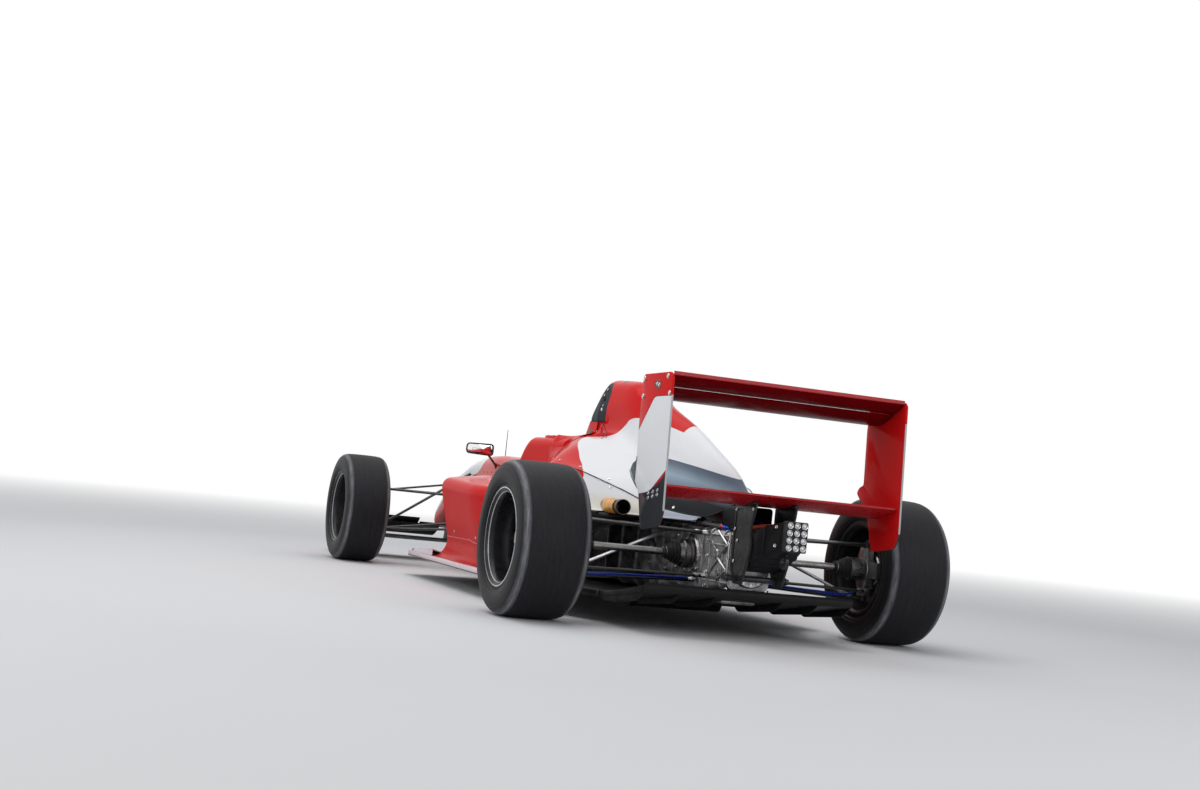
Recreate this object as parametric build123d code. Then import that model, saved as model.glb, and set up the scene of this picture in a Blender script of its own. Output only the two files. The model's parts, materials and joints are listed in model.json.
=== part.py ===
"""Open-wheel single-seat racing car, in millimetres.

X points forward, Y to the car's left, Z up. The origin is on the ground, midway between the nose
tip and the tail, on the centreline. Stations along the car are written as distances ahead of the
rear axle with ra() or ahead of the front axle with fa().
"""
import math
import os

from build123d import *

# Overall size
WHEELBASE = 2750.0
FRONT_OVERHANG = 880.0
REAR_OVERHANG = 640.0
REAR_TRACK = 1475.0
FRONT_TRACK = 1510.0

LENGTH = REAR_OVERHANG + WHEELBASE + FRONT_OVERHANG
REAR_AXLE_X = REAR_OVERHANG - LENGTH / 2
FRONT_AXLE_X = REAR_AXLE_X + WHEELBASE

# Tyres and rims
REAR_TYRE_R = 285.0
REAR_TYRE_W = 272.0
FRONT_TYRE_R = 270.0
FRONT_TYRE_W = 225.0
REAR_RIM_W = 252.0
FRONT_RIM_W = 205.0
BEAD_R = 165.0
FLANGE_R = 181.0
RIM_WALL = 8.0
SPOKES = 8
SPOKE_PLANE = 14.0
SPOKE_DEPTH = 24.0
SPOKE_ROOT_W = 34.0
SPOKE_TIP_W = 22.0
WHEEL_BOSS_R = 60.0

# Hubs, discs, uprights and calipers
JOURNAL_R = 32.0
SNOUT_R = 28.0
NUT_R = 36.0
NUT_DEPTH = 24.0
DISC_R = 130.0
DISC_T = 20.0
UPRIGHT_T = 32.0
UPRIGHT_LUG_R = 18.0
UPRIGHT_INSET = 60.0
REAR_UPRIGHT_INSET = 90.0
BEARING_R = 47.0
DISC_GAP = 10.0
CALIPER_GAP = 5.0
CALIPER_R = 148.0
CALIPER_CHEEK = 10.0

# Clearances
RUNNING = 0.08
SEAT = 0.3
HINGE_GAP = 1.0
SEAM = 2.0

# Suspension pick-ups
UPPER_BALL_Z = 380.0
LOWER_BALL_Z = 170.0
FRONT_LOWER_INNER_Z = 218.0
FRONT_PUSHROD_TOP_Z = 500.0
REAR_UPPER_INNER_Z = 372.0
REAR_LOWER_INNER_Z = 194.0
BALL_PIN_R = 8.0
BALL_BOSS_R = 16.0
BALL_BOSS_H = 20.0
LINK_R = 9.0
LINK_LIFT = 5.4
TOE_LIFT = 1.5
LOWER_LEG_DROP = 5.0

# Steering
STEER_ARM = 85.0
STEER_ARM_TOP_Z = 352.0
STEER_ARM_T = 16.0
STUD_R = 5.0
EYE_HOLE_R = 9.0
EYE_R = 17.0
EYE_H = 14.0
TRACK_ROD_R = 8.0
RACK_R = 11.0
RACK_Z = 440.0
RACK_HOUSING_R = 22.0
RACK_HALF = 222.0
COLUMN_R = 9.0
COLUMN_BUSH_R = 18.0
STEERING_WHEEL_W = 270.0
STEERING_WHEEL_H = 170.0
STEERING_WHEEL_X = REAR_AXLE_X + 1900
STEERING_WHEEL_Z = 500.0
STEERING_WHEEL_T = 22.0

# Body
FLOOR_BOTTOM = 92.0
FLOOR_T = 25.0
PLANK_BOTTOM = 50.0
PLANK_HALF = 195.0
FLOOR_TOP = FLOOR_BOTTOM + FLOOR_T
FLOOR_HALF = 680.0
TUB_WALL = 25.0
PANEL = 5.0
TUB_REAR = 1150.0
FLOOR_TIP = 2120.0
GEARBOX_FRONT = 620.0
GEARBOX_REAR = -300.0
FRONT_BULKHEAD = 330.0


def ra(ahead):
    """X of a station given as a distance ahead of the rear axle."""
    return REAR_AXLE_X + ahead


def fa(ahead):
    """X of a station given as a distance ahead of the front axle."""
    return FRONT_AXLE_X + ahead


def block(x, y, z):
    """A box from three (low, high) pairs."""
    centre = Pos(sum(x) / 2, sum(y) / 2, sum(z) / 2)
    return centre * Box(x[1] - x[0], y[1] - y[0], z[1] - z[0])


def rod(start, end, radius):
    """A round bar between two points."""
    start, end = Vector(*start), Vector(*end)
    along = end - start
    low = (Align.CENTER, Align.CENTER, Align.MIN)
    return Plane(origin=start, z_dir=along) * Cylinder(radius, along.length, align=low)


def across(x, z, radius, y):
    """A round bar along Y between two values of y."""
    return rod((x, y[0], z), (x, y[1], z), radius)


def upright_bar(x, y, radius, z):
    """A round bar along Z between two heights."""
    return rod((x, y, z[0]), (x, y, z[1]), radius)


def other_side(shape):
    """The same piece on the other side of the car."""
    return mirror(shape, Plane.XZ)


def both(shape):
    """A piece and its mirror image, as two solids or one fused solid."""
    return shape + other_side(shape)


def side_plate(points, y, thickness, corner=0.0):
    """A plate with an (x, z) outline and rounded corners, from y outwards by thickness."""
    outline = make_face(Polyline(*points, close=True))
    if corner:
        outline = fillet(outline.vertices(), corner)
    plate = extrude(Plane.XZ * outline, amount=thickness, dir=(0, 1, 0))
    return Pos(0, y, 0) * plate


def plan_plate(points, z):
    """A flat plate with an (x, y) outline between two heights."""
    outline = make_face(Polyline(*points, close=True))
    return Pos(0, 0, z[0]) * extrude(outline, amount=z[1] - z[0])


def ruled(sections):
    """A straight-line loft through (x, [(y, z), ...]) sections."""
    faces = []
    for x, points in sections:
        plane = Plane(origin=(x, 0, 0), x_dir=(0, 1, 0), z_dir=(1, 0, 0))
        faces.append(plane * make_face(Polyline(*points, close=True)))
    return loft(faces, ruled=True)


def mirrored(half):
    """A full outline from its left half, listed from the bottom to the top."""
    return half + [(-y, z) for y, z in reversed(half) if y > 0]


# Columns of the section tables, after their x, and of the split line
BOTTOM, TOP, HALF, CORNER = range(4)
LINE_Y, LINE_Z = range(2)


def at(table, ahead, column):
    """A column of a station table between two of its rows."""
    for (a, *left), (b, *right) in zip(table, table[1:]):
        if min(a, b) <= ahead <= max(a, b):
            share = (ahead - a) / (b - a)
            return left[column] + (right[column] - left[column]) * share
    raise ValueError(f"station {ahead} is off the table")


# Tub sections: x, bottom, top, half width, corner radius
TUB = [
    (ra(TUB_REAR), FLOOR_TOP + SEAT, 700, 250, 50),
    (ra(1545), FLOOR_TOP + SEAT, 700, 275, 50),
    (ra(1685), FLOOR_TOP + SEAT, 585, 285, 50),
    (ra(FLOOR_TIP), FLOOR_TOP + SEAT, 605, 245, 50),
    (fa(-260), 125, 600, 200, 50),
    (fa(0), 178, 575, 170, 45),
    (fa(FRONT_BULKHEAD), 300, 500, 150, 40),
]

# Nose sections: x, bottom, top, half width, corner radius
NOSE = [
    (fa(FRONT_BULKHEAD) + SEAT, 300, 500, 150, 40),
    (fa(550), 245, 432, 136, 40),
    (fa(750), 195, 345, 118, 35),
    (fa(FRONT_OVERHANG), 172, 240, 98, 28),
]


def soft_rectangle(bottom, top, half, corner):
    """A rectangle in (y, z) whose corners are each rounded by three equal chords."""
    centres = [(half - corner, bottom + corner, -90), (half - corner, top - corner, 0)]
    right = []
    for y, z, start in centres:
        for angle in range(start, start + 91, 30):
            turn = math.radians(angle)
            right.append((y + corner * math.cos(turn), z + corner * math.sin(turn)))
    return right + [(-y, z) for y, z in reversed(right)]


def rounded_loft(table, inset=0.0, ends=0.0):
    """A straight loft through soft rectangles, each pulled in by inset and its ends by ends."""
    sections = []
    last = len(table) - 1
    for row, (x, bottom, top, half, corner) in enumerate(table):
        shift = ends if row == 0 else -ends if row == last else 0
        outline = soft_rectangle(bottom + inset, top - inset, half - inset, corner - inset)
        sections.append((x + shift, outline))
    return ruled(sections)


# Line where the engine cover meets the sidepods: distance ahead of the rear axle, y, z
SPLIT = [
    (TUB_REAR, 300, 580),
    (900, 380, 578),
    (578, 375, 560),
    (306, 290, 500),
    (123, 215, 450),
    (-71, 110, 430),
]

# Engine cover above that line: x ahead of the rear axle, then (y, z) from shoulder to spine
COVER = [
    (TUB_REAR, [(252, 655), (205, 700), (100, 742), (92, 860), (60, 955), (0, 981)]),
    (900, [(300, 645), (225, 690), (105, 742), (90, 860), (58, 944), (0, 967)]),
    (578, [(290, 592), (200, 628), (120, 668), (85, 760), (45, 838), (0, 860)]),
    (306, [(240, 540), (170, 585), (115, 630), (75, 700), (35, 757), (0, 775)]),
    (123, [(190, 490), (145, 540), (100, 590), (60, 650), (28, 688), (0, 700)]),
    (-71, [(100, 458), (82, 495), (62, 540), (40, 585), (20, 612), (0, 621)]),
    (-221, [(13, 512), (12, 518), (10, 524), (8, 529), (4, 534), (0, 536)]),
]
TAIL_TIP = (14, 505)

# Airbox ahead of the cover: x ahead of the rear axle, then (y, z) from its floor to its top
AIRBOX = [
    (TUB_REAR - 5, [(70, 772), (97, 782), (91, 860), (59, 954), (0, 980)]),
    (1275, [(58, 780), (86, 790), (86, 862), (56, 940), (0, 966)]),
]
MOUTH_FOOT = (1240, 795)
MOUTH_TOP = (1148, 972)

# Roll hoop: its front face leans from the foot, on the tub, back to the top
HOOP_FOOT = (1262, 700)
HOOP_TOP = (1133, 925)
HOOP_DEPTH = 46.0
HOOP_FOOT_Y = 125.0
HOOP_HALF = 76.0
HOOP_BAR = 18.0
HOOP_GAP = 3.0

# Sidepods: x ahead of the rear axle, outer y, shoulder z, foot y, foot z, shoulder width, skirt width
PODS = [
    (1550, 660, 458, 610, FLOOR_TOP + SEAT, 60, 55),
    (TUB_REAR, 660, 445, 610, FLOOR_TOP + SEAT, 60, 55),
    (900, 630, 437, 585, FLOOR_TOP + SEAT, 60, 50),
    (578, 500, 415, 470, FLOOR_TOP + SEAT, 50, 40),
    (306, 372, 400, 350, 345, 30, 4),
    (123, 262, 408, 245, 396, 12, 3),
    (-71, 135, 414, 128, 402, 8, 3),
]
SKIRT_RISE = 1.4
POD_INNER_TOP_FRONT = 520.0

# Cockpit opening
COCKPIT_REAR = 1275.0
COCKPIT_WIDE = 1720.0
COCKPIT_FRONT = 2085.0
COCKPIT_HALF = 205.0
COCKPIT_CORNER = 40.0
COCKPIT_NOSE_R = 90.0

DASH_X = (2078, 2096)
DASH_BOTTOM = 410.0

# Mirrors and aerial
MIRROR_GLASS = 1945.0
MIRROR_DEPTH = 55.0
MIRROR_INNER = 312.0
MIRROR_W = 136.0
MIRROR_BOTTOM = 594.0
MIRROR_H = 58.0
MIRROR_TAPER = 17.0
MIRROR_ROOT = 2090.0
MIRROR_ROOT_Z = 545.0
AERIAL_AHEAD = -20.0
AERIAL_FOOT_R = 14.0
AERIAL_H = 172.0

# Rear wing: each blade from its leading to its trailing edge, x ahead of the rear axle and z
WING_HALF = 460.0
MAIN_EDGES = ((-250, 840), (-420, 868))
FLAP_EDGES = ((-396, 876), (-500, 912))
BEAM_EDGES = ((-308, 490), (-512, 527))
GURNEY_T = 2.5
FLAP_GURNEY = 13.0
BEAM_GURNEY = 6.0
PLATE_T = 8.0
PYLON_Y = 76.0
PYLON_T = 8.0

# Front wing
FRONT_WING_HALF = 690.0
FLAP_INNER = 300.0

# Column line: from the steering wheel to the rack housing
COLUMN_END_X = fa(STEER_ARM) - RACK_HOUSING_R


def monocoque():
    """The carbon tub: one hollow shell with the cockpit opening and the rack's holes."""
    shell = rounded_loft(TUB) - rounded_loft(TUB, inset=TUB_WALL, ends=TUB_WALL)
    shell -= extrude(Pos(0, 0, 520) * cockpit_plan(), amount=250)
    half = at(TUB, fa(STEER_ARM), HALF) + 30
    return shell - across(fa(STEER_ARM), RACK_Z, RACK_HOUSING_R + SEAT, (-half, half))


def cockpit_plan(shrink=0.0):
    """The outline of the cockpit opening seen from above."""
    corner = COCKPIT_CORNER
    side = COCKPIT_HALF - corner
    circles = [
        Pos(ra(x), y) * Circle(corner - shrink)
        for x in (COCKPIT_REAR + corner, COCKPIT_WIDE)
        for y in (-side, side)
    ]
    circles.append(Pos(ra(COCKPIT_FRONT - COCKPIT_NOSE_R), 0) * Circle(COCKPIT_NOSE_R - shrink))
    edges = [edge for circle in circles for edge in circle.edges()]
    return make_hull(edges)


def nose_cone():
    """The nose, closed inside, with the front towing eye below it."""
    eye_x, eye_z = fa(FRONT_BULKHEAD + 70), 262
    eye = across(eye_x, eye_z, 27, (-6, 6)) + block((eye_x - 27, eye_x + 27), (-6, 6), (262, 310))
    eye -= across(eye_x, eye_z, 15, (-10, 10))
    return rounded_loft(NOSE) + eye


def blade(leading, trailing, thickness, camber, y):
    """A wing: a lens-shaped (x, z) section swept across between two values of y."""
    a, b = Vector(leading[0], 0, leading[1]), Vector(trailing[0], 0, trailing[1])
    middle = (a + b) / 2
    up = Vector(0, 1, 0).cross(b - a).normalized()
    up = up if up.Z > 0 else up * -1
    lower = ThreePointArc(a, middle - up * (camber + thickness / 2), b)
    upper = ThreePointArc(a, middle - up * (camber - thickness / 2), b)
    section = make_face([lower, upper])
    return Pos(0, y[0], 0) * extrude(section, amount=y[1] - y[0], dir=(0, 1, 0))


def front_wing():
    """Main plane and slotted two-piece flaps, hung from the nose on two pylons."""
    half = FRONT_WING_HALF
    wing = blade((fa(845), 112), (fa(590), 128), 22, 12, (-half, half))
    flap = blade((fa(600), 140), (fa(450), 205), 14, 8, (180, half))
    flap += blade((fa(512), 190), (fa(440), 236), 8, 5, (FLAP_INNER, half))
    bracket = [(fa(500), 178), (fa(480), 186), (fa(480), 208), (fa(500), 197)]
    for y in (FLAP_INNER + 10, (FLAP_INNER + half) / 2):
        flap += side_plate(bracket, y, 4)
    mount = side_plate([(fa(620), 120), (fa(760), 112), (fa(740), 260), (fa(640), 280)], 62, 8)
    grown = [(x, bottom - SEAT, top, half, corner) for x, bottom, top, half, corner in NOSE]
    mount -= rounded_loft(grown)
    return [wing + both(mount), both(flap)]


def front_wing_endplates():
    """The two upright plates at the ends of the front wing."""
    outline = [
        (fa(430), 70), (fa(800), 62), (fa(860), 110), (fa(850), 170),
        (fa(640), 230), (fa(470), 262), (fa(430), 250),
    ]
    return both(side_plate(outline, FRONT_WING_HALF + SEAT, PLATE_T, corner=15))


def floor():
    """The flat underbody, wide between the wheels and narrow between the rear tyres."""
    half = [
        (ra(100), 430), (ra(330), 560), (ra(420), FLOOR_HALF), (ra(FLOOR_TIP - 160), FLOOR_HALF),
        (ra(FLOOR_TIP - 110), 610), (ra(FLOOR_TIP - 20), 250), (ra(FLOOR_TIP), 0),
    ]
    outline = half + [(x, -y) for x, y in reversed(half) if y > 0]
    plank = [
        (ra(300), FLOOR_BOTTOM), (ra(340), PLANK_BOTTOM), (ra(FLOOR_TIP - 60), PLANK_BOTTOM),
        (ra(FLOOR_TIP - 20), FLOOR_BOTTOM),
    ]
    plate = plan_plate(outline, (FLOOR_BOTTOM, FLOOR_TOP))
    return plate + side_plate(plank, -PLANK_HALF, 2 * PLANK_HALF)


def diffuser():
    """The rising tunnel behind the floor, with upright strakes below it."""
    front, back, rise = ra(100), ra(-330), 58
    roof = [
        (front, FLOOR_BOTTOM), (front, FLOOR_TOP), (back, FLOOR_TOP + rise),
        (back, FLOOR_BOTTOM + rise),
    ]
    tunnel = side_plate(roof, -420, 840)
    strake = [
        (front - 20, FLOOR_BOTTOM + 10), (back + 10, FLOOR_BOTTOM + rise + 6),
        (back + 60, FLOOR_BOTTOM + 18), (front - 60, FLOOR_BOTTOM - 14),
    ]
    for y in (130, 275, 412):
        tunnel += both(side_plate(strake, y, 6))
    return tunnel


def pod_section(x, inner, outer_y, shoulder_z, foot_y, foot_z, shoulder, skirt, wall=0.0):
    """One sidepod section with its flared skirt, or with a wall the space inside it."""
    inner_y, inner_z = inner[0] - 4 * wall, inner[1] - wall
    low, knee_z = foot_z - 2 * wall, foot_z + SKIRT_RISE * skirt
    points = [
        (inner_y, low), (inner_y, inner_z),
        (outer_y - shoulder, shoulder_z + 0.36 * shoulder - wall),
        (outer_y - wall, shoulder_z - 0.27 * shoulder - wall), (foot_y - wall, knee_z),
    ]
    if wall:
        points.append((foot_y - wall, low))
    else:
        points += [
            (foot_y + 0.35 * skirt, foot_z + 0.45 * skirt), (foot_y + skirt, foot_z + 2),
            (foot_y + skirt, low),
        ]
    return x, points


def sidepod():
    """The left sidepod: a shell open at its inlet, its tail and its inner side."""
    outer, inner = [], []
    for ahead, *values in PODS:
        if ahead > TUB_REAR:
            edge = (at(TUB, ra(ahead), HALF) + SEAT, POD_INNER_TOP_FRONT)
        else:
            edge = (at(SPLIT, ahead, LINE_Y), at(SPLIT, ahead, LINE_Z) - SEAM)
        outer.append(pod_section(ra(ahead), edge, *values))
        inner.append(pod_section(ra(ahead), edge, *values, wall=PANEL))
    shift = [1] + [0] * (len(inner) - 2) + [-1]
    inner = [(x + end, points) for end, (x, points) in zip(shift, inner)]
    return ruled(outer) - ruled(inner)


def sidepod_left():
    """The left sidepod, with the opening that the exhaust leaves by."""
    return sidepod() - rod((ra(420), 318, 432), (ra(-20), 372, 434), 44)


def radiators():
    """One leaning core behind each inlet."""
    foot = FLOOR_TOP + SEAT
    core = [(ra(1190), foot), (ra(1250), foot), (ra(1450), 390), (ra(1390), 390)]
    return both(side_plate(core, 330, 240))


def engine_cover():
    """The cover over the engine, with the airbox that opens above the driver's head."""
    outer, inner = [], []
    for ahead, points in COVER:
        foot = (at(SPLIT, ahead, LINE_Y), at(SPLIT, ahead, LINE_Z)) if ahead > -100 else TAIL_TIP
        outer.append((ra(ahead), mirrored([foot] + points)))
        if ahead > -100:
            inside = [(max(y - PANEL, 0), z - PANEL) for y, z in points]
            inside = [(foot[0] - PANEL, foot[1] - PANEL)] + inside
            inner.append((ra(ahead), mirrored(inside)))
    front, *rest = outer
    cover = ruled([(front[0] - SEAT, front[1])] + rest)
    cover -= ruled([(inner[0][0] - PANEL, inner[0][1])] + inner[1:])
    duct, bore = [], []
    for ahead, points in AIRBOX:
        duct.append((ra(ahead), mirrored(points)))
        (foot_y, foot_z), (side_y, side_z), *high = points
        inside = [(foot_y - PANEL, foot_z + PANEL), (side_y - PANEL, side_z)]
        inside += [(max(y - PANEL, 0), z - PANEL) for y, z in high]
        bore.append((ra(ahead), mirrored(inside)))
    bore = [(bore[0][0] - 60, bore[0][1])] + bore[1:-1] + [(bore[-1][0] + 1, bore[-1][1])]
    cover = cover + ruled(duct) - ruled(bore)
    (foot_x, foot_z), (top_x, top_z) = MOUTH_FOOT, MOUTH_TOP
    lean = (top_x - foot_x) / (top_z - foot_z)
    low_z, high_z = 700, 1000
    ahead = [
        (ra(foot_x + lean * (low_z - foot_z)), low_z), (ra(foot_x + lean * (high_z - foot_z)), high_z),
        (ra(1700), high_z), (ra(1700), low_z),
    ]
    cover -= side_plate(ahead, -200, 400)
    slot = hoop_blade(-HOOP_GAP, HOOP_GAP) & block((ra(1160), ra(1290)), (-150, 150), (690, 815))
    return cover - slot


def hoop_outline(inset):
    """The roll hoop's outline seen from the front, pulled in by inset."""
    base, top = HOOP_FOOT[1], HOOP_TOP[1] - inset
    foot, half = HOOP_FOOT_Y - inset, HOOP_HALF - inset
    waist, shoulder, round_off = base + 100, top - 55, 30
    return mirrored([
        (foot + 10, base - 20), (foot, base), (half, waist), (half, shoulder), (half - round_off, top),
    ])


def hoop_blade(inset, gap=0.0):
    """The hoop's outline as a leaning solid, longer by gap at both faces."""
    (foot_x, foot_z), (top_x, top_z) = HOOP_FOOT, HOOP_TOP
    lean = (top_x - foot_x) / (top_z - foot_z)
    faces = []
    for shift in (gap, -HOOP_DEPTH - gap):
        points = [(ra(foot_x + shift + lean * (z - foot_z)), y, z) for y, z in hoop_outline(inset)]
        faces.append(make_face(Polyline(*points, close=True)))
    return loft(faces, ruled=True)


def roll_hoop():
    """The arch that carries the airbox's mouth, standing on the tub."""
    hoop = hoop_blade(0) - hoop_blade(HOOP_BAR, 1)
    return hoop - block((ra(1150), ra(1350)), (-200, 200), (600, HOOP_FOOT[1] + SEAT))


def headrest():
    """The padded collar round the driver's head, on the rim of the opening."""
    top = 700 + SEAT
    rear, bend, front = ra(HOOP_FOOT[0]) + SEAT, ra(1490), ra(1600)
    collar = extrude(Pos(0, 0, 600) * cockpit_plan(shrink=1), amount=top + 6 - 600)
    collar = collar & block((rear, front), (-300, 300), (560, 760))
    lip = plan_plate([(rear, -225), (rear, 225), (bend, 225), (bend, -225)], (top, top + 6))
    hollow = extrude(Pos(0, 0, 560) * head_plan(), amount=200)
    slope = side_plate([(bend, 720), (ra(1660), 585), (ra(1660), 760), (bend, 760)], -300, 600)
    return (collar + lip) - hollow - slope


def head_plan():
    """The space for the driver's head inside the collar, open to the front."""
    return Pos(ra(1530), 0) * RectangleRounded(420, 310, 110)


def seat():
    """The moulded seat shell on the tub's floor."""
    base = FLOOR_TOP + SEAT + TUB_WALL
    outer = [
        (ra(1285), 590), (ra(1430), base), (ra(1900), base), (ra(1900), 205), (ra(1520), 310),
        (ra(1350), 590),
    ]
    inner = [
        (ra(1291), 620), (ra(1443), base + 14), (ra(1910), base + 14), (ra(1910), 620),
    ]
    return side_plate(outer, -190, 380) - side_plate(inner, -178, 356)


def column_frame():
    """The steering column's start, end and direction."""
    start = Vector(STEERING_WHEEL_X, 0, STEERING_WHEEL_Z)
    end = Vector(COLUMN_END_X, 0, RACK_Z)
    return start, end, (end - start).normalized()


def dashboard():
    """The bulkhead ahead of the driver's hands, with the column's bush."""
    start, end, along = column_frame()
    panel = rounded_loft(TUB, inset=TUB_WALL + SEAT, ends=TUB_WALL)
    panel &= block((ra(DASH_X[0]), ra(DASH_X[1])), (-300, 300), (DASH_BOTTOM, 700))
    share = (ra(DASH_X[0]) - 15 - start.X) / along.X
    bush_start = start + along * share
    panel += rod(bush_start, (bush_start + along * 50), COLUMN_BUSH_R)
    return panel - rod(start, end, COLUMN_R + RUNNING)


def rack_housing():
    """The rack's tube across the tub, with the pinion's collar behind it."""
    start, end, along = column_frame()
    x = fa(STEER_ARM)
    half = at(TUB, x, HALF) + 12
    tube = across(x, RACK_Z, RACK_HOUSING_R, (-half, half))
    collar_start = end - along * 45
    tube += rod(collar_start, (x, 0, RACK_Z), COLUMN_BUSH_R)
    tube -= across(x, RACK_Z, RACK_R + RUNNING, (-half - 1, half + 1))
    pocket = end - along * 60
    return tube - rod(pocket, (end - along * 4), COLUMN_R + RUNNING)


def steering_wheel():
    """The flat-bottomed wheel with its column, turning in the dashboard's bush."""
    start, end, along = column_frame()
    plane = Plane(origin=start, x_dir=(0, 1, 0), z_dir=along)
    rim = RectangleRounded(STEERING_WHEEL_W, STEERING_WHEEL_H, 55)
    hand = RectangleRounded(52, STEERING_WHEEL_H - 60, 20)
    reach = STEERING_WHEEL_W / 2 - 54
    face = rim - Pos(-reach, 0) * hand - Pos(reach, 0) * hand
    wheel = plane * extrude(face, amount=STEERING_WHEEL_T)
    return wheel + rod(start, (end - along * 6), COLUMN_R)


def steering_rack():
    """The toothed bar inside the housing and its two track rods, down to the steering arms."""
    x = fa(STEER_ARM)
    eye_y = FRONT_TRACK / 2 - UPRIGHT_INSET
    eye_z = STEER_ARM_TOP_Z + SEAT
    bar = across(x, RACK_Z, RACK_R, (-RACK_HALF, RACK_HALF))
    eye = upright_bar(x, eye_y, EYE_R, (eye_z, eye_z + EYE_H))
    rod_end = (x, eye_y - EYE_HOLE_R - 4, eye_z + EYE_H / 2)
    link = rod((x, RACK_HALF, RACK_Z), rod_end, TRACK_ROD_R * 0.8) + eye
    link += across(x, RACK_Z, 14, (RACK_HALF - 12, RACK_HALF + 12))
    link -= upright_bar(x, eye_y, EYE_HOLE_R, (eye_z - 1, eye_z + EYE_H + 1))
    return bar + both(link)


def mirrors():
    """The two mirror housings on their stalks."""
    def frame(side, rise):
        inner, outer = MIRROR_INNER + side, MIRROR_INNER + MIRROR_W - side
        low, high = MIRROR_BOTTOM + rise, MIRROR_BOTTOM + MIRROR_H - rise
        return [(inner, low), (inner, high), (outer, high), (outer, low)]

    housing = ruled([
        (ra(MIRROR_GLASS), frame(0, 0)),
        (ra(MIRROR_GLASS + MIRROR_DEPTH), frame(MIRROR_TAPER, 0.7 * MIRROR_TAPER)),
    ])
    root = (ra(MIRROR_ROOT), at(TUB, ra(MIRROR_ROOT), HALF) + SEAT + 5, MIRROR_ROOT_Z)
    hold = (ra(MIRROR_GLASS + 30), MIRROR_INNER + 28, MIRROR_BOTTOM + 26)
    stalk = rod(root, hold, 6)
    return both(housing + stalk)


def aerial():
    """The radio aerial on top of the tub."""
    x = fa(AERIAL_AHEAD)
    foot = at(TUB, x - AERIAL_FOOT_R, TOP) + SEAT
    base = upright_bar(x, 0, AERIAL_FOOT_R, (foot, foot + 10))
    return base + upright_bar(x, 0, 3, (foot, foot + AERIAL_H))


def engine():
    """The engine, closed in by the bodywork, as one plain block."""
    return block((ra(GEARBOX_FRONT), ra(TUB_REAR)), (-205, 205), (FLOOR_TOP + 15, 500))


# Gearbox sections: x ahead of the rear axle, bottom, top, half width, corner radius
GEARBOX = [
    (ra(GEARBOX_REAR), 185, 385, 78, 14),
    (ra(-60), 146, 392, 100, 20),
    (ra(90), 135, 395, 104, 20),
    (ra(300), 130, 410, 125, 24),
    (ra(GEARBOX_FRONT), 130, 460, 200, 30),
]
STUB_R = 22.0
STUB_DEPTH = 34.0
CV_R = 56.0
CASING_RISE = 4.0
CASING_RIBS = (-300, -215, -110, 85, 180, 300, 420, 520)
CASING_RIB_T = 12.0
CASING_WEBS = (235, 330)
CASING_WEB_T = 8.0
COLLAR_WALL = 14.0
COLLAR_REACH = 12.0


def gearbox():
    """The ribbed casing behind the engine, with collars round the bores of the driveshafts."""
    casing = rounded_loft(GEARBOX)
    grown = rounded_loft(GEARBOX, inset=-CASING_RISE)
    wide, tall = (-220, 220), (120, 480)
    for rib in CASING_RIBS:
        casing += grown & block((ra(rib), ra(rib + CASING_RIB_T)), wide, tall)
    for web in CASING_WEBS:
        reach = (ra(GEARBOX_REAR), ra(CASING_RIBS[2]))
        casing += grown & block(reach, wide, (web, web + CASING_WEB_T))
    half = at(GEARBOX, ra(0), HALF)
    inner_r = CV_R + COLLAR_REACH / 2
    collar = across(ra(0), REAR_TYRE_R, inner_r + COLLAR_WALL, (half - 6, half + COLLAR_REACH))
    casing += both(collar - across(ra(0), REAR_TYRE_R, inner_r, (half - 7, half + 20)))
    for side in (-1, 1):
        y = (half - STUB_DEPTH - 4, half + 20) if side > 0 else (-half - 20, STUB_DEPTH + 4 - half)
        casing -= across(ra(0), REAR_TYRE_R, STUB_R + RUNNING, y)
    return casing


def exhaust():
    """The tail pipe on the left, leaving the engine and ending behind the sidepod."""
    route = [
        (ra(760), 205 + SEAT, 430), (ra(760), 262, 430), (ra(520), 300, 431), (ra(100), 357, 434),
    ]
    path = FilletPolyline(*route, radius=[40, 80])
    start = Plane(origin=path @ 0, z_dir=path % 0)
    return sweep(start * (Circle(28) - Circle(25)), path=path)


def crash_structure():
    """The tapering box behind the gearbox, with the rear towing eye below it."""
    sections = [
        (ra(-615), 342, 449, 45, 12),
        (ra(-470), 292, 412, PYLON_Y - SEAT, 14),
        (ra(GEARBOX_REAR) - SEAT, 245, 384, PYLON_Y - SEAT, 14),
    ]
    eye_x, eye_z = ra(-560), 306
    eye = across(eye_x, eye_z, 27, (-6, 6)) + block((eye_x - 20, eye_x + 27), (-6, 6), (eye_z, 350))
    return rounded_loft(sections) + eye - across(eye_x, eye_z, 15, (-10, 10))


def rain_light():
    """The lamp at the very tail."""
    return block((ra(-REAR_OVERHANG), ra(-615) - SEAT), (-45, 45), (342, 449))


def wing_pylons():
    """Two plates that carry the beam wing, with the rear jacking bar between them."""
    outline = [
        (ra(-304), 486), (ra(-470), 494), (ra(-462), 400), (ra(-390), 205), (ra(-335), 205),
        (ra(-304), 260),
    ]
    plates = both(side_plate(outline, PYLON_Y, PYLON_T))
    plates -= wing_blade(BEAM_EDGES, 0, 14, 10, 200)
    return plates + across(ra(-358), 226, 11, (-PYLON_Y - PYLON_T - 45, PYLON_Y + PYLON_T + 45))


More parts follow.
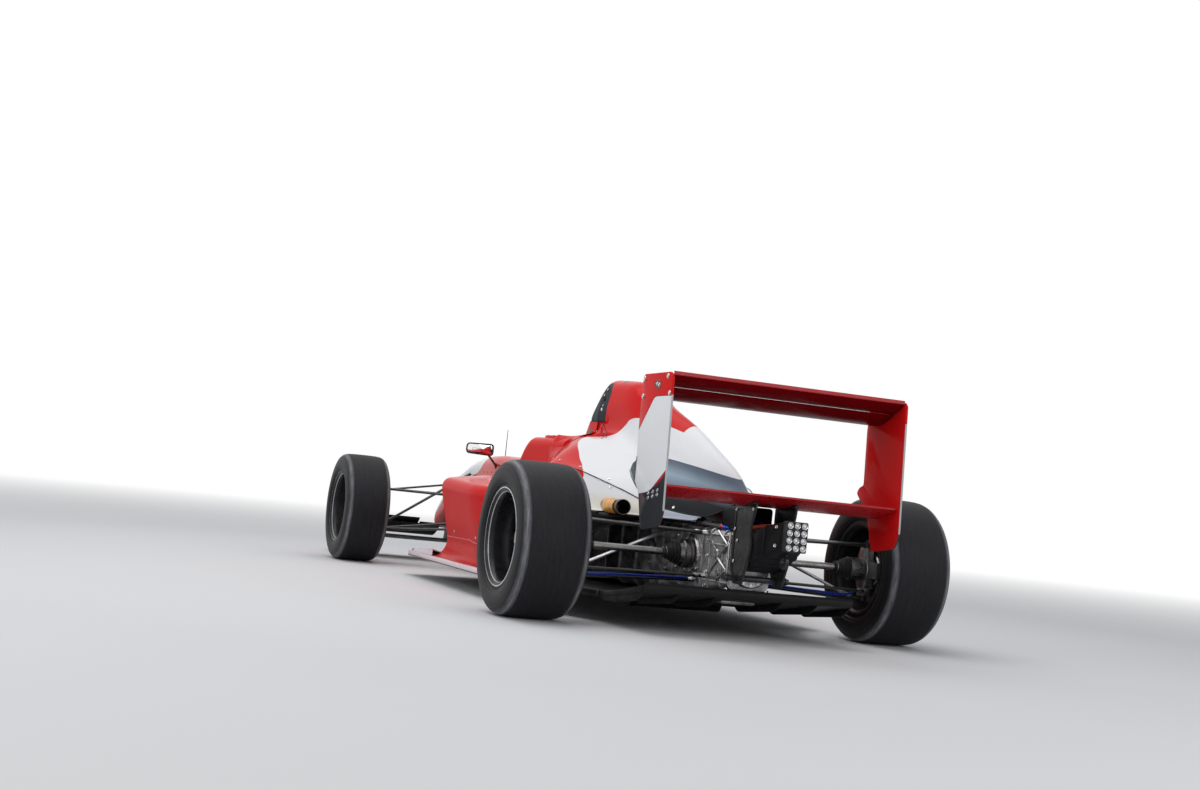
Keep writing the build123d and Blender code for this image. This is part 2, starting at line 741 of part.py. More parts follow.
def wing_blade(edges, lift, thickness, camber, half, gurney=0.0):
    """A rear blade across the car, with an upstand of that height on its trailing edge."""
    (lead, lead_z), (trail, trail_z) = edges
    lead_z, trail_z = lead_z + lift, trail_z + lift
    wing = blade((ra(lead), lead_z), (ra(trail), trail_z), thickness, camber, (-half, half))
    if not gurney:
        return wing
    strip = [
        (ra(trail + 1), trail_z - 0.5), (ra(trail + 1 + GURNEY_T), trail_z - 1.5),
        (ra(trail + 1 + GURNEY_T), trail_z + gurney), (ra(trail + 1), trail_z + gurney),
    ]
    return wing + side_plate(strip, -half, 2 * half)


def beam_wing():
    """The lower plane, on the pylons."""
    return wing_blade(BEAM_EDGES, SEAT, 14, 10, WING_HALF - SEAT, BEAM_GURNEY)


def rear_wing():
    """The upper main plane and its flap, between the endplates."""
    half = WING_HALF - SEAT
    main = wing_blade(MAIN_EDGES, 0, 18, 14, half)
    return [main, wing_blade(FLAP_EDGES, 0, 10, 8, half, FLAP_GURNEY)]


def rear_wing_endplates():
    """The two side plates of the rear wing."""
    outline = [
        (ra(-241), 812), (ra(-245), 908), (ra(-257), 918), (ra(-490), 921), (ra(-512), 907),
        (ra(-538), 433), (ra(-515), 392), (ra(-495), 382), (ra(-361), 366), (ra(-345), 378),
        (ra(-301), 498), (ra(-206), 576), (ra(-222), 598), (ra(-252), 608),
    ]
    return both(side_plate(outline, WING_HALF, PLATE_T, corner=12))


def wishbone(ball, legs, drop=0.0):
    """Two links from one outer boss, which they meet drop below its middle."""
    x, y, z = ball
    piece = upright_bar(x, y, BALL_BOSS_R, (z - BALL_BOSS_H / 2, z + BALL_BOSS_H / 2))
    for inner in legs:
        piece += rod((x, y, z - drop), inner, LINK_R)
    return piece


def front_wishbones():
    """Both sides' upper and lower wishbones and pushrods, with the pins that the uprights turn on."""
    king_y = FRONT_TRACK / 2 - UPRIGHT_INSET
    half_boss = BALL_BOSS_H / 2
    pin = 24

    def inner(ahead, z):
        return fa(ahead), at(TUB, fa(ahead), HALF) + SEAT + LINK_LIFT, z

    upper_legs = [inner(50, UPPER_BALL_Z), inner(-250, UPPER_BALL_Z)]
    upper = wishbone((fa(0), king_y, UPPER_BALL_Z), upper_legs)
    upper += upright_bar(fa(0), king_y, BALL_PIN_R, (UPPER_BALL_Z - half_boss - pin, UPPER_BALL_Z))
    low_z = FRONT_LOWER_INNER_Z
    lower_legs = [inner(60, low_z + 20), inner(-240, low_z)]
    lower = wishbone((fa(0), king_y, LOWER_BALL_Z), lower_legs, LOWER_LEG_DROP)
    lower += upright_bar(fa(0), king_y, BALL_PIN_R, (LOWER_BALL_Z, LOWER_BALL_Z + half_boss + pin))
    lower += rod((fa(-14), king_y - 42, LOWER_BALL_Z + 6), inner(-14, FRONT_PUSHROD_TOP_Z), LINK_R)
    return [both(upper), both(lower)]


def rear_wishbones():
    """Both sides' rear wishbones, pushrods and toe links, from the gearbox to the uprights."""
    ball_y = REAR_TRACK / 2 - REAR_UPRIGHT_INSET

    def inner(ahead, z, lift=LINK_LIFT):
        return ra(ahead), at(GEARBOX, ra(ahead), HALF) + SEAT + lift, z

    upper_legs = [inner(230, REAR_UPPER_INNER_Z), inner(-140, REAR_UPPER_INNER_Z)]
    upper = wishbone((ra(0), ball_y, UPPER_BALL_Z), upper_legs)
    lower_legs = [inner(250, REAR_LOWER_INNER_Z), inner(-60, REAR_LOWER_INNER_Z)]
    lower = wishbone((ra(0), ball_y, LOWER_BALL_Z), lower_legs, LOWER_LEG_DROP)
    lower += rod((ra(24), ball_y - 40, LOWER_BALL_Z + 4), inner(140, 380), LINK_R)
    toe = rod((ra(-80), ball_y - 22, 205), inner(-150, 215, TOE_LIFT), LINK_R * 0.8)
    toe += block((ra(-92), ra(-68)), (ball_y - 30, ball_y - UPRIGHT_T / 2 - SEAT), (195, 215))
    return [both(upper), both(lower), both(toe)]


def caliper(axle, wheel_y, inset):
    """A brake caliper that straddles the rear edge of a disc."""
    x, z = axle
    plate_out = wheel_y - inset + UPRIGHT_T / 2
    disc_in = plate_out + DISC_GAP
    y = (disc_in - CALIPER_GAP - CALIPER_CHEEK, disc_in + DISC_T + CALIPER_GAP + CALIPER_CHEEK)
    body = across(x, z, CALIPER_R, y) - across(x, z, 92, y)
    slot = (disc_in - CALIPER_GAP, disc_in + DISC_T + CALIPER_GAP)
    body -= across(x, z, DISC_R + CALIPER_GAP, slot)
    body &= block((x - 160, x - 96), y, (z - 62, z + 62))
    bracket = block((x - 120, x - 30), (plate_out - UPRIGHT_T, y[0] + CALIPER_CHEEK), (z - 36, z + 36))
    return body + bracket


def upright(axle, wheel_y, inset, low, high):
    """The upright's plate, waisted from its bearing to its two lugs, and its caliper."""
    x, z = axle
    y = wheel_y - inset
    ends = [
        Pos(x, low + UPRIGHT_LUG_R) * Circle(UPRIGHT_LUG_R), Pos(x, z) * Circle(BEARING_R),
        Pos(x, high - UPRIGHT_LUG_R) * Circle(UPRIGHT_LUG_R),
    ]
    outline = Plane.XZ * make_hull([edge for end in ends for edge in end.edges()])
    plate = Pos(0, y - UPRIGHT_T / 2, 0) * extrude(outline, amount=UPRIGHT_T, dir=(0, 1, 0))
    plate += caliper(axle, wheel_y, inset)
    return plate - across(x, z, JOURNAL_R + RUNNING, (y - 60, y + 60))


def front_upright():
    """The left front upright, with its steering arm and the bores for its two pins."""
    wheel_y = FRONT_TRACK / 2
    y = wheel_y - UPRIGHT_INSET
    half_boss = BALL_BOSS_H / 2
    low = LOWER_BALL_Z + half_boss + HINGE_GAP
    high = UPPER_BALL_Z - half_boss - HINGE_GAP
    piece = upright((fa(0), FRONT_TYRE_R), wheel_y, UPRIGHT_INSET, low, high)
    arm_z = (STEER_ARM_TOP_Z - STEER_ARM_T, STEER_ARM_TOP_Z)
    piece += block((fa(UPRIGHT_LUG_R / 2), fa(STEER_ARM)), (y - 15, y + 15), arm_z)
    piece += upright_bar(fa(STEER_ARM), y, 15, arm_z)
    piece += upright_bar(fa(STEER_ARM), y, STUD_R, (STEER_ARM_TOP_Z - 1, STEER_ARM_TOP_Z + EYE_H + 4))
    for z in ((low - 1, low + 26), (high - 26, high + 1)):
        piece -= upright_bar(fa(0), y, BALL_PIN_R + RUNNING, z)
    return piece


def rear_uprights():
    """Both rear uprights with their calipers, held by the rear wishbones."""
    half_boss = BALL_BOSS_H / 2
    low = LOWER_BALL_Z + half_boss + SEAT
    high = UPPER_BALL_Z - half_boss - SEAT
    return both(upright((ra(0), REAR_TYRE_R), REAR_TRACK / 2, REAR_UPRIGHT_INSET, low, high))


def revolved(points, axle):
    """A ring about a wheel's axle from a (y, r) outline."""
    x, z = axle
    outline = make_face(Polyline(*[(0, y, r) for y, r in points], close=True))
    return Pos(x, 0, z) * revolve(outline, axis=Axis.Y)


def tyre(axle, wheel_y, radius, width, rim_width):
    """A slick tyre: crowned shoulders, bulged sidewalls and a bore that sits on the rim."""
    half, bead = width / 2, rim_width / 2 - 10
    bulge_r = (radius + BEAD_R) / 2 + 8
    outline = [
        (-bead, BEAD_R + SEAT), (-half, bulge_r), (-half + 20, radius - 12), (-half + 42, radius),
        (half - 42, radius), (half - 20, radius - 12), (half, bulge_r), (bead, BEAD_R + SEAT),
    ]
    return revolved([(wheel_y + y, r) for y, r in outline], axle)


def rim(axle, wheel_y, width):
    """A rim: barrel with its two flanges, and spokes from the barrel to the boss."""
    x, z = axle
    half = width / 2
    barrel = [
        (-half, FLANGE_R), (-half + 9, BEAD_R), (half - 9, BEAD_R), (half, FLANGE_R),
        (half, BEAD_R - RIM_WALL), (-half, BEAD_R - RIM_WALL),
    ]
    piece = revolved([(wheel_y + y, r) for y, r in barrel], axle)
    reach = BEAD_R - RIM_WALL + 2
    spoke = make_face(Polyline(
        (WHEEL_BOSS_R - 8, -SPOKE_ROOT_W / 2), (reach, -SPOKE_TIP_W / 2), (reach, SPOKE_TIP_W / 2),
        (WHEEL_BOSS_R - 8, SPOKE_ROOT_W / 2), close=True,
    ))
    spider = Circle(WHEEL_BOSS_R)
    for number in range(SPOKES):
        spider += Rot(0, 0, number * 360 / SPOKES) * spoke
    spider -= Circle(SNOUT_R + SEAT)
    plane = Plane(origin=(x, wheel_y + SPOKE_PLANE, z), x_dir=(1, 0, 0), z_dir=(0, 1, 0))
    return piece + extrude(plane * spider, amount=SPOKE_DEPTH)


def hub(axle, wheel_y, inset):
    """A hub: journal in the upright, brake disc, snout through the rim, and the centre nut."""
    x, z = axle
    plate_in = wheel_y - inset - UPRIGHT_T / 2
    disc_in = wheel_y - inset + UPRIGHT_T / 2 + DISC_GAP
    disc_out = disc_in + DISC_T
    seat_y = wheel_y + SPOKE_PLANE - SEAT
    face_y = wheel_y + SPOKE_PLANE + SPOKE_DEPTH + SEAT
    piece = across(x, z, JOURNAL_R, (plate_in - 6, disc_in))
    piece += across(x, z, DISC_R, (disc_in, disc_out))
    piece += across(x, z, JOURNAL_R + 14, (disc_out, seat_y))
    piece += across(x, z, SNOUT_R, (seat_y, face_y))
    plane = Plane(origin=(x, face_y, z), x_dir=(1, 0, 0), z_dir=(0, 1, 0))
    return piece + extrude(plane * RegularPolygon(NUT_R, 6), amount=NUT_DEPTH)


def rear_hub():
    """The left rear hub with its driveshaft, whose inner end runs in the gearbox."""
    axle = (ra(0), REAR_TYRE_R)
    x, z = axle
    piece = hub(axle, REAR_TRACK / 2, REAR_UPRIGHT_INSET)
    outer = REAR_TRACK / 2 - REAR_UPRIGHT_INSET - UPRIGHT_T / 2 - 6
    half = at(GEARBOX, ra(0), HALF)
    piece += across(x, z, 46, (outer - 56, outer))
    piece += across(x, z, 14, (half + 60, outer - 56))
    piece += across(x, z, CV_R, (half + 6, half + 60))
    return piece + across(x, z, STUB_R, (half - STUB_DEPTH, half + 6))


def save(name, shape):
    """Write one sub-part, a shape or a list of shapes that don't touch, as a STEP file."""
    if isinstance(shape, list):
        shape = Compound(children=[solid for piece in shape for solid in piece.solids()])
    export_step(shape, f"parts/{name}.step")


def main():
    os.makedirs("parts", exist_ok=True)
    front_axle, rear_axle = (fa(0), FRONT_TYRE_R), (ra(0), REAR_TYRE_R)
    front_y, rear_y = FRONT_TRACK / 2, REAR_TRACK / 2
    single = {
        "monocoque": monocoque, "nose_cone": nose_cone, "front_wing": front_wing,
        "front_wing_endplates": front_wing_endplates, "floor": floor, "diffuser": diffuser,
        "sidepod_left": sidepod_left, "radiators": radiators, "engine_cover": engine_cover,
        "roll_hoop": roll_hoop, "headrest": headrest, "seat": seat, "dashboard": dashboard,
        "rack_housing": rack_housing, "steering_wheel": steering_wheel,
        "steering_rack": steering_rack, "mirrors": mirrors, "aerial": aerial, "engine": engine,
        "gearbox": gearbox, "exhaust": exhaust, "crash_structure": crash_structure,
        "rain_light": rain_light, "wing_pylons": wing_pylons, "beam_wing": beam_wing,
        "rear_wing": rear_wing, "rear_wing_endplates": rear_wing_endplates,
        "front_wishbones": front_wishbones, "rear_wishbones": rear_wishbones,
        "rear_uprights": rear_uprights,
    }
    for name, make in single.items():
        save(name, make())
    save("sidepod_right", other_side(sidepod()))
    paired = {
        "front_upright": front_upright(),
        "front_tyre": tyre(front_axle, front_y, FRONT_TYRE_R, FRONT_TYRE_W, FRONT_RIM_W),
        "front_rim": rim(front_axle, front_y, FRONT_RIM_W),
        "front_hub": hub(front_axle, front_y, UPRIGHT_INSET),
        "rear_tyre": tyre(rear_axle, rear_y, REAR_TYRE_R, REAR_TYRE_W, REAR_RIM_W),
        "rear_rim": rim(rear_axle, rear_y, REAR_RIM_W),
        "rear_hub": rear_hub(),
    }
    for name, shape in paired.items():
        save(f"{name}_left", shape)
        save(f"{name}_right", other_side(shape))


main()
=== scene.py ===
"""Open-wheel racing car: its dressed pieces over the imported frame.

Metres, X forward, Y to the car's left, Z up. Stations along the car are metres ahead of the rear
axle, and back() turns one into X.
"""
import json
import math
from contextlib import contextmanager

import bmesh
import bpy
from bpy.props import FloatProperty, FloatVectorProperty, IntProperty, PointerProperty
from mathutils import Matrix, Vector
from mathutils.bvhtree import BVHTree


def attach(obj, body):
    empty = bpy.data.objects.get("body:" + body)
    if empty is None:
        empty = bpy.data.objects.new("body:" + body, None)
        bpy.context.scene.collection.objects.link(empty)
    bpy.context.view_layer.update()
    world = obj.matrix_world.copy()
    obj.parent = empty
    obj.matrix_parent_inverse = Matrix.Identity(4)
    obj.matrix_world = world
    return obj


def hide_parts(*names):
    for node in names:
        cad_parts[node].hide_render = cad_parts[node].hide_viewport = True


bl_info = {
    "name": "Open-wheel racing car",
    "version": (1, 0, 0),
    "blender": (4, 5, 0),
    "location": "View3D > Sidebar > Racing car",
    "description": "Dresses the packed racing car: bodywork, wings, wheels, suspension and stage",
    "category": "Add Mesh",
}

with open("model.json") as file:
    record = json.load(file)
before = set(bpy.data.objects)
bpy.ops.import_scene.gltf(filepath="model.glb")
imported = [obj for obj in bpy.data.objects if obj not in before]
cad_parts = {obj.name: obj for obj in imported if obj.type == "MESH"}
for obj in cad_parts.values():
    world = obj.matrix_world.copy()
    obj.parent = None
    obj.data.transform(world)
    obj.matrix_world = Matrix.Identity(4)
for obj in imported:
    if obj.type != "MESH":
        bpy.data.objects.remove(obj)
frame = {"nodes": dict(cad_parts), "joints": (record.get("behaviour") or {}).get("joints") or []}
JOINT_AT = {joint["name"]: Vector(joint["pos_m"]) for joint in frame["joints"] if "pos_m" in joint}
REAR_AXLE = JOINT_AT["rear_left_spin"]
FRONT_AXLE = JOINT_AT["front_left_spin"]
WHEEL = {
    "rear": {"centre": REAR_AXLE, "radius": 0.285, "width": 0.272, "rim": 0.252, "inset": 0.09},
    "front": {"centre": FRONT_AXLE, "radius": 0.27, "width": 0.225, "rim": 0.205, "inset": 0.06},
}
BEAD_RADIUS = 0.165
FLOOR_TOP = 0.117
LEFT = (0, 1, 0)
UP = (0, 0, 1)
REARWARD = (-1, 0, 0)


def back(station):
    """X of a station given in metres ahead of the rear axle."""
    return REAR_AXLE.x + station


def fore(station):
    """X of a station given in metres ahead of the front axle."""
    return FRONT_AXLE.x + station


OUTPUT = (back(0), 0, 0.285)  # the middle of the gearbox's output, on the rear axle's line


# Selecting, editing and finishing


def clear():
    """Leave nothing selected."""
    if bpy.context.object and bpy.context.object.mode != "OBJECT":
        bpy.ops.object.mode_set(mode="OBJECT")
    bpy.ops.object.select_all(action="DESELECT")


def take(piece):
    """Make one piece the only one selected, and the active one."""
    clear()
    piece.select_set(True)
    bpy.context.view_layer.objects.active = piece
    return piece


@contextmanager
def editing(piece):
    """Edit mode on one piece, with all of it selected at the start."""
    take(piece)
    bpy.ops.object.mode_set(mode="EDIT")
    bpy.ops.mesh.select_mode(type="FACE")
    bpy.ops.mesh.select_all(action="SELECT")
    yield
    bpy.ops.object.mode_set(mode="OBJECT")


def pick_faces(piece, test):
    """Select, in edit mode, only the faces that pass a test."""
    bpy.ops.mesh.select_mode(type="FACE")
    bpy.ops.mesh.select_all(action="DESELECT")
    mesh = bmesh.from_edit_mesh(piece.data)
    for face in mesh.faces:
        face.select_set(bool(test(face)))
    bmesh.update_edit_mesh(piece.data)


def pick_edges(piece, test):
    """Select, in edit mode, only the edges that pass a test."""
    bpy.ops.mesh.select_mode(type="EDGE")
    bpy.ops.mesh.select_all(action="DESELECT")
    mesh = bmesh.from_edit_mesh(piece.data)
    for edge in mesh.edges:
        edge.select_set(bool(test(edge)))
    bmesh.update_edit_mesh(piece.data)


def named(name):
    """Name the piece that was just added."""
    piece = bpy.context.object
    piece.name = name
    piece.data.name = name
    return piece


def modify(piece, kind, **settings):
    """Add a modifier with its settings and apply it."""
    take(piece)
    modifier = piece.modifiers.new(kind.lower(), kind)
    for key, value in settings.items():
        setattr(modifier, key, value)
    bpy.ops.object.modifier_apply(modifier=modifier.name)
    return piece


def cut(piece, tool):
    """Cut a tool's shape out of a piece, and drop the tool."""
    modify(piece, "BOOLEAN", operation="DIFFERENCE", solver="EXACT", object=tool)
    take(tool)
    bpy.ops.object.delete()


def extrude(shift):
    """Push the selected faces out by a shift."""
    bpy.ops.mesh.extrude_region_move(TRANSFORM_OT_translate={"value": shift})


def recess(piece, test, inset, shift):
    """Inset the faces that pass a test, and push them in by a shift."""
    with editing(piece):
        pick_faces(piece, test)
        bpy.ops.mesh.inset(thickness=inset)
        extrude(shift)


def round_edges(piece, width, segments=2, angle=35):
    """Round every edge sharper than an angle."""
    return modify(
        piece, "BEVEL", width=width, segments=segments, limit_method="ANGLE",
        angle_limit=math.radians(angle), harden_normals=False,
    )


def turn_outwards(piece, gap=1e-5):
    """Merge doubles and point a closed shape's faces outwards."""
    with editing(piece):
        bpy.ops.mesh.remove_doubles(threshold=gap)
        bpy.ops.mesh.dissolve_degenerate(threshold=1e-6)
        bpy.ops.mesh.delete_loose()
        bpy.ops.mesh.select_all(action="SELECT")
        bpy.ops.mesh.normals_make_consistent(inside=False)
    return piece


def join(name, pieces):
    """Join several pieces into one."""
    clear()
    for piece in pieces:
        piece.select_set(True)
    bpy.context.view_layer.objects.active = pieces[0]
    if len(pieces) > 1:
        bpy.ops.object.join()
    return named(name)


def copied(piece, name, shift=(0, 0, 0)):
    """A copy of a piece with its own mesh, moved by a shift."""
    take(piece)
    bpy.ops.object.duplicate(linked=False)
    twin = named(name)
    if any(shift):
        with editing(twin):
            bpy.ops.transform.translate(value=shift)
    return twin


def mirrored(piece, name):
    """A copy of a piece on the other side of the car, with its faces turned back outwards."""
    twin = copied(piece, name)
    with editing(twin):
        bpy.ops.transform.resize(value=(1, -1, 1), center_override=(0, 0, 0))
        bpy.ops.mesh.flip_normals()
    return twin


def both(piece, name):
    """A piece joined with its mirror image."""
    return join(name, [piece, mirrored(piece, name + "_twin")])


def spun(piece, name, count, centre, axis):
    """A piece joined with its copies turned evenly about an axle."""
    pieces = [piece]
    for number in range(1, count):
        twin = copied(piece, f"{name}_{number}")
        turn = Matrix.Rotation(number * math.tau / count, 4, Vector(axis))
        twin.data.transform(Matrix.Translation(centre) @ turn @ Matrix.Translation(-Vector(centre)))
        pieces.append(twin)
    return join(name, pieces)


def settle(piece, slot, finish, *replaced, body="chassis", smooth=32):
    """Put a finished piece on its body, with its material and its shading; the slot is not used."""
    take(piece)
    bpy.ops.object.transform_apply(location=True, rotation=True, scale=True)
    if smooth:
        bpy.ops.object.shade_smooth_by_angle(angle=math.radians(smooth))
    finishes = finish if isinstance(finish, (list, tuple)) else [finish]
    if len(finishes) == 1:
        piece.data.materials.clear()
        piece.data.materials.append(finishes[0])
    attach(piece, body)
    if replaced:
        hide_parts(*replaced)
    return piece


def settle_sides(piece, slot, finish, *replaced, body="chassis", smooth=32):
    """Settle a left piece and a right copy, each on the body and for the nodes of its own side."""
    twin = mirrored(piece, piece.name.replace("left", "right"))
    for one, side in ((piece, "left"), (twin, "right")):
        nodes = [node.replace("left", side) for node in replaced]
        settle(one, slot, finish, *nodes, smooth=smooth, body=body.replace("left", side))


# Making shapes


def flow(points, count, pull=0.5):
    """A smooth line of count points through some points, centripetal so that it never loops."""
    points = [Vector(point) for point in points]
    knots = [0.0]
    for a, b in zip(points, points[1:]):
        knots.append(knots[-1] + max((b - a).length, 1e-6) ** pull)
    lengths = [0.0]
    for a, b in zip(points, points[1:]):
        lengths.append(lengths[-1] + (b - a).length)
    line = []
    for number in range(count):
        wanted = lengths[-1] * number / (count - 1)
        leg = 0
        while leg < len(points) - 2 and wanted > lengths[leg + 1]:
            leg += 1
        share = (wanted - lengths[leg]) / max(lengths[leg + 1] - lengths[leg], 1e-9)
        a, b = points[leg], points[leg + 1]
        step = knots[leg + 1] - knots[leg]

        def slope(at):
            if at == 0:
                return (points[1] - points[0]) / (knots[1] - knots[0])
            if at == len(points) - 1:
                return (points[-1] - points[-2]) / (knots[-1] - knots[-2])
            before = (points[at] - points[at - 1]) / (knots[at] - knots[at - 1])
            after = (points[at + 1] - points[at]) / (knots[at + 1] - knots[at])
            h0, h1 = knots[at] - knots[at - 1], knots[at + 1] - knots[at]
            return (before * h1 + after * h0) / (h0 + h1)

        m0, m1 = slope(leg) * step, slope(leg + 1) * step
        t = share
        line.append(
            a * (2 * t**3 - 3 * t**2 + 1) + m0 * (t**3 - 2 * t**2 + t)
            + b * (3 * t**2 - 2 * t**3) + m1 * (t**3 - t**2)
        )
    return line


def between(table, station):
    """The values of a station table at a station, smooth along the car and never overshooting."""
    rows = sorted(table, key=lambda row: row[0])
    stations = [row[0] for row in rows]
    station = min(max(station, stations[0]), stations[-1])
    leg = 0
    while leg < len(rows) - 2 and station > stations[leg + 1]:
        leg += 1
    width = stations[leg + 1] - stations[leg]
    t = (station - stations[leg]) / width

    def rise(at, column):
        return (rows[at + 1][column] - rows[at][column]) / (stations[at + 1] - stations[at])

    def slope(at, column):
        if at == 0:
            return rise(0, column)
        if at == len(rows) - 1:
            return rise(len(rows) - 2, column)
        a, b = rise(at - 1, column), rise(at, column)
        return 0.0 if a * b <= 0 else 2 * a * b / (a + b)

    values = []
    for column in range(1, len(rows[0])):
        a, b = rows[leg][column], rows[leg + 1][column]
        m0, m1 = slope(leg, column) * width, slope(leg + 1, column) * width
        values.append(
            a * (2 * t**3 - 3 * t**2 + 1) + m0 * (t**3 - 2 * t**2 + t)
            + b * (3 * t**2 - 2 * t**3) + m1 * (t**3 - t**2)
        )
    return values


def spread(first, last, count):
    """Evenly spaced numbers from first to last."""
    return [first + (last - first) * number / (count - 1) for number in range(count)]


def skin(name, rows, closed=False):
    """A grid whose rows of points lie along sections, closed round each section if asked."""
    clear()
    high, wide = len(rows), len(rows[0]) + (1 if closed else 0)
    bpy.ops.mesh.primitive_grid_add(x_subdivisions=wide - 1, y_subdivisions=high - 1, size=1)
    piece = named(name)
    if len(piece.data.vertices) != high * wide:
        raise RuntimeError(f"{name}: the grid has {len(piece.data.vertices)} points, not {high * wide}")
    places = []
    for row in rows:
        line = list(row) + ([row[0]] if closed else [])
        for point in line:
            places.extend(point)
    piece.data.vertices.foreach_set("co", places)
    piece.data.update()
    if closed:
        with editing(piece):
            bpy.ops.mesh.remove_doubles(threshold=1e-6)
    return piece


def solid(name, rows):
    """A skin that is closed round each section and filled at both ends."""
    return close_ends(skin(name, rows, closed=True))


def close_ends(piece):
    """Fill each open end of a skin by itself, and point the faces outwards."""
    with editing(piece):
        mesh = bmesh.from_edit_mesh(piece.data)
        waiting = {edge for edge in mesh.edges if edge.is_boundary}
        ends = []
        while waiting:
            ring, reached = set(), [waiting.pop()]
            while reached:
                edge = reached.pop()
                ring.add(edge.index)
                near = {other for vertex in edge.verts for other in vertex.link_edges} & waiting
                waiting -= near
                reached.extend(near)
            ends.append(ring)
        for ring in ends:
            pick_edges(piece, lambda edge: edge.index in ring)
            bpy.ops.mesh.fill()
    return turn_outwards(piece, 1e-6)


def face_away(piece, centre_line):
    """Turn an open skin's faces so that they look away from a line given as a function of X."""
    total = 0.0
    for face in piece.data.polygons:
        total += face.normal.dot(face.center - centre_line(face.center.x)) * face.area
    if total < 0:
        turn_over(piece)
    return piece


def turn_over(piece):
    """Turn a skin's faces the other way."""
    with editing(piece):
        bpy.ops.mesh.flip_normals()


def thicken(piece, thickness):
    """Give an open skin its wall, inwards from its outer face."""
    return modify(piece, "SOLIDIFY", thickness=thickness, offset=-1, use_rim=True)


def ring_of(count, radius, centre, along=0, first=0):
    """Points spaced evenly round an axle across the car, moved along it; first is a share of a step."""
    angles = [math.tau * (number + first) / count for number in range(count)]
    return [Vector(centre) + Vector((math.cos(a) * radius, along, math.sin(a) * radius)) for a in angles]



def slab(name, outline, shift, bevel=0.0, segments=2):
    """A plate: an outline of points filled and extruded by a shift."""
    clear()
    bpy.ops.mesh.primitive_circle_add(vertices=len(outline), fill_type="NGON")
    piece = named(name)
    for vertex, point in zip(piece.data.vertices, outline):
        vertex.co = point
    with editing(piece):
        extrude(tuple(shift))
    turn_outwards(piece)
    if bevel:
        round_edges(piece, bevel, segments)
    return piece


def side_plate(name, outline, y, thickness, bevel=0.0, segments=2):
    """A plate with a (station, z) outline, from y outwards by thickness."""
    return slab(name, [(back(s), y, z) for s, z in outline], (0, thickness, 0), bevel, segments)


def softened(outline, radius, chords=5):
    """A closed 2-D outline with its corners rounded, by one radius or one per corner."""
    count = len(outline)
    radii = radius if isinstance(radius, (list, tuple)) else [radius] * count
    points = []
    for number in range(count):
        before, here, after = (Vector(outline[(number + k) % count]) for k in (-1, 0, 1))
        reach = min(radii[number], (before - here).length * 0.45, (after - here).length * 0.45)
        if reach <= 0:
            points.append(tuple(here))
            continue
        start = here + (before - here).normalized() * reach
        end = here + (after - here).normalized() * reach
        for step in range(chords + 1):
            t = step / chords
            points.append(tuple(start * (1 - t) ** 2 + here * 2 * t * (1 - t) + end * t**2))
    return points


def box(name, x, y, z, bevel=0.002, segments=2):
    """A block from three (low, high) pairs, with rounded edges."""
    clear()
    size = (x[1] - x[0], y[1] - y[0], z[1] - z[0])
    bpy.ops.mesh.primitive_cube_add(size=1, location=(sum(x) / 2, sum(y) / 2, sum(z) / 2), scale=size)
    piece = take(named(name))
    bpy.ops.object.transform_apply(location=True, rotation=True, scale=True)
    return round_edges(piece, bevel, segments) if bevel else piece


def bar(name, start, end, radius, tip=None, sides=24, bevel=0.0):
    """A round bar between two points; tip is its radius at the end."""
    start, end = Vector(start), Vector(end)
    along = end - start
    clear()
    bpy.ops.mesh.primitive_cone_add(
        vertices=sides, radius1=radius, radius2=radius if tip is None else tip, depth=along.length,
        location=(start + end) / 2, rotation=along.to_track_quat("Z", "Y").to_euler(),
    )
    piece = take(named(name))
    bpy.ops.object.transform_apply(location=True, rotation=True, scale=True)
    return round_edges(piece, bevel, 2, 50) if bevel else piece


def turned(name, profile, centre, axis=LEFT, steps=72):
    """A shape spun round an axle from a closed outline of (along, radius) pairs."""
    centre, axis = Vector(centre), Vector(axis).normalized()
    side = Vector(UP) if abs(axis.z) < 0.9 else Vector((1, 0, 0))
    side = (side - axis * side.dot(axis)).normalized()
    clear()
    bpy.ops.mesh.primitive_circle_add(vertices=len(profile), fill_type="NOTHING")
    piece = named(name)
    for vertex, (along, radius) in zip(piece.data.vertices, profile):
        vertex.co = centre + axis * along + side * radius
    with editing(piece):
        bpy.ops.mesh.select_mode(type="VERT")
        bpy.ops.mesh.select_all(action="SELECT")
        bpy.ops.mesh.spin(steps=steps, angle=math.tau, center=centre, axis=axis)
    return turn_outwards(piece, 2e-5)


def loop_round(centre, along, u_size, v_size, count=20, u_hint=(1, 0, 0), power=1.0):
    """A closed loop of points round a line, flattened to two half sizes."""
    centre, along = Vector(centre), Vector(along).normalized()
    u = Vector(u_hint) - along * Vector(u_hint).dot(along)
    u.normalize()
    v = along.cross(u)
    points = []
    for number in range(count):
        angle = math.tau * number / count
        a, b = math.cos(angle), math.sin(angle)
        a = math.copysign(abs(a) ** power, a)
        b = math.copysign(abs(b) ** power, b)
        points.append(centre + u * (u_size * a) + v * (v_size * b))
    return points


def tube(name, path, radius, count=12, samples=None):
    """A round tube along a smooth path of points."""
    line = flow(path, samples or max(8, 6 * len(path)))
    rows = []
    hint = Vector((0.13, 0.21, 0.97))
    for number, point in enumerate(line):
        before, after = line[max(number - 1, 0)], line[min(number + 1, len(line) - 1)]
        rows.append(loop_round(point, after - before, radius, radius, count, hint))
    return solid(name, rows)


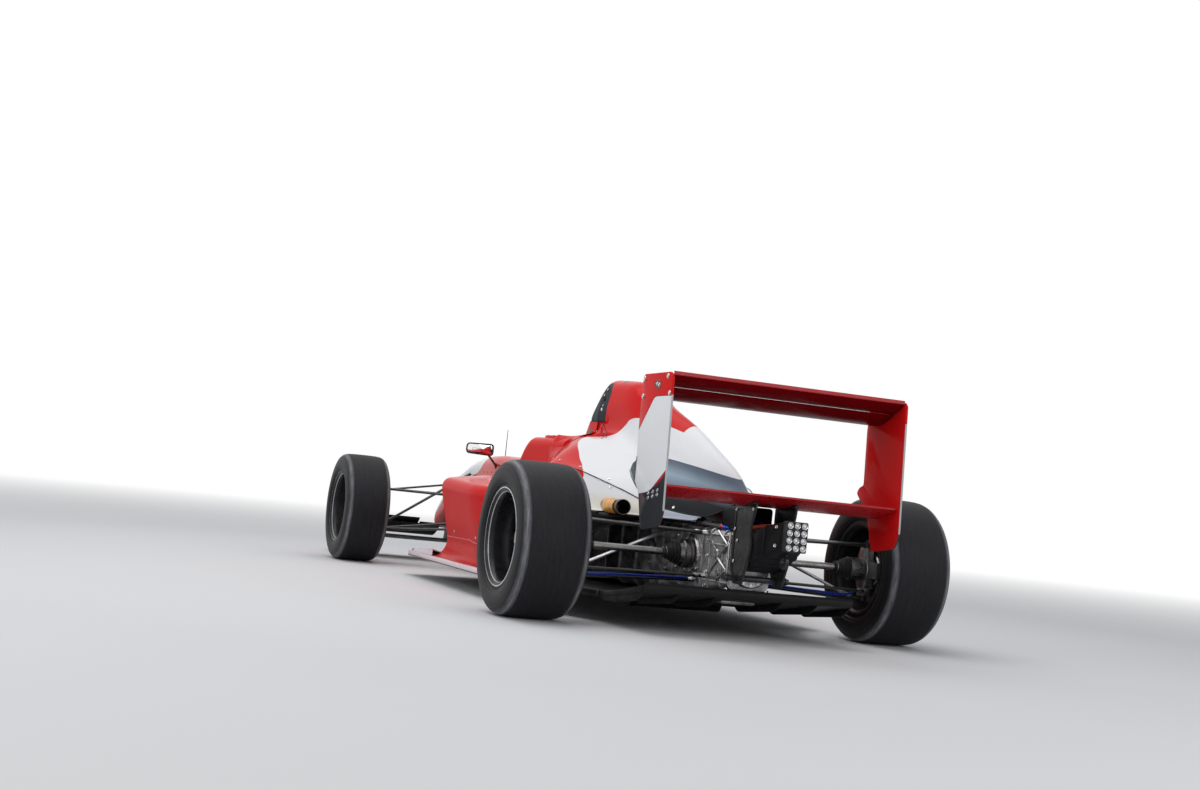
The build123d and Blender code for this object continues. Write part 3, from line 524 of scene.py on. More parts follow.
def link(name, start, end, chord, thickness, neck=0.006, taper=0.05, ball=0.0):
    """A streamlined suspension link: flat in the air stream, necked down to a round end each side."""
    start, end = Vector(start), Vector(end)
    along = end - start
    length = along.length
    direction = along / length
    reach = min(taper / length, 0.35)
    stations = [
        (0.0, neck, neck), (reach * 0.35, neck, neck), (reach * 0.5, neck * 1.25, neck * 1.15),
        (reach, chord / 2, thickness / 2), (0.5, chord / 2, thickness / 2),
        (1 - reach, chord / 2, thickness / 2), (1 - reach * 0.5, neck * 1.25, neck * 1.15),
        (1 - reach * 0.35, neck, neck), (1.0, neck, neck),
    ]
    rows = [
        loop_round(start + along * share, direction, wide, high, 20) for share, wide, high in stations
    ]
    pieces = [solid(name, rows)]
    if ball:
        for number, place in enumerate((start, end)):
            toward = direction if number == 0 else -direction
            profile = [
                (-ball, 0), (-ball, ball * 0.62), (-ball * 0.3, ball), (ball * 0.3, ball),
                (ball, ball * 0.7),
                (ball * 1.6, neck * 1.35), (ball * 2.6, neck * 1.35), (ball * 2.6, 0),
            ]
            pieces.append(turned(f"{name}_end{number}", profile, place, toward, 20))
    return join(name, pieces)


def fastener_set(name, places, radius, height, sides=6):
    """Small screws: a washer and a dished head at each (point, normal)."""
    copies = []
    for point, normal in places:
        point, normal = Vector(point), Vector(normal).normalized()
        turn = normal.to_track_quat("Z", "Y").to_euler()
        clear()
        bpy.ops.mesh.primitive_cylinder_add(
            vertices=12, radius=radius * 1.45, depth=height * 0.5, location=point + normal * height * 0.2,
            rotation=turn,
        )
        copies.append(named(f"{name}_washer"))
        bpy.ops.mesh.primitive_cylinder_add(
            vertices=sides, radius=radius, depth=height, location=point + normal * height * 0.75,
            rotation=turn,
        )
        head = named(f"{name}_head")
        with editing(head):
            pick_faces(head, lambda face: face.normal.z > 0.9)
            bpy.ops.mesh.inset(thickness=radius * 0.28)
            bpy.ops.transform.translate(value=tuple(-normal * height * 0.35))
        copies.append(head)
    return join(name, copies)


def surface(piece):
    """A search tree of a piece's faces, for laying trim on it."""
    mesh = piece.data
    return BVHTree.FromPolygons([v.co for v in mesh.vertices], [p.vertices for p in mesh.polygons])


def laid_on(tree, points, lift=0.0):
    """Points moved onto a surface, each lifted along the surface's normal."""
    laid = []
    for point in points:
        place, normal, _, _ = tree.find_nearest(Vector(point))
        laid.append((place + normal * lift, normal))
    return laid


def seam_on(name, tree, points, lift, radius, samples):
    """A thin round line laid on a surface."""
    return tube(name, [place for place, _ in laid_on(tree, points, lift)], radius, 6, samples)


# Materials


class Finish:
    """A procedural material on object coordinates, built node by node."""

    def __init__(self, name, colour=(0.5, 0.5, 0.5), roughness=0.5, metallic=0.0, **sockets):
        self.material = bpy.data.materials.new(name)
        self.material.use_nodes = True
        self.tree = self.material.node_tree
        self.shader = self.tree.nodes["Principled BSDF"]
        self.set("Base Color", (*colour, 1))
        self.set("Roughness", roughness)
        self.set("Metallic", metallic)
        for key, value in sockets.items():
            self.set(key.replace("_", " "), value)
        self.where = self.tree.nodes.new("ShaderNodeTexCoord").outputs["Object"]
        parts = self.tree.nodes.new("ShaderNodeSeparateXYZ")
        self.tree.links.new(self.where, parts.inputs[0])
        self.x, self.y, self.z = parts.outputs
        self.material.diffuse_color = (*colour, 1)

    def set(self, socket, value):
        """Set a shader socket to a constant, or link a node's output to it."""
        if isinstance(value, bpy.types.NodeSocket):
            self.tree.links.new(value, self.shader.inputs[socket])
        else:
            self.shader.inputs[socket].default_value = value

    def plug(self, node, socket, value):
        target = node.inputs[socket]
        if isinstance(value, bpy.types.NodeSocket):
            self.tree.links.new(value, target)
        elif value is not None:
            target.default_value = value

    def maths(self, operation, a, b=None, c=None, clamp=False):
        node = self.tree.nodes.new("ShaderNodeMath")
        node.operation = operation
        node.use_clamp = clamp
        for socket, value in enumerate((a, b, c)):
            self.plug(node, socket, value)
        return node.outputs[0]

    def add(self, a, b):
        return self.maths("ADD", a, b)

    def minus(self, a, b):
        return self.maths("SUBTRACT", a, b)

    def times(self, a, b):
        return self.maths("MULTIPLY", a, b)

    def size_of(self, a):
        return self.maths("ABSOLUTE", a)

    def facing_in(self):
        """1 on faces that look towards the middle plane and 0 on those that look away."""
        parts = self.tree.nodes.new("ShaderNodeSeparateXYZ")
        normal = self.tree.nodes.new("ShaderNodeTexCoord").outputs["Normal"]
        self.tree.links.new(normal, parts.inputs[0])
        outwards = self.times(parts.outputs[1], self.maths("SIGN", self.y))
        return self.above(-0.15, outwards, 0.02)

    def above(self, value, edge=0.0, soft=0.0008):
        """1 where value is over edge, which may be a value too, and 0 where it is under, with a soft step."""
        return self.maths("MULTIPLY_ADD", self.minus(value, edge), 1 / soft, 0.5, clamp=True)

    def wave(self, value, pitch):
        """A sine wave along a value."""
        return self.maths("SINE", self.times(value, pitch))

    def within(self, value, low, high, soft=0.0008):
        return self.times(self.above(value, low, soft), self.minus(1.0, self.above(value, high, soft)))

    def both_of(self, *values):
        result = values[0]
        for value in values[1:]:
            result = self.times(result, value)
        return result

    def opposite(self, value):
        return self.minus(1.0, value)

    def curve(self, value, points):
        """A value read off a curve through (input, output) points."""
        lows, highs = [
            min(p[k] for p in points) for k in (0, 1)
        ], [max(p[k] for p in points) for k in (0, 1)]
        span, rise = highs[0] - lows[0], max(highs[1] - lows[1], 1e-6)
        share = self.maths("DIVIDE", self.minus(value, lows[0]), span, clamp=True)
        node = self.tree.nodes.new("ShaderNodeFloatCurve")
        line = node.mapping.curves[0]
        ordered = sorted(points)
        while len(line.points) < len(ordered):
            line.points.new(0.5, 0.5)
        for spot, (a, b) in zip(line.points, ordered):
            spot.location = ((a - lows[0]) / span, (b - lows[1]) / rise)
            spot.handle_type = "AUTO_CLAMPED"
        node.mapping.update()
        self.plug(node, "Value", share)
        return self.maths("MULTIPLY_ADD", node.outputs[0], rise, lows[1])

    def from_axle(self, centre):
        """Distance from an axle across the car, and distance along it from the wheel's middle."""
        dx, dz = self.minus(self.x, centre.x), self.minus(self.z, centre.z)
        radius = self.maths("SQRT", self.add(self.times(dx, dx), self.times(dz, dz)))
        return radius, self.minus(self.size_of(self.y), abs(centre.y)), dx, dz

    def stretched(self, scale):
        node = self.tree.nodes.new("ShaderNodeMapping")
        self.plug(node, "Vector", self.where)
        node.inputs["Scale"].default_value = scale
        return node.outputs[0]

    def noise(self, scale=10.0, detail=4.0, rough=0.6, stretch=None, place=None):
        node = self.tree.nodes.new("ShaderNodeTexNoise")
        self.plug(node, "Vector", place or (self.stretched(stretch) if stretch else self.where))
        node.inputs["Scale"].default_value = scale
        node.inputs["Detail"].default_value = detail
        node.inputs["Roughness"].default_value = rough
        return node.outputs["Fac"]

    def cells(self, scale=50.0, feature="F1", stretch=None):
        node = self.tree.nodes.new("ShaderNodeTexVoronoi")
        node.feature = feature
        self.plug(node, "Vector", self.stretched(stretch) if stretch else self.where)
        node.inputs["Scale"].default_value = scale
        return node.outputs["Distance"]

    def place_of(self, x, y, z):
        node = self.tree.nodes.new("ShaderNodeCombineXYZ")
        for socket, value in enumerate((x, y, z)):
            self.plug(node, socket, value)
        return node.outputs[0]

    def mix(self, share, a, b):
        node = self.tree.nodes.new("ShaderNodeMix")
        node.data_type = "RGBA"
        self.plug(node, 0, share)
        self.plug(node, 6, (*a, 1) if isinstance(a, tuple) else a)
        self.plug(node, 7, (*b, 1) if isinstance(b, tuple) else b)
        return node.outputs[2]

    def spread_over(self, value, low, high, a=0.0, b=1.0):
        node = self.tree.nodes.new("ShaderNodeMapRange")
        for socket, entry in zip(
            ("Value", "From Min", "From Max", "To Min", "To Max"), (value, low, high, a, b)
        ):
            self.plug(node, socket, entry)
        return node.outputs[0]

    def ramp(self, value, stops):
        node = self.tree.nodes.new("ShaderNodeValToRGB")
        ramp = node.color_ramp
        while len(ramp.elements) < len(stops):
            ramp.elements.new(0.5)
        for element, (place, colour) in zip(ramp.elements, stops):
            element.position = place
            element.color = (*colour, 1)
        self.plug(node, "Fac", value)
        return node.outputs["Color"]

    def bump(self, height, distance=0.001, strength=1.0, over=None):
        node = self.tree.nodes.new("ShaderNodeBump")
        node.inputs["Strength"].default_value = strength
        node.inputs["Distance"].default_value = distance
        self.plug(node, "Height", height)
        if over is not None:
            self.plug(node, "Normal", over)
        self.set("Normal", node.outputs[0])
        return node.outputs[0]


def paint_surface(finish, roughness=0.16):
    """Clear-coated paint: fine ripple, polishing haze and road dust low on the car."""
    haze = finish.noise(6.0, 5, 0.7)
    dust = finish.spread_over(finish.z, 0.3, 0.1)
    speck = finish.noise(240.0, 2, 0.5)
    rough = finish.add(
        finish.spread_over(haze, 0.3, 0.75, roughness - 0.03, roughness + 0.06), finish.times(dust, 0.18)
    )
    finish.set("Roughness", rough)
    finish.bump(finish.noise(55.0, 3, 0.5), 0.0006, 0.06)
    return dust, speck


# Where the cover meets the sidepods: station, y, z
SPLIT = [
    (1.15, 0.3, 0.58), (0.9, 0.38, 0.578), (0.578, 0.375, 0.56), (0.306, 0.29, 0.5),
    (0.123, 0.215, 0.45), (-0.071, 0.11, 0.43), (-0.221, 0.014, 0.505),
]

# Tub: station, bottom, top, half width, corner
TUB = [
    (1.15, 0.1175, 0.7, 0.25, 0.05), (1.545, 0.1175, 0.7, 0.275, 0.05), (1.685, 0.1175, 0.585, 0.285, 0.05),
    (2.12, 0.1175, 0.605, 0.245, 0.06), (2.49, 0.125, 0.6, 0.2, 0.065), (2.75, 0.178, 0.575, 0.17, 0.06),
    (3.08, 0.3, 0.5, 0.15, 0.055),
]

# Livery lines, (station, z) or (z, station), in metres ahead of the rear axle
FRONT_EDGE = [
    (0.1, 0.5), (0.45, 0.505), (0.52, 0.512), (0.545, 0.525), (0.574, 0.61), (0.607, 0.725),
    (0.643, 0.829), (0.67, 0.923), (0.688, 0.995), (0.701, 1.03), (0.712, 1.054), (0.73, 1.062),
]
CROWN_EDGE = [
    (0.2, 0.725), (0.332, 0.752), (0.466, 0.776), (0.56, 0.789), (0.649, 0.801), (0.72, 0.802),
    (0.765, 0.797), (0.814, 0.774), (0.86, 0.748), (0.885, 0.729), (0.92, 0.717), (1.06, 0.712),
]
SWOOSH_EDGE = [
    (-0.32, 0.546), (-0.202, 0.571), (-0.017, 0.6), (0.178, 0.626), (0.32, 0.64), (0.371, 0.641),
    (0.42, 0.625), (0.46, 0.59), (0.5, 0.53), (0.56, 0.42),
]
SWOOSH_FRONT = [
    (0.4, 0.08), (0.44, 0.13), (0.48, 0.2), (0.511, 0.257), (0.538, 0.31), (0.561, 0.361),
    (0.591, 0.423), (0.606, 0.435), (0.64, 0.44),
]
INSERT_EDGE = [
    (0.78, 1.062), (0.845, 1.068), (0.875, 1.066), (0.905, 1.066), (0.935, 1.085), (0.963, 1.105),
]
NOSE_EDGE = [(2.1, 0.66), (2.38, 0.62), (2.46, 0.55), (2.56, 0.515), (2.9, 0.47), (3.2, 0.4), (3.65, 0.22)]


def body_paint(name, colours):
    """The bodywork's livery: red, white behind a slanting edge, a grey swoosh and a dark insert, with a
    painted shadow under the beam wing and painted shade in the hollows.
    """
    finish = Finish(name, colours.body_red, Coat_Weight=0.06, Coat_Roughness=0.05, Specular_IOR_Level=0.02)
    station = finish.minus(finish.x, REAR_AXLE.x)
    width = finish.size_of(finish.y)
    behind = finish.above(finish.curve(finish.z, FRONT_EDGE), station, 0.0012)
    over = finish.above(finish.z, finish.curve(station, CROWN_EDGE), 0.0012)
    crown = finish.times(over, finish.above(station, 0.315, 0.0012))
    white = finish.times(behind, finish.opposite(crown))
    depth = finish.minus(finish.curve(station, SWOOSH_EDGE), finish.z)
    swoosh = finish.times(finish.above(depth, 0.0, 0.0012), white)
    swoosh = finish.times(swoosh, finish.above(finish.curve(finish.z, SWOOSH_FRONT), station, 0.002))
    lower = finish.above(0.47, finish.z, 0.03)
    # Grey swoosh graded by depth below its edge; its near-black bottom is the beam wing's painted shadow and
    # a painted dark reflection.
    swoosh_grey_and_painted_shadow = finish.ramp(
        finish.spread_over(depth, 0.0, 0.15),
        [(0.0, (0.1, 0.13, 0.17)), (0.12, (0.13, 0.17, 0.215)), (0.33, (0.28, 0.36, 0.44)),
         (0.58, (0.16, 0.21, 0.26)), (0.75, (0.035, 0.038, 0.042)), (1.0, (0.03, 0.032, 0.036))],
    )
    split_z = finish.curve(station, [(s, z) for s, _, z in SPLIT])
    tail = finish.times(finish.above(split_z, finish.z, 0.001), finish.above(0.25, station, 0.002))
    swoosh_grey_and_painted_shadow = finish.mix(tail, swoosh_grey_and_painted_shadow, (0.42, 0.47, 0.54))
    red = finish.mix(
        finish.times(finish.noise(3.0, 3, 0.5), 0.35), tuple(colours.body_red), tuple(colours.deep_red)
    )
    cream = finish.mix(lower, tuple(colours.body_white), tuple(colours.warm_white))
    colour = finish.mix(white, red, cream)
    colour = finish.mix(swoosh, colour, swoosh_grey_and_painted_shadow)
    insert = finish.both_of(
        finish.above(station, finish.curve(finish.z, INSERT_EDGE), 0.0012),
        finish.above(finish.z, 0.783, 0.001), finish.above(width, 0.052, 0.001),
        finish.above(0.9755, finish.z, 0.001),
    )
    colour = finish.mix(insert, colour, tuple(colours.insert_grey))
    nose = finish.above(finish.z, finish.curve(station, NOSE_EDGE), 0.0012)
    nose = finish.times(nose, finish.above(station, 2.3, 0.001))
    colour = finish.mix(nose, colour, tuple(colours.body_white))
    # Near-black painted shade inside the tub, in the airbox's throat, low on the pod's rear and on faces that
    # look towards the middle.
    wall = finish.minus(finish.curve(station, [(s, half) for s, _, _, half, _ in TUB]), 0.015)
    ceiling = finish.minus(finish.curve(station, [(s, top) for s, _, top, _, _ in TUB]), 0.032)
    hollow = finish.both_of(
        finish.within(station, 1.185, 3.055, 0.002), finish.above(wall, width, 0.002),
        finish.above(ceiling, finish.z, 0.002),
    )
    throat = finish.curve(
        finish.z, [(0.772, 0.088), (0.782, 0.097), (0.862, 0.093), (0.955, 0.06), (0.981, 0.0)]
    )
    throat = finish.both_of(
        finish.above(finish.minus(throat, width), 0.0095, 0.001), finish.above(station, 1.0, 0.001),
        finish.above(finish.z, 0.775, 0.001),
    )
    below = finish.both_of(
        finish.above(0.4, station, 0.002), finish.above(0.408, finish.z, 0.001),
    )
    inside = finish.both_of(
        finish.facing_in(), finish.above(width, 0.1, 0.002), finish.above(1.56, station, 0.002),
        finish.above(0.6, finish.z, 0.002),
    )
    painted_shade_inside = finish.maths(
        "MAXIMUM", finish.maths("MAXIMUM", hollow, throat), finish.maths("MAXIMUM", below, inside)
    )
    colour = finish.mix(painted_shade_inside, colour, (0.012, 0.012, 0.013))
    dust, speck = paint_surface(finish)
    colour = finish.mix(
        finish.times(dust, finish.spread_over(speck, 0.45, 0.7, 0.1, 0.5)), colour, (0.1, 0.085, 0.075)
    )
    finish.set("Base Color", colour)
    return finish.material


def wing_paint(name, colours):
    """The rear wing's gloss red, darkened by painted shade under the blades, with dust streaks drawn back
    along the blades.
    """
    finish = Finish(name, colours.shade_darkened_wing_red, Coat_Weight=0.05, Coat_Roughness=0.06, Specular_IOR_Level=0.02)
    streak = finish.noise(9.0, 4, 0.6, stretch=(2, 10, 2))
    colour = finish.mix(
        finish.spread_over(streak, 0.35, 0.75, 0.0, 0.5), tuple(colours.shade_darkened_wing_red), (0.13, 0.002, 0.004)
    )
    paint_surface(finish, 0.18)
    finish.set("Base Color", colour)
    return finish.material


PLATE_FIELD = [
    (-0.371, 0.832), (-0.6, 0.834), (-0.6, 0.628), (-0.401, 0.505), (-0.27, 0.49), (-0.2, 0.58),
    (-0.2, 0.66),
]


def endplate_paint(name, colours):
    """The rear endplates: bright red, and outside a blank white field over dark grey, with a painted
    reflection of the sky on the rear edge.
    """
    finish = Finish(name, colours.body_red, Coat_Weight=0.06, Coat_Roughness=0.05, Specular_IOR_Level=0.02)
    station = finish.minus(finish.x, REAR_AXLE.x)
    outside = finish.above(finish.size_of(finish.y), 0.4611, 0.0004)
    centre = Vector((sum(p[0] for p in PLATE_FIELD) / 7, sum(p[1] for p in PLATE_FIELD) / 7))
    far = None
    for a, b in zip(PLATE_FIELD, PLATE_FIELD[1:] + PLATE_FIELD[:1]):
        a, b = Vector(a), Vector(b)
        normal = Vector((b.y - a.y, a.x - b.x)).normalized()
        if normal.dot(centre - a) > 0:
            normal.negate()
        reach = finish.add(finish.times(station, normal.x), finish.times(finish.z, normal.y))
        reach = finish.minus(reach, normal.dot(a))
        far = reach if far is None else finish.maths("SMOOTH_MAX", far, reach, 0.022)
    field = finish.opposite(finish.above(far, 0.0035, 0.001))
    line = finish.opposite(finish.above(far, 0.0065, 0.001))
    foot_line = finish.curve(station, [(-0.6, 0.632), (-0.401, 0.508), (-0.2, 0.496)])
    low = finish.above(foot_line, finish.z, 0.001)
    tab = finish.both_of(finish.above(station, -0.262, 0.0015), finish.above(0.622, finish.z, 0.001))
    colour = finish.mix(low, tuple(colours.body_red), (0.04, 0.042, 0.048))
    colour = finish.mix(line, colour, (0.1, 0.03, 0.035))
    colour = finish.mix(field, colour, tuple(colours.body_white))
    colour = finish.mix(tab, colour, (0.04, 0.042, 0.048))
    colour = finish.mix(outside, tuple(colours.body_red), colour)
    # Pale grey on the rear edge below the top: a painted reflection of the sky.
    rear_line = finish.add(-0.5603, finish.times(finish.z, 0.05485))
    rear_edge_painted_reflection = finish.both_of(
        finish.above(rear_line, station, 0.0006), finish.above(0.84, finish.z, 0.001),
    )
    colour = finish.mix(rear_edge_painted_reflection, colour, (0.5, 0.5, 0.52))
    paint_surface(finish)
    finish.set("Base Color", colour)
    return finish.material


def carbon(name, colour=(0.007, 0.007, 0.008), roughness=0.42, gloss=0.25):
    """Carbon cloth under a thin satin lacquer: a 2 by 2 twill a few millimetres wide."""
    finish = Finish(
        name, colour, roughness, Coat_Weight=gloss * 0.1, Coat_Roughness=0.25, Specular_IOR_Level=0.1
    )
    rows = finish.wave(finish.add(finish.add(finish.x, finish.y), finish.z), 900.0)
    columns = finish.wave(finish.minus(finish.x, finish.add(finish.y, finish.z)), 900.0)
    weave = finish.times(rows, columns)
    dark = tuple(channel * 0.55 for channel in colour)
    light = tuple(channel * 1.7 + 0.004 for channel in colour)
    colour = finish.mix(finish.spread_over(weave, -1.0, 1.0), dark, light)
    dust = finish.times(finish.spread_over(finish.z, 0.32, 0.08), finish.noise(14.0, 5, 0.7))
    finish.set("Base Color", finish.mix(finish.times(dust, 0.25), colour, (0.06, 0.055, 0.05)))
    finish.set(
        "Roughness", finish.spread_over(finish.noise(20.0, 4), 0.3, 0.7, roughness - 0.08, roughness + 0.12)
    )
    finish.bump(weave, 0.00015, 0.5)
    return finish.material


def enamel(name, colour, roughness=0.35, wear=0.25):
    """Sprayed enamel on metal, with a faint orange peel and rubbed edges and dust."""
    finish = Finish(name, colour, roughness, Coat_Weight=0.1, Coat_Roughness=0.2, Specular_IOR_Level=0.3)
    patch = finish.noise(18.0, 5, 0.65)
    pale = tuple(min(1.0, channel + 0.05) for channel in colour)
    finish.set("Base Color", finish.mix(finish.spread_over(patch, 0.45, 0.8, 0.0, wear), colour, pale))
    finish.set(
        "Roughness", finish.spread_over(finish.noise(60.0, 3), 0.3, 0.7, roughness - 0.08, roughness + 0.15)
    )
    finish.bump(finish.noise(420.0, 2), 0.0003, 0.12)
    return finish.material


def cast_metal(name="cast casing", colour=(0.52, 0.52, 0.53), roughness=0.38):
    """Sand-cast alloy, grainy, with oil film and darker hollows."""
    finish = Finish(name, colour, roughness, 0.85)
    grain = finish.noise(380.0, 4, 0.7)
    patch = finish.noise(16.0, 5, 0.7)
    dark = tuple(channel * 0.28 for channel in colour)
    finish.set("Base Color", finish.mix(finish.spread_over(patch, 0.32, 0.6), dark, colour))
    finish.set("Roughness", finish.spread_over(patch, 0.3, 0.75, 0.28, roughness + 0.15))
    finish.bump(grain, 0.0008, 0.35)
    return finish.material


def machined(name="machined steel", colour=(0.56, 0.55, 0.53), roughness=0.24, centre=None):
    """Lathe-cut steel, with rings about an axle where one is given, else a brushed grain."""
    finish = Finish(name, colour, roughness, 1.0)
    if centre is not None:
        radius, along, _, _ = finish.from_axle(centre)
        groove = finish.wave(finish.add(radius, along), 5200.0)
    else:
        groove = finish.noise(60.0, 3, 0.6, stretch=(1, 14, 14))
    stain = finish.noise(25.0, 4, 0.65)
    dark = tuple(channel * 0.45 for channel in colour)
    finish.set("Base Color", finish.mix(finish.spread_over(stain, 0.45, 0.8, 0.0, 0.8), colour, dark))
    finish.set("Roughness", finish.spread_over(stain, 0.3, 0.75, roughness - 0.06, roughness + 0.22))
    finish.bump(groove, 0.0002, 0.3)
    return finish.material


def rubber(name="moulded rubber", colour=(0.022, 0.022, 0.023), roughness=0.62):
    """Matte moulded rubber with dust in its pores."""
    finish = Finish(name, colour, roughness, Specular_IOR_Level=0.25)
    grey = tuple(channel + 0.045 for channel in colour)
    finish.set(
        "Base Color",
        finish.mix(finish.spread_over(finish.noise(35.0, 5, 0.7), 0.5, 0.85, 0.0, 0.7), colour, grey)
    )
    finish.bump(finish.noise(700.0, 2), 0.0003, 0.3)
    return finish.material


def bolt_metal(name="zinc plated screws", colour=(0.7, 0.7, 0.7), roughness=0.22):
    finish = Finish(name, colour, roughness, 1.0)
    stain = finish.noise(150.0, 3)
    finish.set(
        "Base Color", finish.mix(finish.spread_over(stain, 0.4, 0.8, 0.0, 0.6), colour, (0.3, 0.29, 0.27))
    )
    finish.set("Roughness", finish.spread_over(stain, 0.3, 0.7, 0.14, 0.38))
    return finish.material


STOCK = {}


def stock(make, name, *values):
    """A material that several operators share, made once."""
    if name not in STOCK:
        STOCK[name] = make(name, *values)
    return STOCK[name]


def black_enamel():
    return stock(enamel, "satin black enamel", (0.022, 0.022, 0.024), 0.32)


def satin_carbon():
    return stock(carbon, "satin carbon")


def screw_metal():
    return stock(bolt_metal, "zinc plated screws")


def casting():
    return stock(cast_metal, "cast casing")


def bright_steel():
    return stock(machined, "machined steel")


def black_rubber():
    return stock(rubber, "moulded rubber")


# What a user may change


def colour_of(name, description, default):
    return FloatVectorProperty(
        name=name, description=description, default=default, size=3, min=0.0, max=1.0, subtype="COLOR"
    )


class CarColours(bpy.types.PropertyGroup):
    """Colours of the car's paint."""

    body_red: colour_of("Body red", "Main colour of the bodywork", (0.66, 0.01, 0.01))
    deep_red: colour_of("Deep red", "Where the red is thicker", (0.52, 0.004, 0.006))
    # Much darker than the body's red: painted shade of the blades' undersides.
    shade_darkened_wing_red: colour_of("Wing red", "Colour of the rear wing's blades", (0.15, 0.002, 0.004))
    body_white: colour_of("White", "White of the rear bodywork and the plates", (0.8, 0.81, 0.83))
    warm_white: colour_of("Warm white", "White of the lower rear bodywork", (0.78, 0.75, 0.68))
    insert_grey: colour_of("Insert grey", "Dark grey panels", (0.014, 0.024, 0.032))


class StageLook(bpy.types.PropertyGroup):
    """Floor and light of the stage."""

    floor_colour: colour_of("Floor", "Colour of the studio floor", (0.72, 0.72, 0.73))
    key_power: FloatProperty(
        name="Key light", description="Power of the large overhead lamp", default=130.0, min=0.0,
        subtype="POWER"
    )
    fill_power: FloatProperty(
        name="Fill light", description="Power of the side lamps", default=55.0, min=0.0, subtype="POWER"
    )
    sky_level: FloatProperty(
        name="Sky", description="Brightness of the even light all round", default=0.45, min=0.0, max=2.0
    )


class WheelLook(bpy.types.PropertyGroup):
    """Sizes of the wheels that a user may change."""

    spokes: IntProperty(name="Spokes", description="Number of spokes in each rim", default=8, min=3, max=16)
    tyre_steps: IntProperty(
        name="Tyre steps", description="Steps round each tyre", default=128, min=24, max=256
    )


# Stage


class CAR_OT_stage(bpy.types.Operator):
    """Make the floor, the lamps, the sky and the camera"""

    bl_idname = "car.stage"
    bl_label = "Stage"

    def execute(self, context):
        look = context.scene.car_stage
        clear()
        bpy.ops.mesh.primitive_plane_add(size=80, location=(0, 0, 0))
        ground = named("studio_floor")
        with editing(ground):
            bpy.ops.mesh.subdivide(number_cuts=7)
        ground.data.materials.append(self.ground_finish(look))
        self.lamps(look)
        self.sky(context, look)
        self.camera(context)
        context.scene.view_settings.view_transform = "Standard"
        return {"FINISHED"}

    def ground_finish(self, look):
        """A pale matt floor that runs out, far from the car, into the white background."""
        finish = Finish("studio floor", look.floor_colour, 0.8, Specular_IOR_Level=0.1)
        cloudy = finish.spread_over(finish.noise(0.6, 2), 0.3, 0.7, 0.0, 0.25)
        paler = tuple(channel * 0.95 for channel in look.floor_colour)
        finish.set("Base Color", finish.mix(cloudy, tuple(look.floor_colour), paler))
        radius = finish.maths(
            "SQRT", finish.add(finish.times(finish.x, finish.x), finish.times(finish.y, finish.y))
        )
        nodes, links = finish.tree.nodes, finish.tree.links
        white = nodes.new("ShaderNodeEmission")
        rays = nodes.new("ShaderNodeLightPath")
        seen = finish.maths("MAXIMUM", rays.outputs["Is Camera Ray"], rays.outputs["Is Glossy Ray"])
        blend = nodes.new("ShaderNodeMixShader")
        links.new(finish.times(seen, finish.spread_over(radius, 3.5, 12.0)), blend.inputs["Fac"])
        links.new(finish.shader.outputs[0], blend.inputs[1])
        links.new(white.outputs[0], blend.inputs[2])
        links.new(blend.outputs[0], nodes["Material Output"].inputs["Surface"])
        return finish.material

    def lamps(self, look):
        plans = [
            ("overhead_softbox", (0.2, 1.2, 4.6), (0.0, 0.0, 0.4), (6.5, 4.0), look.key_power),
            ("left_softbox", (-3.0, 5.5, 2.6), (-0.6, 0.3, 0.4), (3.5, 2.0), look.fill_power),
            ("rear_softbox", (-6.5, -2.2, 2.4), (-1.2, 0.0, 0.5), (3.0, 2.0), look.fill_power),
        ]
        for name, place, aim, size, power in plans:
            clear()
            bpy.ops.object.light_add(type="AREA", location=place)
            lamp = bpy.context.object
            lamp.name = name
            lamp.rotation_euler = (Vector(aim) - Vector(place)).to_track_quat("-Z", "Y").to_euler()
            lamp.data.shape = "RECTANGLE"
            lamp.data.size, lamp.data.size_y = size
            lamp.data.energy = power

    def sky(self, context, look):
        world = bpy.data.worlds.new("studio sky")
        context.scene.world = world
        world.use_nodes = True
        nodes, links = world.node_tree.nodes, world.node_tree.links
        even = nodes["Background"]
        even.inputs["Color"].default_value = (0.93, 0.96, 1.0, 1)
        even.inputs["Strength"].default_value = look.sky_level
        white = nodes.new("ShaderNodeBackground")
        white.inputs["Color"].default_value = (1, 1, 1, 1)
        white.inputs["Strength"].default_value = 1.0
        rays = nodes.new("ShaderNodeLightPath")
        seen = nodes.new("ShaderNodeMath")
        seen.operation = "MAXIMUM"
        links.new(rays.outputs["Is Camera Ray"], seen.inputs[0])
        links.new(rays.outputs["Is Transmission Ray"], seen.inputs[1])
        clearly = nodes.new("ShaderNodeMath")
        clearly.operation = "MAXIMUM"
        links.new(seen.outputs[0], clearly.inputs[0])
        links.new(rays.outputs["Is Glossy Ray"], clearly.inputs[1])
        blend = nodes.new("ShaderNodeMixShader")
        links.new(clearly.outputs[0], blend.inputs["Fac"])
        links.new(even.outputs[0], blend.inputs[1])
        links.new(white.outputs[0], blend.inputs[2])
        links.new(blend.outputs[0], nodes["World Output"].inputs["Surface"])

    def camera(self, context):
        """Stand behind and to the left of the car, low, with the horizon tilted."""
        yaw, pitch, roll = math.radians(-20.698), math.radians(3.081), math.radians(5.92)
        forward = Vector((math.cos(pitch) * math.cos(yaw), math.cos(pitch) * math.sin(yaw), math.sin(pitch)))
        level = Vector((math.sin(yaw), -math.cos(yaw), 0))
        upward = level.cross(forward)
        right = level * math.cos(roll) + upward * math.sin(roll)
        upward = upward * math.cos(roll) - level * math.sin(roll)
        clear()
        bpy.ops.object.camera_add()
        camera = bpy.context.object
        camera.name = "photo_camera"
        turn = Matrix((right, upward, -forward)).transposed().to_4x4()
        camera.matrix_world = Matrix.Translation((-7.453, 2.786, 0.495)) @ turn
        camera.data.sensor_fit = "HORIZONTAL"
        camera.data.sensor_width = 36.0
        camera.data.lens = 51.7
        context.scene.camera = camera


# Wheels


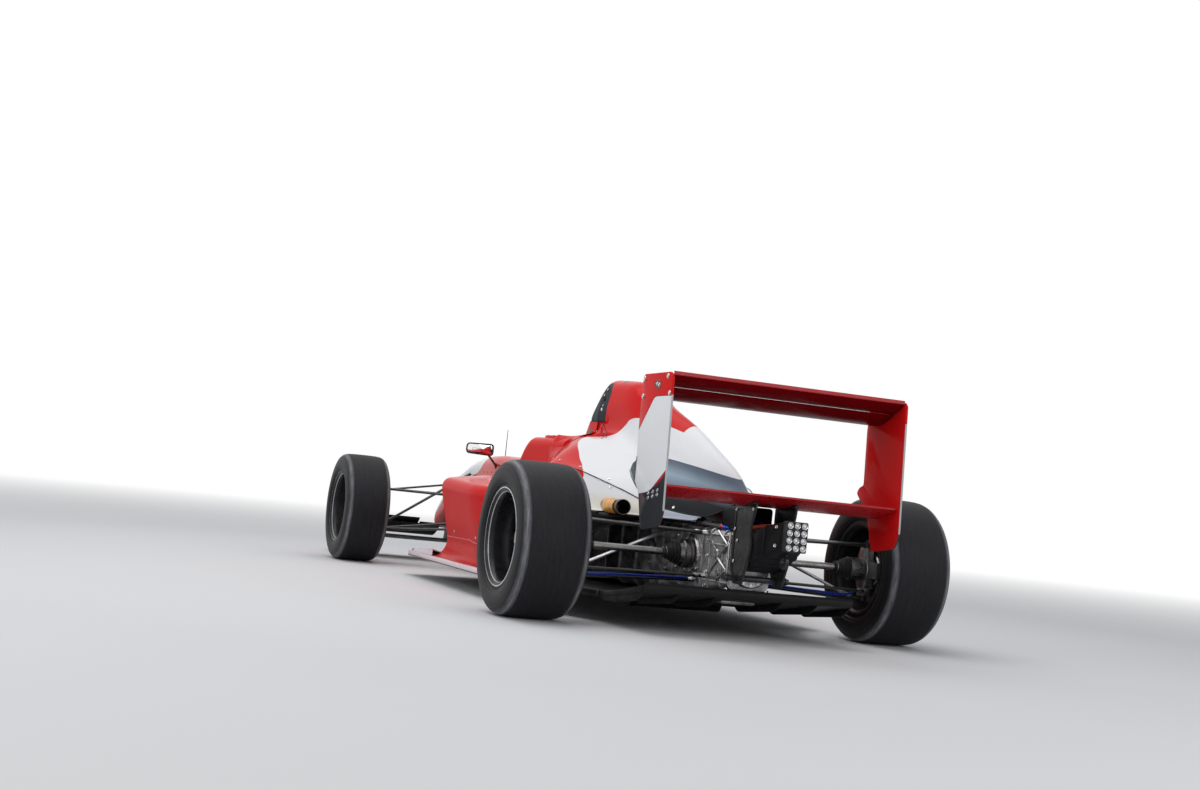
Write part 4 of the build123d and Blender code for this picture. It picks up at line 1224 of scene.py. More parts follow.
def tyre_outline(radius, width):
    """Half of a slick tyre's outside, (distance from the middle, radius), from tread to bead."""
    half = width / 2
    return [
        (0.0, radius), (half * 0.3, radius - 0.0002), (half * 0.52, radius - 0.0009),
        (half * 0.68, radius - 0.0022), (half * 0.78, radius - 0.0046), (half * 0.86, radius - 0.009),
        (half * 0.925, radius - 0.0165), (half * 0.962, radius - 0.026), (half * 0.985, radius - 0.038),
        (half * 0.998, radius - 0.054), (half, radius - 0.066), (half * 0.992, radius - 0.076),
        (half * 0.989, radius - 0.0768), (half * 0.989, radius - 0.0784), (half * 0.975, radius - 0.0792),
        (half * 0.955, radius - 0.088), (half * 0.952, radius - 0.0888), (half * 0.952, radius - 0.0902),
        (half * 0.935, radius - 0.0912),
    ]


class CAR_OT_tyres(bpy.types.Operator):
    """Make the four slick tyres"""

    bl_idname = "car.tyres"
    bl_label = "Tyres"

    def execute(self, context):
        steps = context.scene.car_wheels.tyre_steps
        for end, size in WHEEL.items():
            half = tyre_outline(size["radius"], size["width"])
            bead = size["rim"] / 2 - 0.01
            half += [
                (bead + 0.0075, 0.1905), (bead + 0.0095, 0.185), (bead + 0.008, 0.1795),
                (bead + 0.001, 0.17), (bead - 0.004, BEAD_RADIUS + 0.0004)
            ]
            whole = half + [(-a, r) for a, r in reversed(half) if a > 0]
            tyre = turned(f"{end}_slick_left", whole, size["centre"], steps=steps)
            settle_sides(
                tyre, "tyre_rubber", self.tread(end, size), f"{end}_tyre_left", body=f"{end}_wheel_left",
                smooth=50
            )
        return {"FINISHED"}

    def tread(self, end, size):
        """Charcoal rubber: scrubbed tread, paler shoulders, worn and with a painted highlight, and fine rings
        on the sidewall.
        """
        finish = Finish(f"{end} slick rubber", (0.015, 0.015, 0.017), 0.6, Specular_IOR_Level=0.2)
        radius, off, dx, dz = finish.from_axle(size["centre"])
        out = finish.size_of(off)
        edge = size["width"] / 2
        top = finish.above(radius, size["radius"] - 0.02, 0.012)
        # Pale band on each shoulder: wear, with a painted highlight in it.
        band = finish.within(out, edge * 0.79, edge * 0.9, 0.014)
        band = finish.times(band, finish.above(radius, size["radius"] - 0.022, 0.005))
        scrub = finish.noise(
            1.0, 5, 0.75,
            place=finish.place_of(finish.times(dx, 14.0), finish.times(off, 160.0), finish.times(dz, 14.0))
        )
        grain = finish.noise(420.0, 3, 0.7)
        colour = finish.mix(
            finish.times(top, finish.spread_over(scrub, 0.3, 0.75, 0.0, 0.55)), (0.007, 0.007, 0.008),
            (0.03, 0.029, 0.036)
        )
        colour = finish.mix(
            finish.times(band, finish.spread_over(scrub, 0.3, 0.66, 0.2, 1.0)), colour, (0.26, 0.26, 0.28)
        )
        rings = finish.wave(radius, 1900.0)
        wall = finish.opposite(top)
        colour = finish.mix(
            finish.times(wall, finish.spread_over(rings, 0.4, 1.0, 0.0, 0.28)), colour, (0.026, 0.026, 0.028)
        )
        for depth in (0.03, 0.052, 0.078):
            line = finish.within(radius, size["radius"] - depth - 0.0012, size["radius"] - depth, 0.0012)
            colour = finish.mix(finish.times(line, 0.6), colour, (0.06, 0.06, 0.066))
        finish.set("Base Color", colour)
        finish.set(
            "Roughness", finish.add(finish.times(top, 0.12), finish.spread_over(grain, 0.3, 0.7, 0.42, 0.58))
        )
        height = finish.add(finish.times(finish.times(wall, rings), 0.35), finish.times(grain, 0.6))
        finish.bump(finish.add(height, finish.times(finish.times(top, scrub), 0.8)), 0.0006, 0.55)
        return finish.material


class CAR_OT_rims(bpy.types.Operator):
    """Make the four deep rims with their spokes, rings and valves"""

    bl_idname = "car.rims"
    bl_label = "Rims"

    def execute(self, context):
        for end, size in WHEEL.items():
            rim = self.rim(end, size, context.scene.car_wheels.spokes)
            settle_sides(
                rim, "wheel_paint", self.finish(end, size), f"{end}_rim_left", body=f"{end}_wheel_left",
                smooth=35
            )
        return {"FINISHED"}

    def rim(self, end, size, spokes_wanted):
        centre, half = size["centre"], size["rim"] / 2
        outside = [
            (half - 0.0005, 0.1805), (half + 0.0, 0.1775), (half - 0.0015, 0.1745), (half - 0.006, 0.169),
            (half - 0.016, 0.16), (half - 0.03, 0.156), (half - 0.052, 0.1545), (half - 0.078, 0.148),
            (0.04, 0.144), (0.012, 0.144), (-0.01, 0.15), (-half + 0.06, 0.1535),
            (-half + 0.02, 0.1565), (-half + 0.006, 0.164), (-half, 0.1745), (-half, 0.1805),
        ]
        inside = [
            (-half + 0.0035, 0.1808), (-half + 0.006, 0.174), (-half + 0.01, BEAD_RADIUS),
            (-half + 0.034, BEAD_RADIUS - 0.0015), (-0.01, 0.1555), (0.04, 0.149),
            (half - 0.07, 0.1545), (half - 0.034, BEAD_RADIUS - 0.0015), (half - 0.01, BEAD_RADIUS),
            (half - 0.006, 0.174), (half - 0.0035, 0.1808),
        ]
        barrel = turned(f"{end}_wheel_rim_left", outside + inside, centre, steps=96)
        face = centre.y + 0.014
        spoke = box(
            f"{end}_spoke", (centre.x + 0.05, centre.x + 0.148), (face, face + 0.024),
            (centre.z - 0.013, centre.z + 0.013), bevel=0,
        )
        with editing(spoke):
            bpy.ops.mesh.subdivide(number_cuts=3)
        for vertex in spoke.data.vertices:
            share = (vertex.co.x - centre.x - 0.05) / 0.098
            vertex.co.z = centre.z + (vertex.co.z - centre.z) * (1.35 - 0.75 * share + 0.75 * share**3)
            middle = 1 - abs(vertex.co.z - centre.z) / 0.02
            if vertex.co.y > face + 0.012:
                vertex.co.y -= 0.01 * share * (1 - share) * 2 + 0.003 * max(0, middle)
        round_edges(spoke, 0.003, 2, 40)
        spokes = spun(spoke, f"{end}_spokes", spokes_wanted, centre, LEFT)
        boss_line = [
            (0.012, 0.0285), (0.012, 0.058), (0.016, 0.062), (0.034, 0.062), (0.038, 0.058), (0.038, 0.047),
            (0.0345, 0.043), (0.0345, 0.04), (0.038, 0.038), (0.038, 0.0285),
        ]
        boss = turned(f"{end}_boss", boss_line, centre, steps=64)
        valve_root = centre + Vector((0.0, half - 0.055, 0.153))
        valve = bar(
            f"{end}_valve", valve_root, valve_root + Vector((0, 0.03, -0.016)), 0.0032, 0.0026, 12, 0.0005
        )
        holes = [(place, LEFT) for place in ring_of(spokes_wanted, 0.052, centre, 0.037, 0.5)]
        pegs = fastener_set(f"{end}_pegs", holes, 0.0032, 0.003)
        return join(f"{end}_wheel_rim_left", [barrel, spokes, boss, valve, pegs])

    def finish(self, end, size):
        """Satin black with a machined ring at the edge, brake dust and stone chips."""
        finish = Finish(
            f"{end} rim enamel", (0.01, 0.01, 0.012), 0.34, 0.2, Coat_Weight=0.1, Coat_Roughness=0.15,
            Specular_IOR_Level=0.25
        )
        radius, off, _, _ = finish.from_axle(size["centre"])
        ring = finish.times(
            finish.above(radius, 0.177, 0.0006), finish.above(off, size["rim"] / 2 - 0.0035, 0.0006)
        )
        inner = finish.times(finish.within(radius, 0.164, 0.1662, 0.0005), finish.above(off, 0.0, 0.002))
        bright = finish.add(ring, finish.times(inner, 0.7))
        dust = finish.spread_over(finish.noise(22.0, 5, 0.7), 0.4, 0.8, 0.0, 0.6)
        colour = finish.mix(dust, (0.008, 0.008, 0.01), (0.026, 0.026, 0.028))
        colour = finish.mix(bright, colour, (0.72, 0.73, 0.76))
        finish.set("Base Color", colour)
        finish.set("Roughness", finish.spread_over(finish.noise(40.0, 4), 0.3, 0.7, 0.24, 0.46))
        finish.bump(finish.noise(300.0, 3), 0.0003, 0.2)
        return finish.material


def hub_profile(size):
    """The hub from the upright out to the nut's seat, (along from the wheel's middle, radius)."""
    plate_in = -size["inset"] - 0.016
    disc_in = -size["inset"] + 0.026
    return [
        (plate_in - 0.006, 0.0), (plate_in - 0.006, 0.031), (disc_in - 0.003, 0.0315),
        (disc_in - 0.003, 0.06),
        (disc_in + 0.001, 0.066), (disc_in + 0.02, 0.07), (disc_in + 0.026, 0.062), (disc_in + 0.026, 0.046),
        (0.0135, 0.042), (0.0135, 0.0275), (0.038, 0.0275), (0.038, 0.0),
    ]


class CAR_OT_hubs(bpy.types.Operator):
    """Make the hubs with brake discs, wheel nuts and the rear driveshafts"""

    bl_idname = "car.hubs"
    bl_label = "Hubs and driveshafts"

    def execute(self, context):
        for end, size in WHEEL.items():
            centre = size["centre"]
            steel = machined(f"{end} hub steel", (0.42, 0.41, 0.4), 0.28, centre)
            parts = [turned(f"{end}_hub_core", hub_profile(size), centre, steps=64), self.nut(end, centre)]
            core = join(f"{end}_wheel_hub_left", parts)
            disc = self.disc(end, size)
            for piece, finish in ((core, steel), (disc, self.disc_finish(end, size))):
                settle_sides(piece, "bare_steel", finish, f"{end}_hub_left", body=f"{end}_wheel_left")
        self.driveshafts()
        return {"FINISHED"}

    def nut(self, end, centre):
        """The centre-lock nut: a waisted hexagon with a coned seat and a bored middle."""
        clear()
        bpy.ops.mesh.primitive_cylinder_add(
            vertices=6, radius=0.0355, depth=0.022, location=centre + Vector((0, 0.0505, 0)),
            rotation=(math.pi / 2, 0, 0),
        )
        nut = take(named(f"{end}_nut"))
        bpy.ops.object.transform_apply(location=True, rotation=True, scale=True)
        with editing(nut):
            pick_faces(nut, lambda face: face.normal.y > 0.9)
            bpy.ops.mesh.inset(thickness=0.006)
            extrude((0, -0.004, 0))
            bpy.ops.mesh.inset(thickness=0.006)
            extrude((0, -0.01, 0))
        round_edges(nut, 0.0018, 2, 30)
        collar = turned(
            f"{end}_nut_collar",
            [(0.0382, 0.029), (0.0382, 0.046), (0.041, 0.046), (0.045, 0.036), (0.045, 0.029)], centre,
            steps=48
        )
        return join(f"{end}_nut", [nut, collar])

    def disc(self, end, size):
        """A vented disc: two faces with a spaced core, slots and bobbins round its bell."""
        centre, disc_in = size["centre"], -size["inset"] + 0.026
        rows = [
            (disc_in, 0.074), (disc_in, 0.1285), (disc_in + 0.001, 0.13), (disc_in + 0.0065, 0.13),
            (disc_in + 0.0065, 0.118),
            (disc_in + 0.0135, 0.118), (disc_in + 0.0135, 0.13), (disc_in + 0.019, 0.13),
            (disc_in + 0.02, 0.1285), (disc_in + 0.02, 0.074),
        ]
        plate = turned(f"{end}_brake_disc_left", rows, centre, steps=96)
        vane = box(
            f"{end}_vane", (centre.x + 0.112, centre.x + 0.1285),
            (centre.y + disc_in + 0.006, centre.y + disc_in + 0.014), (centre.z - 0.002, centre.z + 0.002), 0
        )
        with editing(vane):
            bpy.ops.mesh.subdivide(number_cuts=1)
            bpy.ops.transform.shrink_fatten(value=0.0004)
        vanes = spun(vane, f"{end}_vanes", 36, centre, LEFT)
        bobbins = [(place, LEFT) for place in ring_of(8, 0.072, centre, disc_in + 0.0195)]
        studs = fastener_set(f"{end}_bobbins", bobbins, 0.0045, 0.003)
        return join(f"{end}_brake_disc_left", [plate, vanes, studs])

    def disc_finish(self, end, size):
        """Swept iron: fine circular scratches, blued by heat towards the edge."""
        finish = Finish(f"{end} disc iron", (0.3, 0.29, 0.28), 0.32, 1.0)
        radius, off, dx, dz = finish.from_axle(size["centre"])
        scratch = finish.noise(
            1.0, 4, 0.7, place=finish.place_of(finish.times(radius, 900.0), finish.times(off, 60.0), 0.0)
        )
        heat = finish.ramp(
            finish.spread_over(radius, 0.074, 0.13),
            [
                (0.0, (0.2, 0.19, 0.18)), (0.35, (0.36, 0.34, 0.32)), (0.8, (0.3, 0.27, 0.26)),
                (1.0, (0.16, 0.13, 0.12))
            ]
        )
        slot = finish.maths(
            "SINE",
            finish.add(finish.times(finish.maths("ARCTAN2", dz, dx), 12.0), finish.times(radius, 60.0))
        )
        slot = finish.times(finish.above(slot, 0.985, 0.01), finish.within(radius, 0.088, 0.124, 0.001))
        finish.set("Base Color", finish.mix(slot, heat, (0.02, 0.02, 0.02)))
        finish.set("Roughness", finish.spread_over(scratch, 0.3, 0.7, 0.22, 0.45))
        finish.bump(finish.minus(scratch, finish.times(slot, 3.0)), 0.0003, 0.4)
        return finish.material

    def driveshafts(self):
        """Each shaft from the gearbox's flange to the wheel, with a folded boot at both joints."""
        centre = REAR_AXLE
        inner_flange = 0.104 - centre.y
        outer = -0.112
        spans = [
            (inner_flange - 0.03, 0.0), (inner_flange - 0.03, 0.0215), (inner_flange + 0.007, 0.0215),
            (inner_flange + 0.007, 0.052),
            (inner_flange + 0.01, 0.055), (inner_flange + 0.018, 0.055), (inner_flange + 0.02, 0.05),
            (inner_flange + 0.024, 0.05), (inner_flange + 0.026, 0.0545),
            (inner_flange + 0.04, 0.0545), (inner_flange + 0.044, 0.048), (inner_flange + 0.06, 0.046),
            (inner_flange + 0.062, 0.03),
            (inner_flange + 0.118, 0.018), (inner_flange + 0.12, 0.0135), (outer - 0.118, 0.0135),
            (outer - 0.116, 0.018), (outer - 0.062, 0.03),
            (outer - 0.06, 0.044), (outer, 0.0455), (outer, 0.0),
        ]
        shaft = turned("driveshaft_left", spans, centre, steps=56)
        steel = machined("driveshaft steel", (0.27, 0.265, 0.26), 0.26, centre)
        boots = []
        for low, high, big, small in (
            (inner_flange + 0.06, inner_flange + 0.122, 0.043, 0.0165),
            (outer - 0.06, outer - 0.122, 0.042, 0.0165)
        ):
            ridge = [(low, big - 0.004)]
            count = 5
            for number in range(count):
                share = number / count
                here = big + (small - big) * share
                place = low + (high - low) * (number + 0.15) / count
                ridge += [
                    (place, here), (place + (high - low) * 0.35 / count, here),
                    (place + (high - low) * 0.6 / count, here - 0.007),
                    (place + (high - low) * 0.8 / count, here - 0.007)
                ]
            ridge += [(high, small), (high, 0.012), (low, 0.012)]
            boots.append(turned("boot", ridge, centre, steps=48))
        gaiters = join("shaft_boots_left", boots)
        for piece, slot, finish in (
            (shaft, "bare_steel", steel), (gaiters, "black_plastic", black_rubber())
        ):
            settle_sides(piece, slot, finish, "rear_hub_left", body="rear_wheel_left")


# Bodywork

# Engine cover from the split to the spine: station, then y and z of six points
COVER = [
    (1.15, 0.252, 0.655, 0.205, 0.7, 0.1, 0.742, 0.092, 0.86, 0.06, 0.955, 0.0, 0.9803),
    (0.9, 0.3, 0.645, 0.225, 0.69, 0.105, 0.742, 0.09, 0.86, 0.058, 0.944, 0.0, 0.967),
    (0.578, 0.29, 0.592, 0.2, 0.628, 0.12, 0.668, 0.085, 0.76, 0.045, 0.838, 0.0, 0.86),
    (0.306, 0.24, 0.54, 0.17, 0.585, 0.115, 0.63, 0.075, 0.7, 0.035, 0.757, 0.0, 0.775),
    (0.123, 0.19, 0.49, 0.145, 0.54, 0.1, 0.59, 0.06, 0.65, 0.028, 0.688, 0.0, 0.7),
    (-0.071, 0.1, 0.458, 0.082, 0.495, 0.062, 0.54, 0.04, 0.585, 0.02, 0.612, 0.0, 0.621),
    (-0.221, 0.013, 0.512, 0.012, 0.518, 0.01, 0.524, 0.008, 0.529, 0.004, 0.534, 0.0, 0.536),
]
DUCT = [(0.07, 0.772), (0.097, 0.782), (0.093, 0.862), (0.06, 0.955), (0.0, 0.9803)]
MOUTH_FOOT = (1.24, 0.795)
MOUTH_TOP = (1.13, 0.972)

# Sidepods: station, outer y, shoulder z, foot y, foot z, shoulder, skirt
PODS = [
    (1.55, 0.66, 0.458, 0.61, 0.1175, 0.06, 0.055), (1.15, 0.66, 0.445, 0.61, 0.1175, 0.06, 0.055),
    (0.9, 0.63, 0.437, 0.585, 0.1175, 0.06, 0.05), (0.578, 0.5, 0.415, 0.47, 0.1175, 0.05, 0.04),
    (0.306, 0.372, 0.4, 0.35, 0.345, 0.03, 0.004), (0.123, 0.262, 0.408, 0.245, 0.396, 0.012, 0.003),
    (-0.071, 0.135, 0.414, 0.128, 0.402, 0.008, 0.003),
]

# Nose: station, bottom, top, half width, corner
NOSE = [
    (3.0815, 0.3, 0.5, 0.15, 0.055), (3.3, 0.245, 0.432, 0.136, 0.058), (3.5, 0.195, 0.345, 0.118, 0.052),
    (3.59, 0.178, 0.288, 0.108, 0.045), (3.622, 0.18, 0.252, 0.092, 0.034),
    (3.629, 0.196, 0.232, 0.06, 0.017),
]


def car_paint():
    return stock(body_paint, "body paint", bpy.context.scene.car_colours)


def section_box(station, table, count=9):
    """A closed section with rounded corners, from a table of bottom, top, half width and corner."""
    bottom, top, half, corner = between(table, station)
    points = []
    for y, z, start in ((half - corner, top - corner, 0), (-(half - corner), top - corner, 90),
                        (-(half - corner), bottom + corner, 180), (half - corner, bottom + corner, 270)):
        for number in range(count):
            angle = math.radians(start + 90 * number / (count - 1))
            points.append((back(station), y + corner * math.cos(angle), z + corner * math.sin(angle)))
    return points


class CAR_OT_tub(bpy.types.Operator):
    """Make the tub with its cockpit opening, and the nose"""

    bl_idname = "car.tub"
    bl_label = "Tub and nose"

    def execute(self, context):
        stations = [1.15, 1.152, 1.158] + spread(1.2, 1.5, 8) + spread(1.53, 1.7, 12)
        stations += spread(1.74, 3.06, 34) + [3.074, 3.08]
        tub = solid("survival_cell", [section_box(s, TUB) for s in stations])
        self.cut_cockpit(tub)
        rim = self.cockpit_rim()
        fasteners = self.panel_screws()
        self.nose()
        settle(tub, "body_paint", car_paint(), "monocoque", smooth=35)
        settle(rim, "black_plastic", black_rubber(), smooth=40)
        settle(fasteners, "body_paint", stock(bolt_metal, "gilt screws", (0.75, 0.42, 0.1), 0.3))
        return {"FINISHED"}

    def cockpit_outline(self, grow=0.0):
        """The opening seen from above, (station, y), rounded at the back and drawn in at the front."""
        half = [
            (1.275, 0.0), (1.275, 0.165), (1.315, 0.205), (1.72, 0.205), (1.85, 0.165), (1.97, 0.115),
            (2.05, 0.07), (2.085, 0.0)
        ]
        whole = half + [(s, -y) for s, y in reversed(half[1:-1])]
        centre = Vector((1.68, 0.0))
        outline = softened(
            whole, [0, 0.03, 0.03, 0.12, 0.06, 0.06, 0.05, 0, 0.05, 0.06, 0.06, 0.12, 0.03, 0.03], 5
        )
        return [tuple(Vector(p) + (Vector(p) - centre).normalized() * grow) for p in outline]

    def cut_cockpit(self, tub):
        outline = [(back(s), y, 0.5) for s, y in self.cockpit_outline()]
        cutter = slab("opening_cutter", outline, (0, 0, 0.4))
        inner = solid("inner_space", [self.inner_section(s) for s in spread(1.18, 3.05, 30)])
        cut(tub, inner)
        cut(tub, cutter)
        round_edges(tub, 0.0016, 2, 50)

    def inner_section(self, station):
        bottom, top, half, corner = between(TUB, station)
        wall = 0.025
        inner = (bottom + wall, top - wall, half - wall, max(corner - wall, 0.01))
        table = [(0, *inner), (9, *inner)]
        return [(back(station), y, z) for _, y, z in section_box(1.0, table, 6)]

    def cockpit_rim(self):
        """A rubber edging pressed over the rim of the opening."""
        points = []
        for station, y in self.cockpit_outline(0.001):
            points.append(Vector((back(station), y, between(TUB, station)[1])))
        front = [p for p in points if p.x > back(1.7)]
        front.sort(key=lambda p: math.atan2(p.y, p.x - back(1.7)))
        return tube("cockpit_edging", front, 0.006, 10, 90)

    def panel_screws(self):
        """Quarter-turn fasteners in a row under the cockpit's rim and round the nose joint."""
        places = []
        for side in (1, -1):
            for station in spread(1.76, 2.4, 7):
                _, top, half, _ = between(TUB, station)
                places.append(((back(station), side * (half + 0.0002), top - 0.085), (0, side, 0.05)))
            half = between(TUB, 3.05)[2]
            for z in (0.36, 0.44):
                places.append(((back(3.05), side * half, z), (0, side, 0)))
        return fastener_set("cockpit_screws", places, 0.0045, 0.0022, 8)

    def nose(self):
        stations = [3.0815] + spread(3.1, 3.56, 16) + [3.59, 3.605, 3.616, 3.624, 3.629]
        nose = solid("nose_skin", [section_box(s, NOSE) for s in stations])
        eye_s, eye_z = 3.15, 0.262
        ring = turned(
            "tow_ring",
            [
                (-0.006, 0.0152), (-0.006, 0.026), (-0.004, 0.0275), (0.004, 0.0275), (0.006, 0.026),
                (0.006, 0.0152)
            ],
            (back(eye_s), 0, eye_z), steps=40
        )
        shank = side_plate(
            "tow_shank",
            [(eye_s - 0.02, 0.278), (eye_s + 0.02, 0.278), (eye_s + 0.024, 0.31), (eye_s - 0.024, 0.31)],
            -0.005, 0.01, 0.002
        )
        eye = join("front_tow_ring", [ring, shank])
        places = []
        for side, station in ((1, 3.1), (1, 3.3), (-1, 3.1)):
            _, top, half, _ = between(NOSE, station)
            places.append(((back(station), side * (half - 0.0002), top - 0.08), (0, side, 0)))
        pins = fastener_set("nose_pins", places, 0.005, 0.0022, 8)
        settle(nose, "body_paint", car_paint(), "nose_cone", smooth=35)
        settle(eye, "painted_steel", stock(enamel, "tow ring red", (0.45, 0.02, 0.02), 0.4), smooth=35)
        settle(pins, "bare_steel", screw_metal())


def pod_row(station, count=56):
    """The left sidepod's outer line at a station, from the split over the shoulder down to the skirt."""
    outer, shoulder_z, foot, foot_z, shoulder, skirt = between(PODS, station)
    if station > 1.15:
        share = (station - 1.15) / 0.4
        inner_y = between(TUB, station)[2] + 0.0005
        inner_z = 0.578 + (0.52 - 0.578) * share * share * (3 - 2 * share)
    else:
        inner_y, inner_z = between(SPLIT, station)
        inner_z -= 0.002
    deck_y, deck_z = outer - shoulder, shoulder_z + 0.36 * shoulder
    knee_z = foot_z + 1.4 * skirt
    points = [
        (inner_y, inner_z), (inner_y * 0.55 + deck_y * 0.45, inner_z * 0.52 + deck_z * 0.48 + 0.004),
        (deck_y, deck_z),
        (outer - 0.3 * shoulder, shoulder_z + 0.17 * shoulder),
        (outer - 0.06 * shoulder, shoulder_z - 0.12 * shoulder),
        (outer, shoulder_z - 0.27 * shoulder - 0.3 * min(shoulder, 0.03)),
        (outer * 0.5 + foot * 0.5 + 0.004, shoulder_z * 0.5 + knee_z * 0.5), (foot, knee_z),
        (foot + 0.1 * skirt, foot_z + 0.85 * skirt), (foot + 0.35 * skirt, foot_z + 0.42 * skirt),
        (foot + 0.7 * skirt, foot_z + 0.13 * skirt), (foot + skirt, foot_z + 0.0015),
    ]
    line = flow([(y, z, 0) for y, z in points], count)
    return [(back(station), p.x, p.y) for p in line]


class CAR_OT_sidepods(bpy.types.Operator):
    """Make the two sidepods with their inlets, skirts and panel screws"""

    bl_idname = "car.sidepods"
    bl_label = "Sidepods"

    def execute(self, context):
        stations = [1.549, 1.546, 1.54] + spread(1.525, -0.071, 64)
        pod = skin("sidepod_skin_left", [pod_row(s) for s in reversed(stations)])
        face_away(pod, lambda x: Vector((x, 0.2, 0.25)))
        twin = mirrored(pod, "sidepod_skin_right")
        for piece in (pod, twin):
            thicken(piece, 0.005)
        cutter = turned(
            "exhaust_cutter", [(-0.34, 0.0), (-0.345, 0.036), (-0.3, 0.044), (0.0, 0.044), (0.0, 0.0)],
            (back(-0.02), 0.372, 0.434), (-1, 0.0, 0), 48
        )
        cut(pod, cutter)
        for piece, side in ((pod, "left"), (twin, "right")):
            round_edges(piece, 0.0012, 2, 60)
            settle(piece, "body_paint", car_paint(), f"sidepod_{side}", smooth=40)
        self.inlets()
        self.trim(pod)
        return {"FINISHED"}

    def inlets(self):
        """The inlet's inner wall."""
        wall = skin("inlet_wall_left", [
            [(back(s), 0.28, z) for z in spread(0.15, 0.515, 6)] for s in spread(1.16, 1.545, 6)
        ])
        face_away(wall, lambda x: Vector((x, 0.0, 0.3)))
        thicken(wall, 0.003)
        settle(both(wall, "inlet_walls"), "carbon", satin_carbon())

    def trim(self, pod):
        """Quarter-turn screws along the split and the skirt, and a pale seam along the skirt."""
        tree = surface(pod)
        spots = [pod_row(s)[2] for s in (1.4, 1.05, 0.72, 0.36)]
        spots += [pod_row(s)[44] for s in (1.42, 1.1, 0.8)]
        places = laid_on(tree, spots, 0.0004)
        screws = fastener_set("sidepod_screws", places, 0.0042, 0.002, 8)
        settle(both(screws, "sidepod_screws"), "body_paint", screw_metal())
        foot = [pod_row(station)[46] for station in spread(1.544, 0.524, 24)]
        seam = seam_on("skirt_seam", tree, foot, 0.0002, 0.0011, 60)
        settle(both(seam, "skirt_seams"), "body_paint", stock(enamel, "paler seam", (0.75, 0.3, 0.32), 0.3))


def cover_row(station, count=44):
    """The engine cover's left half at a station, from the split to the spine."""
    values = between(COVER, station)
    foot = between(SPLIT, station)
    half = [tuple(foot)] + list(zip(values[0::2], values[1::2]))
    whole = half + [(-y, z) for y, z in reversed(half[:-1])]
    line = flow([(y, z, 0) for y, z in whole], 2 * count - 1)
    return [(back(station), p.x, p.y) for p in line]


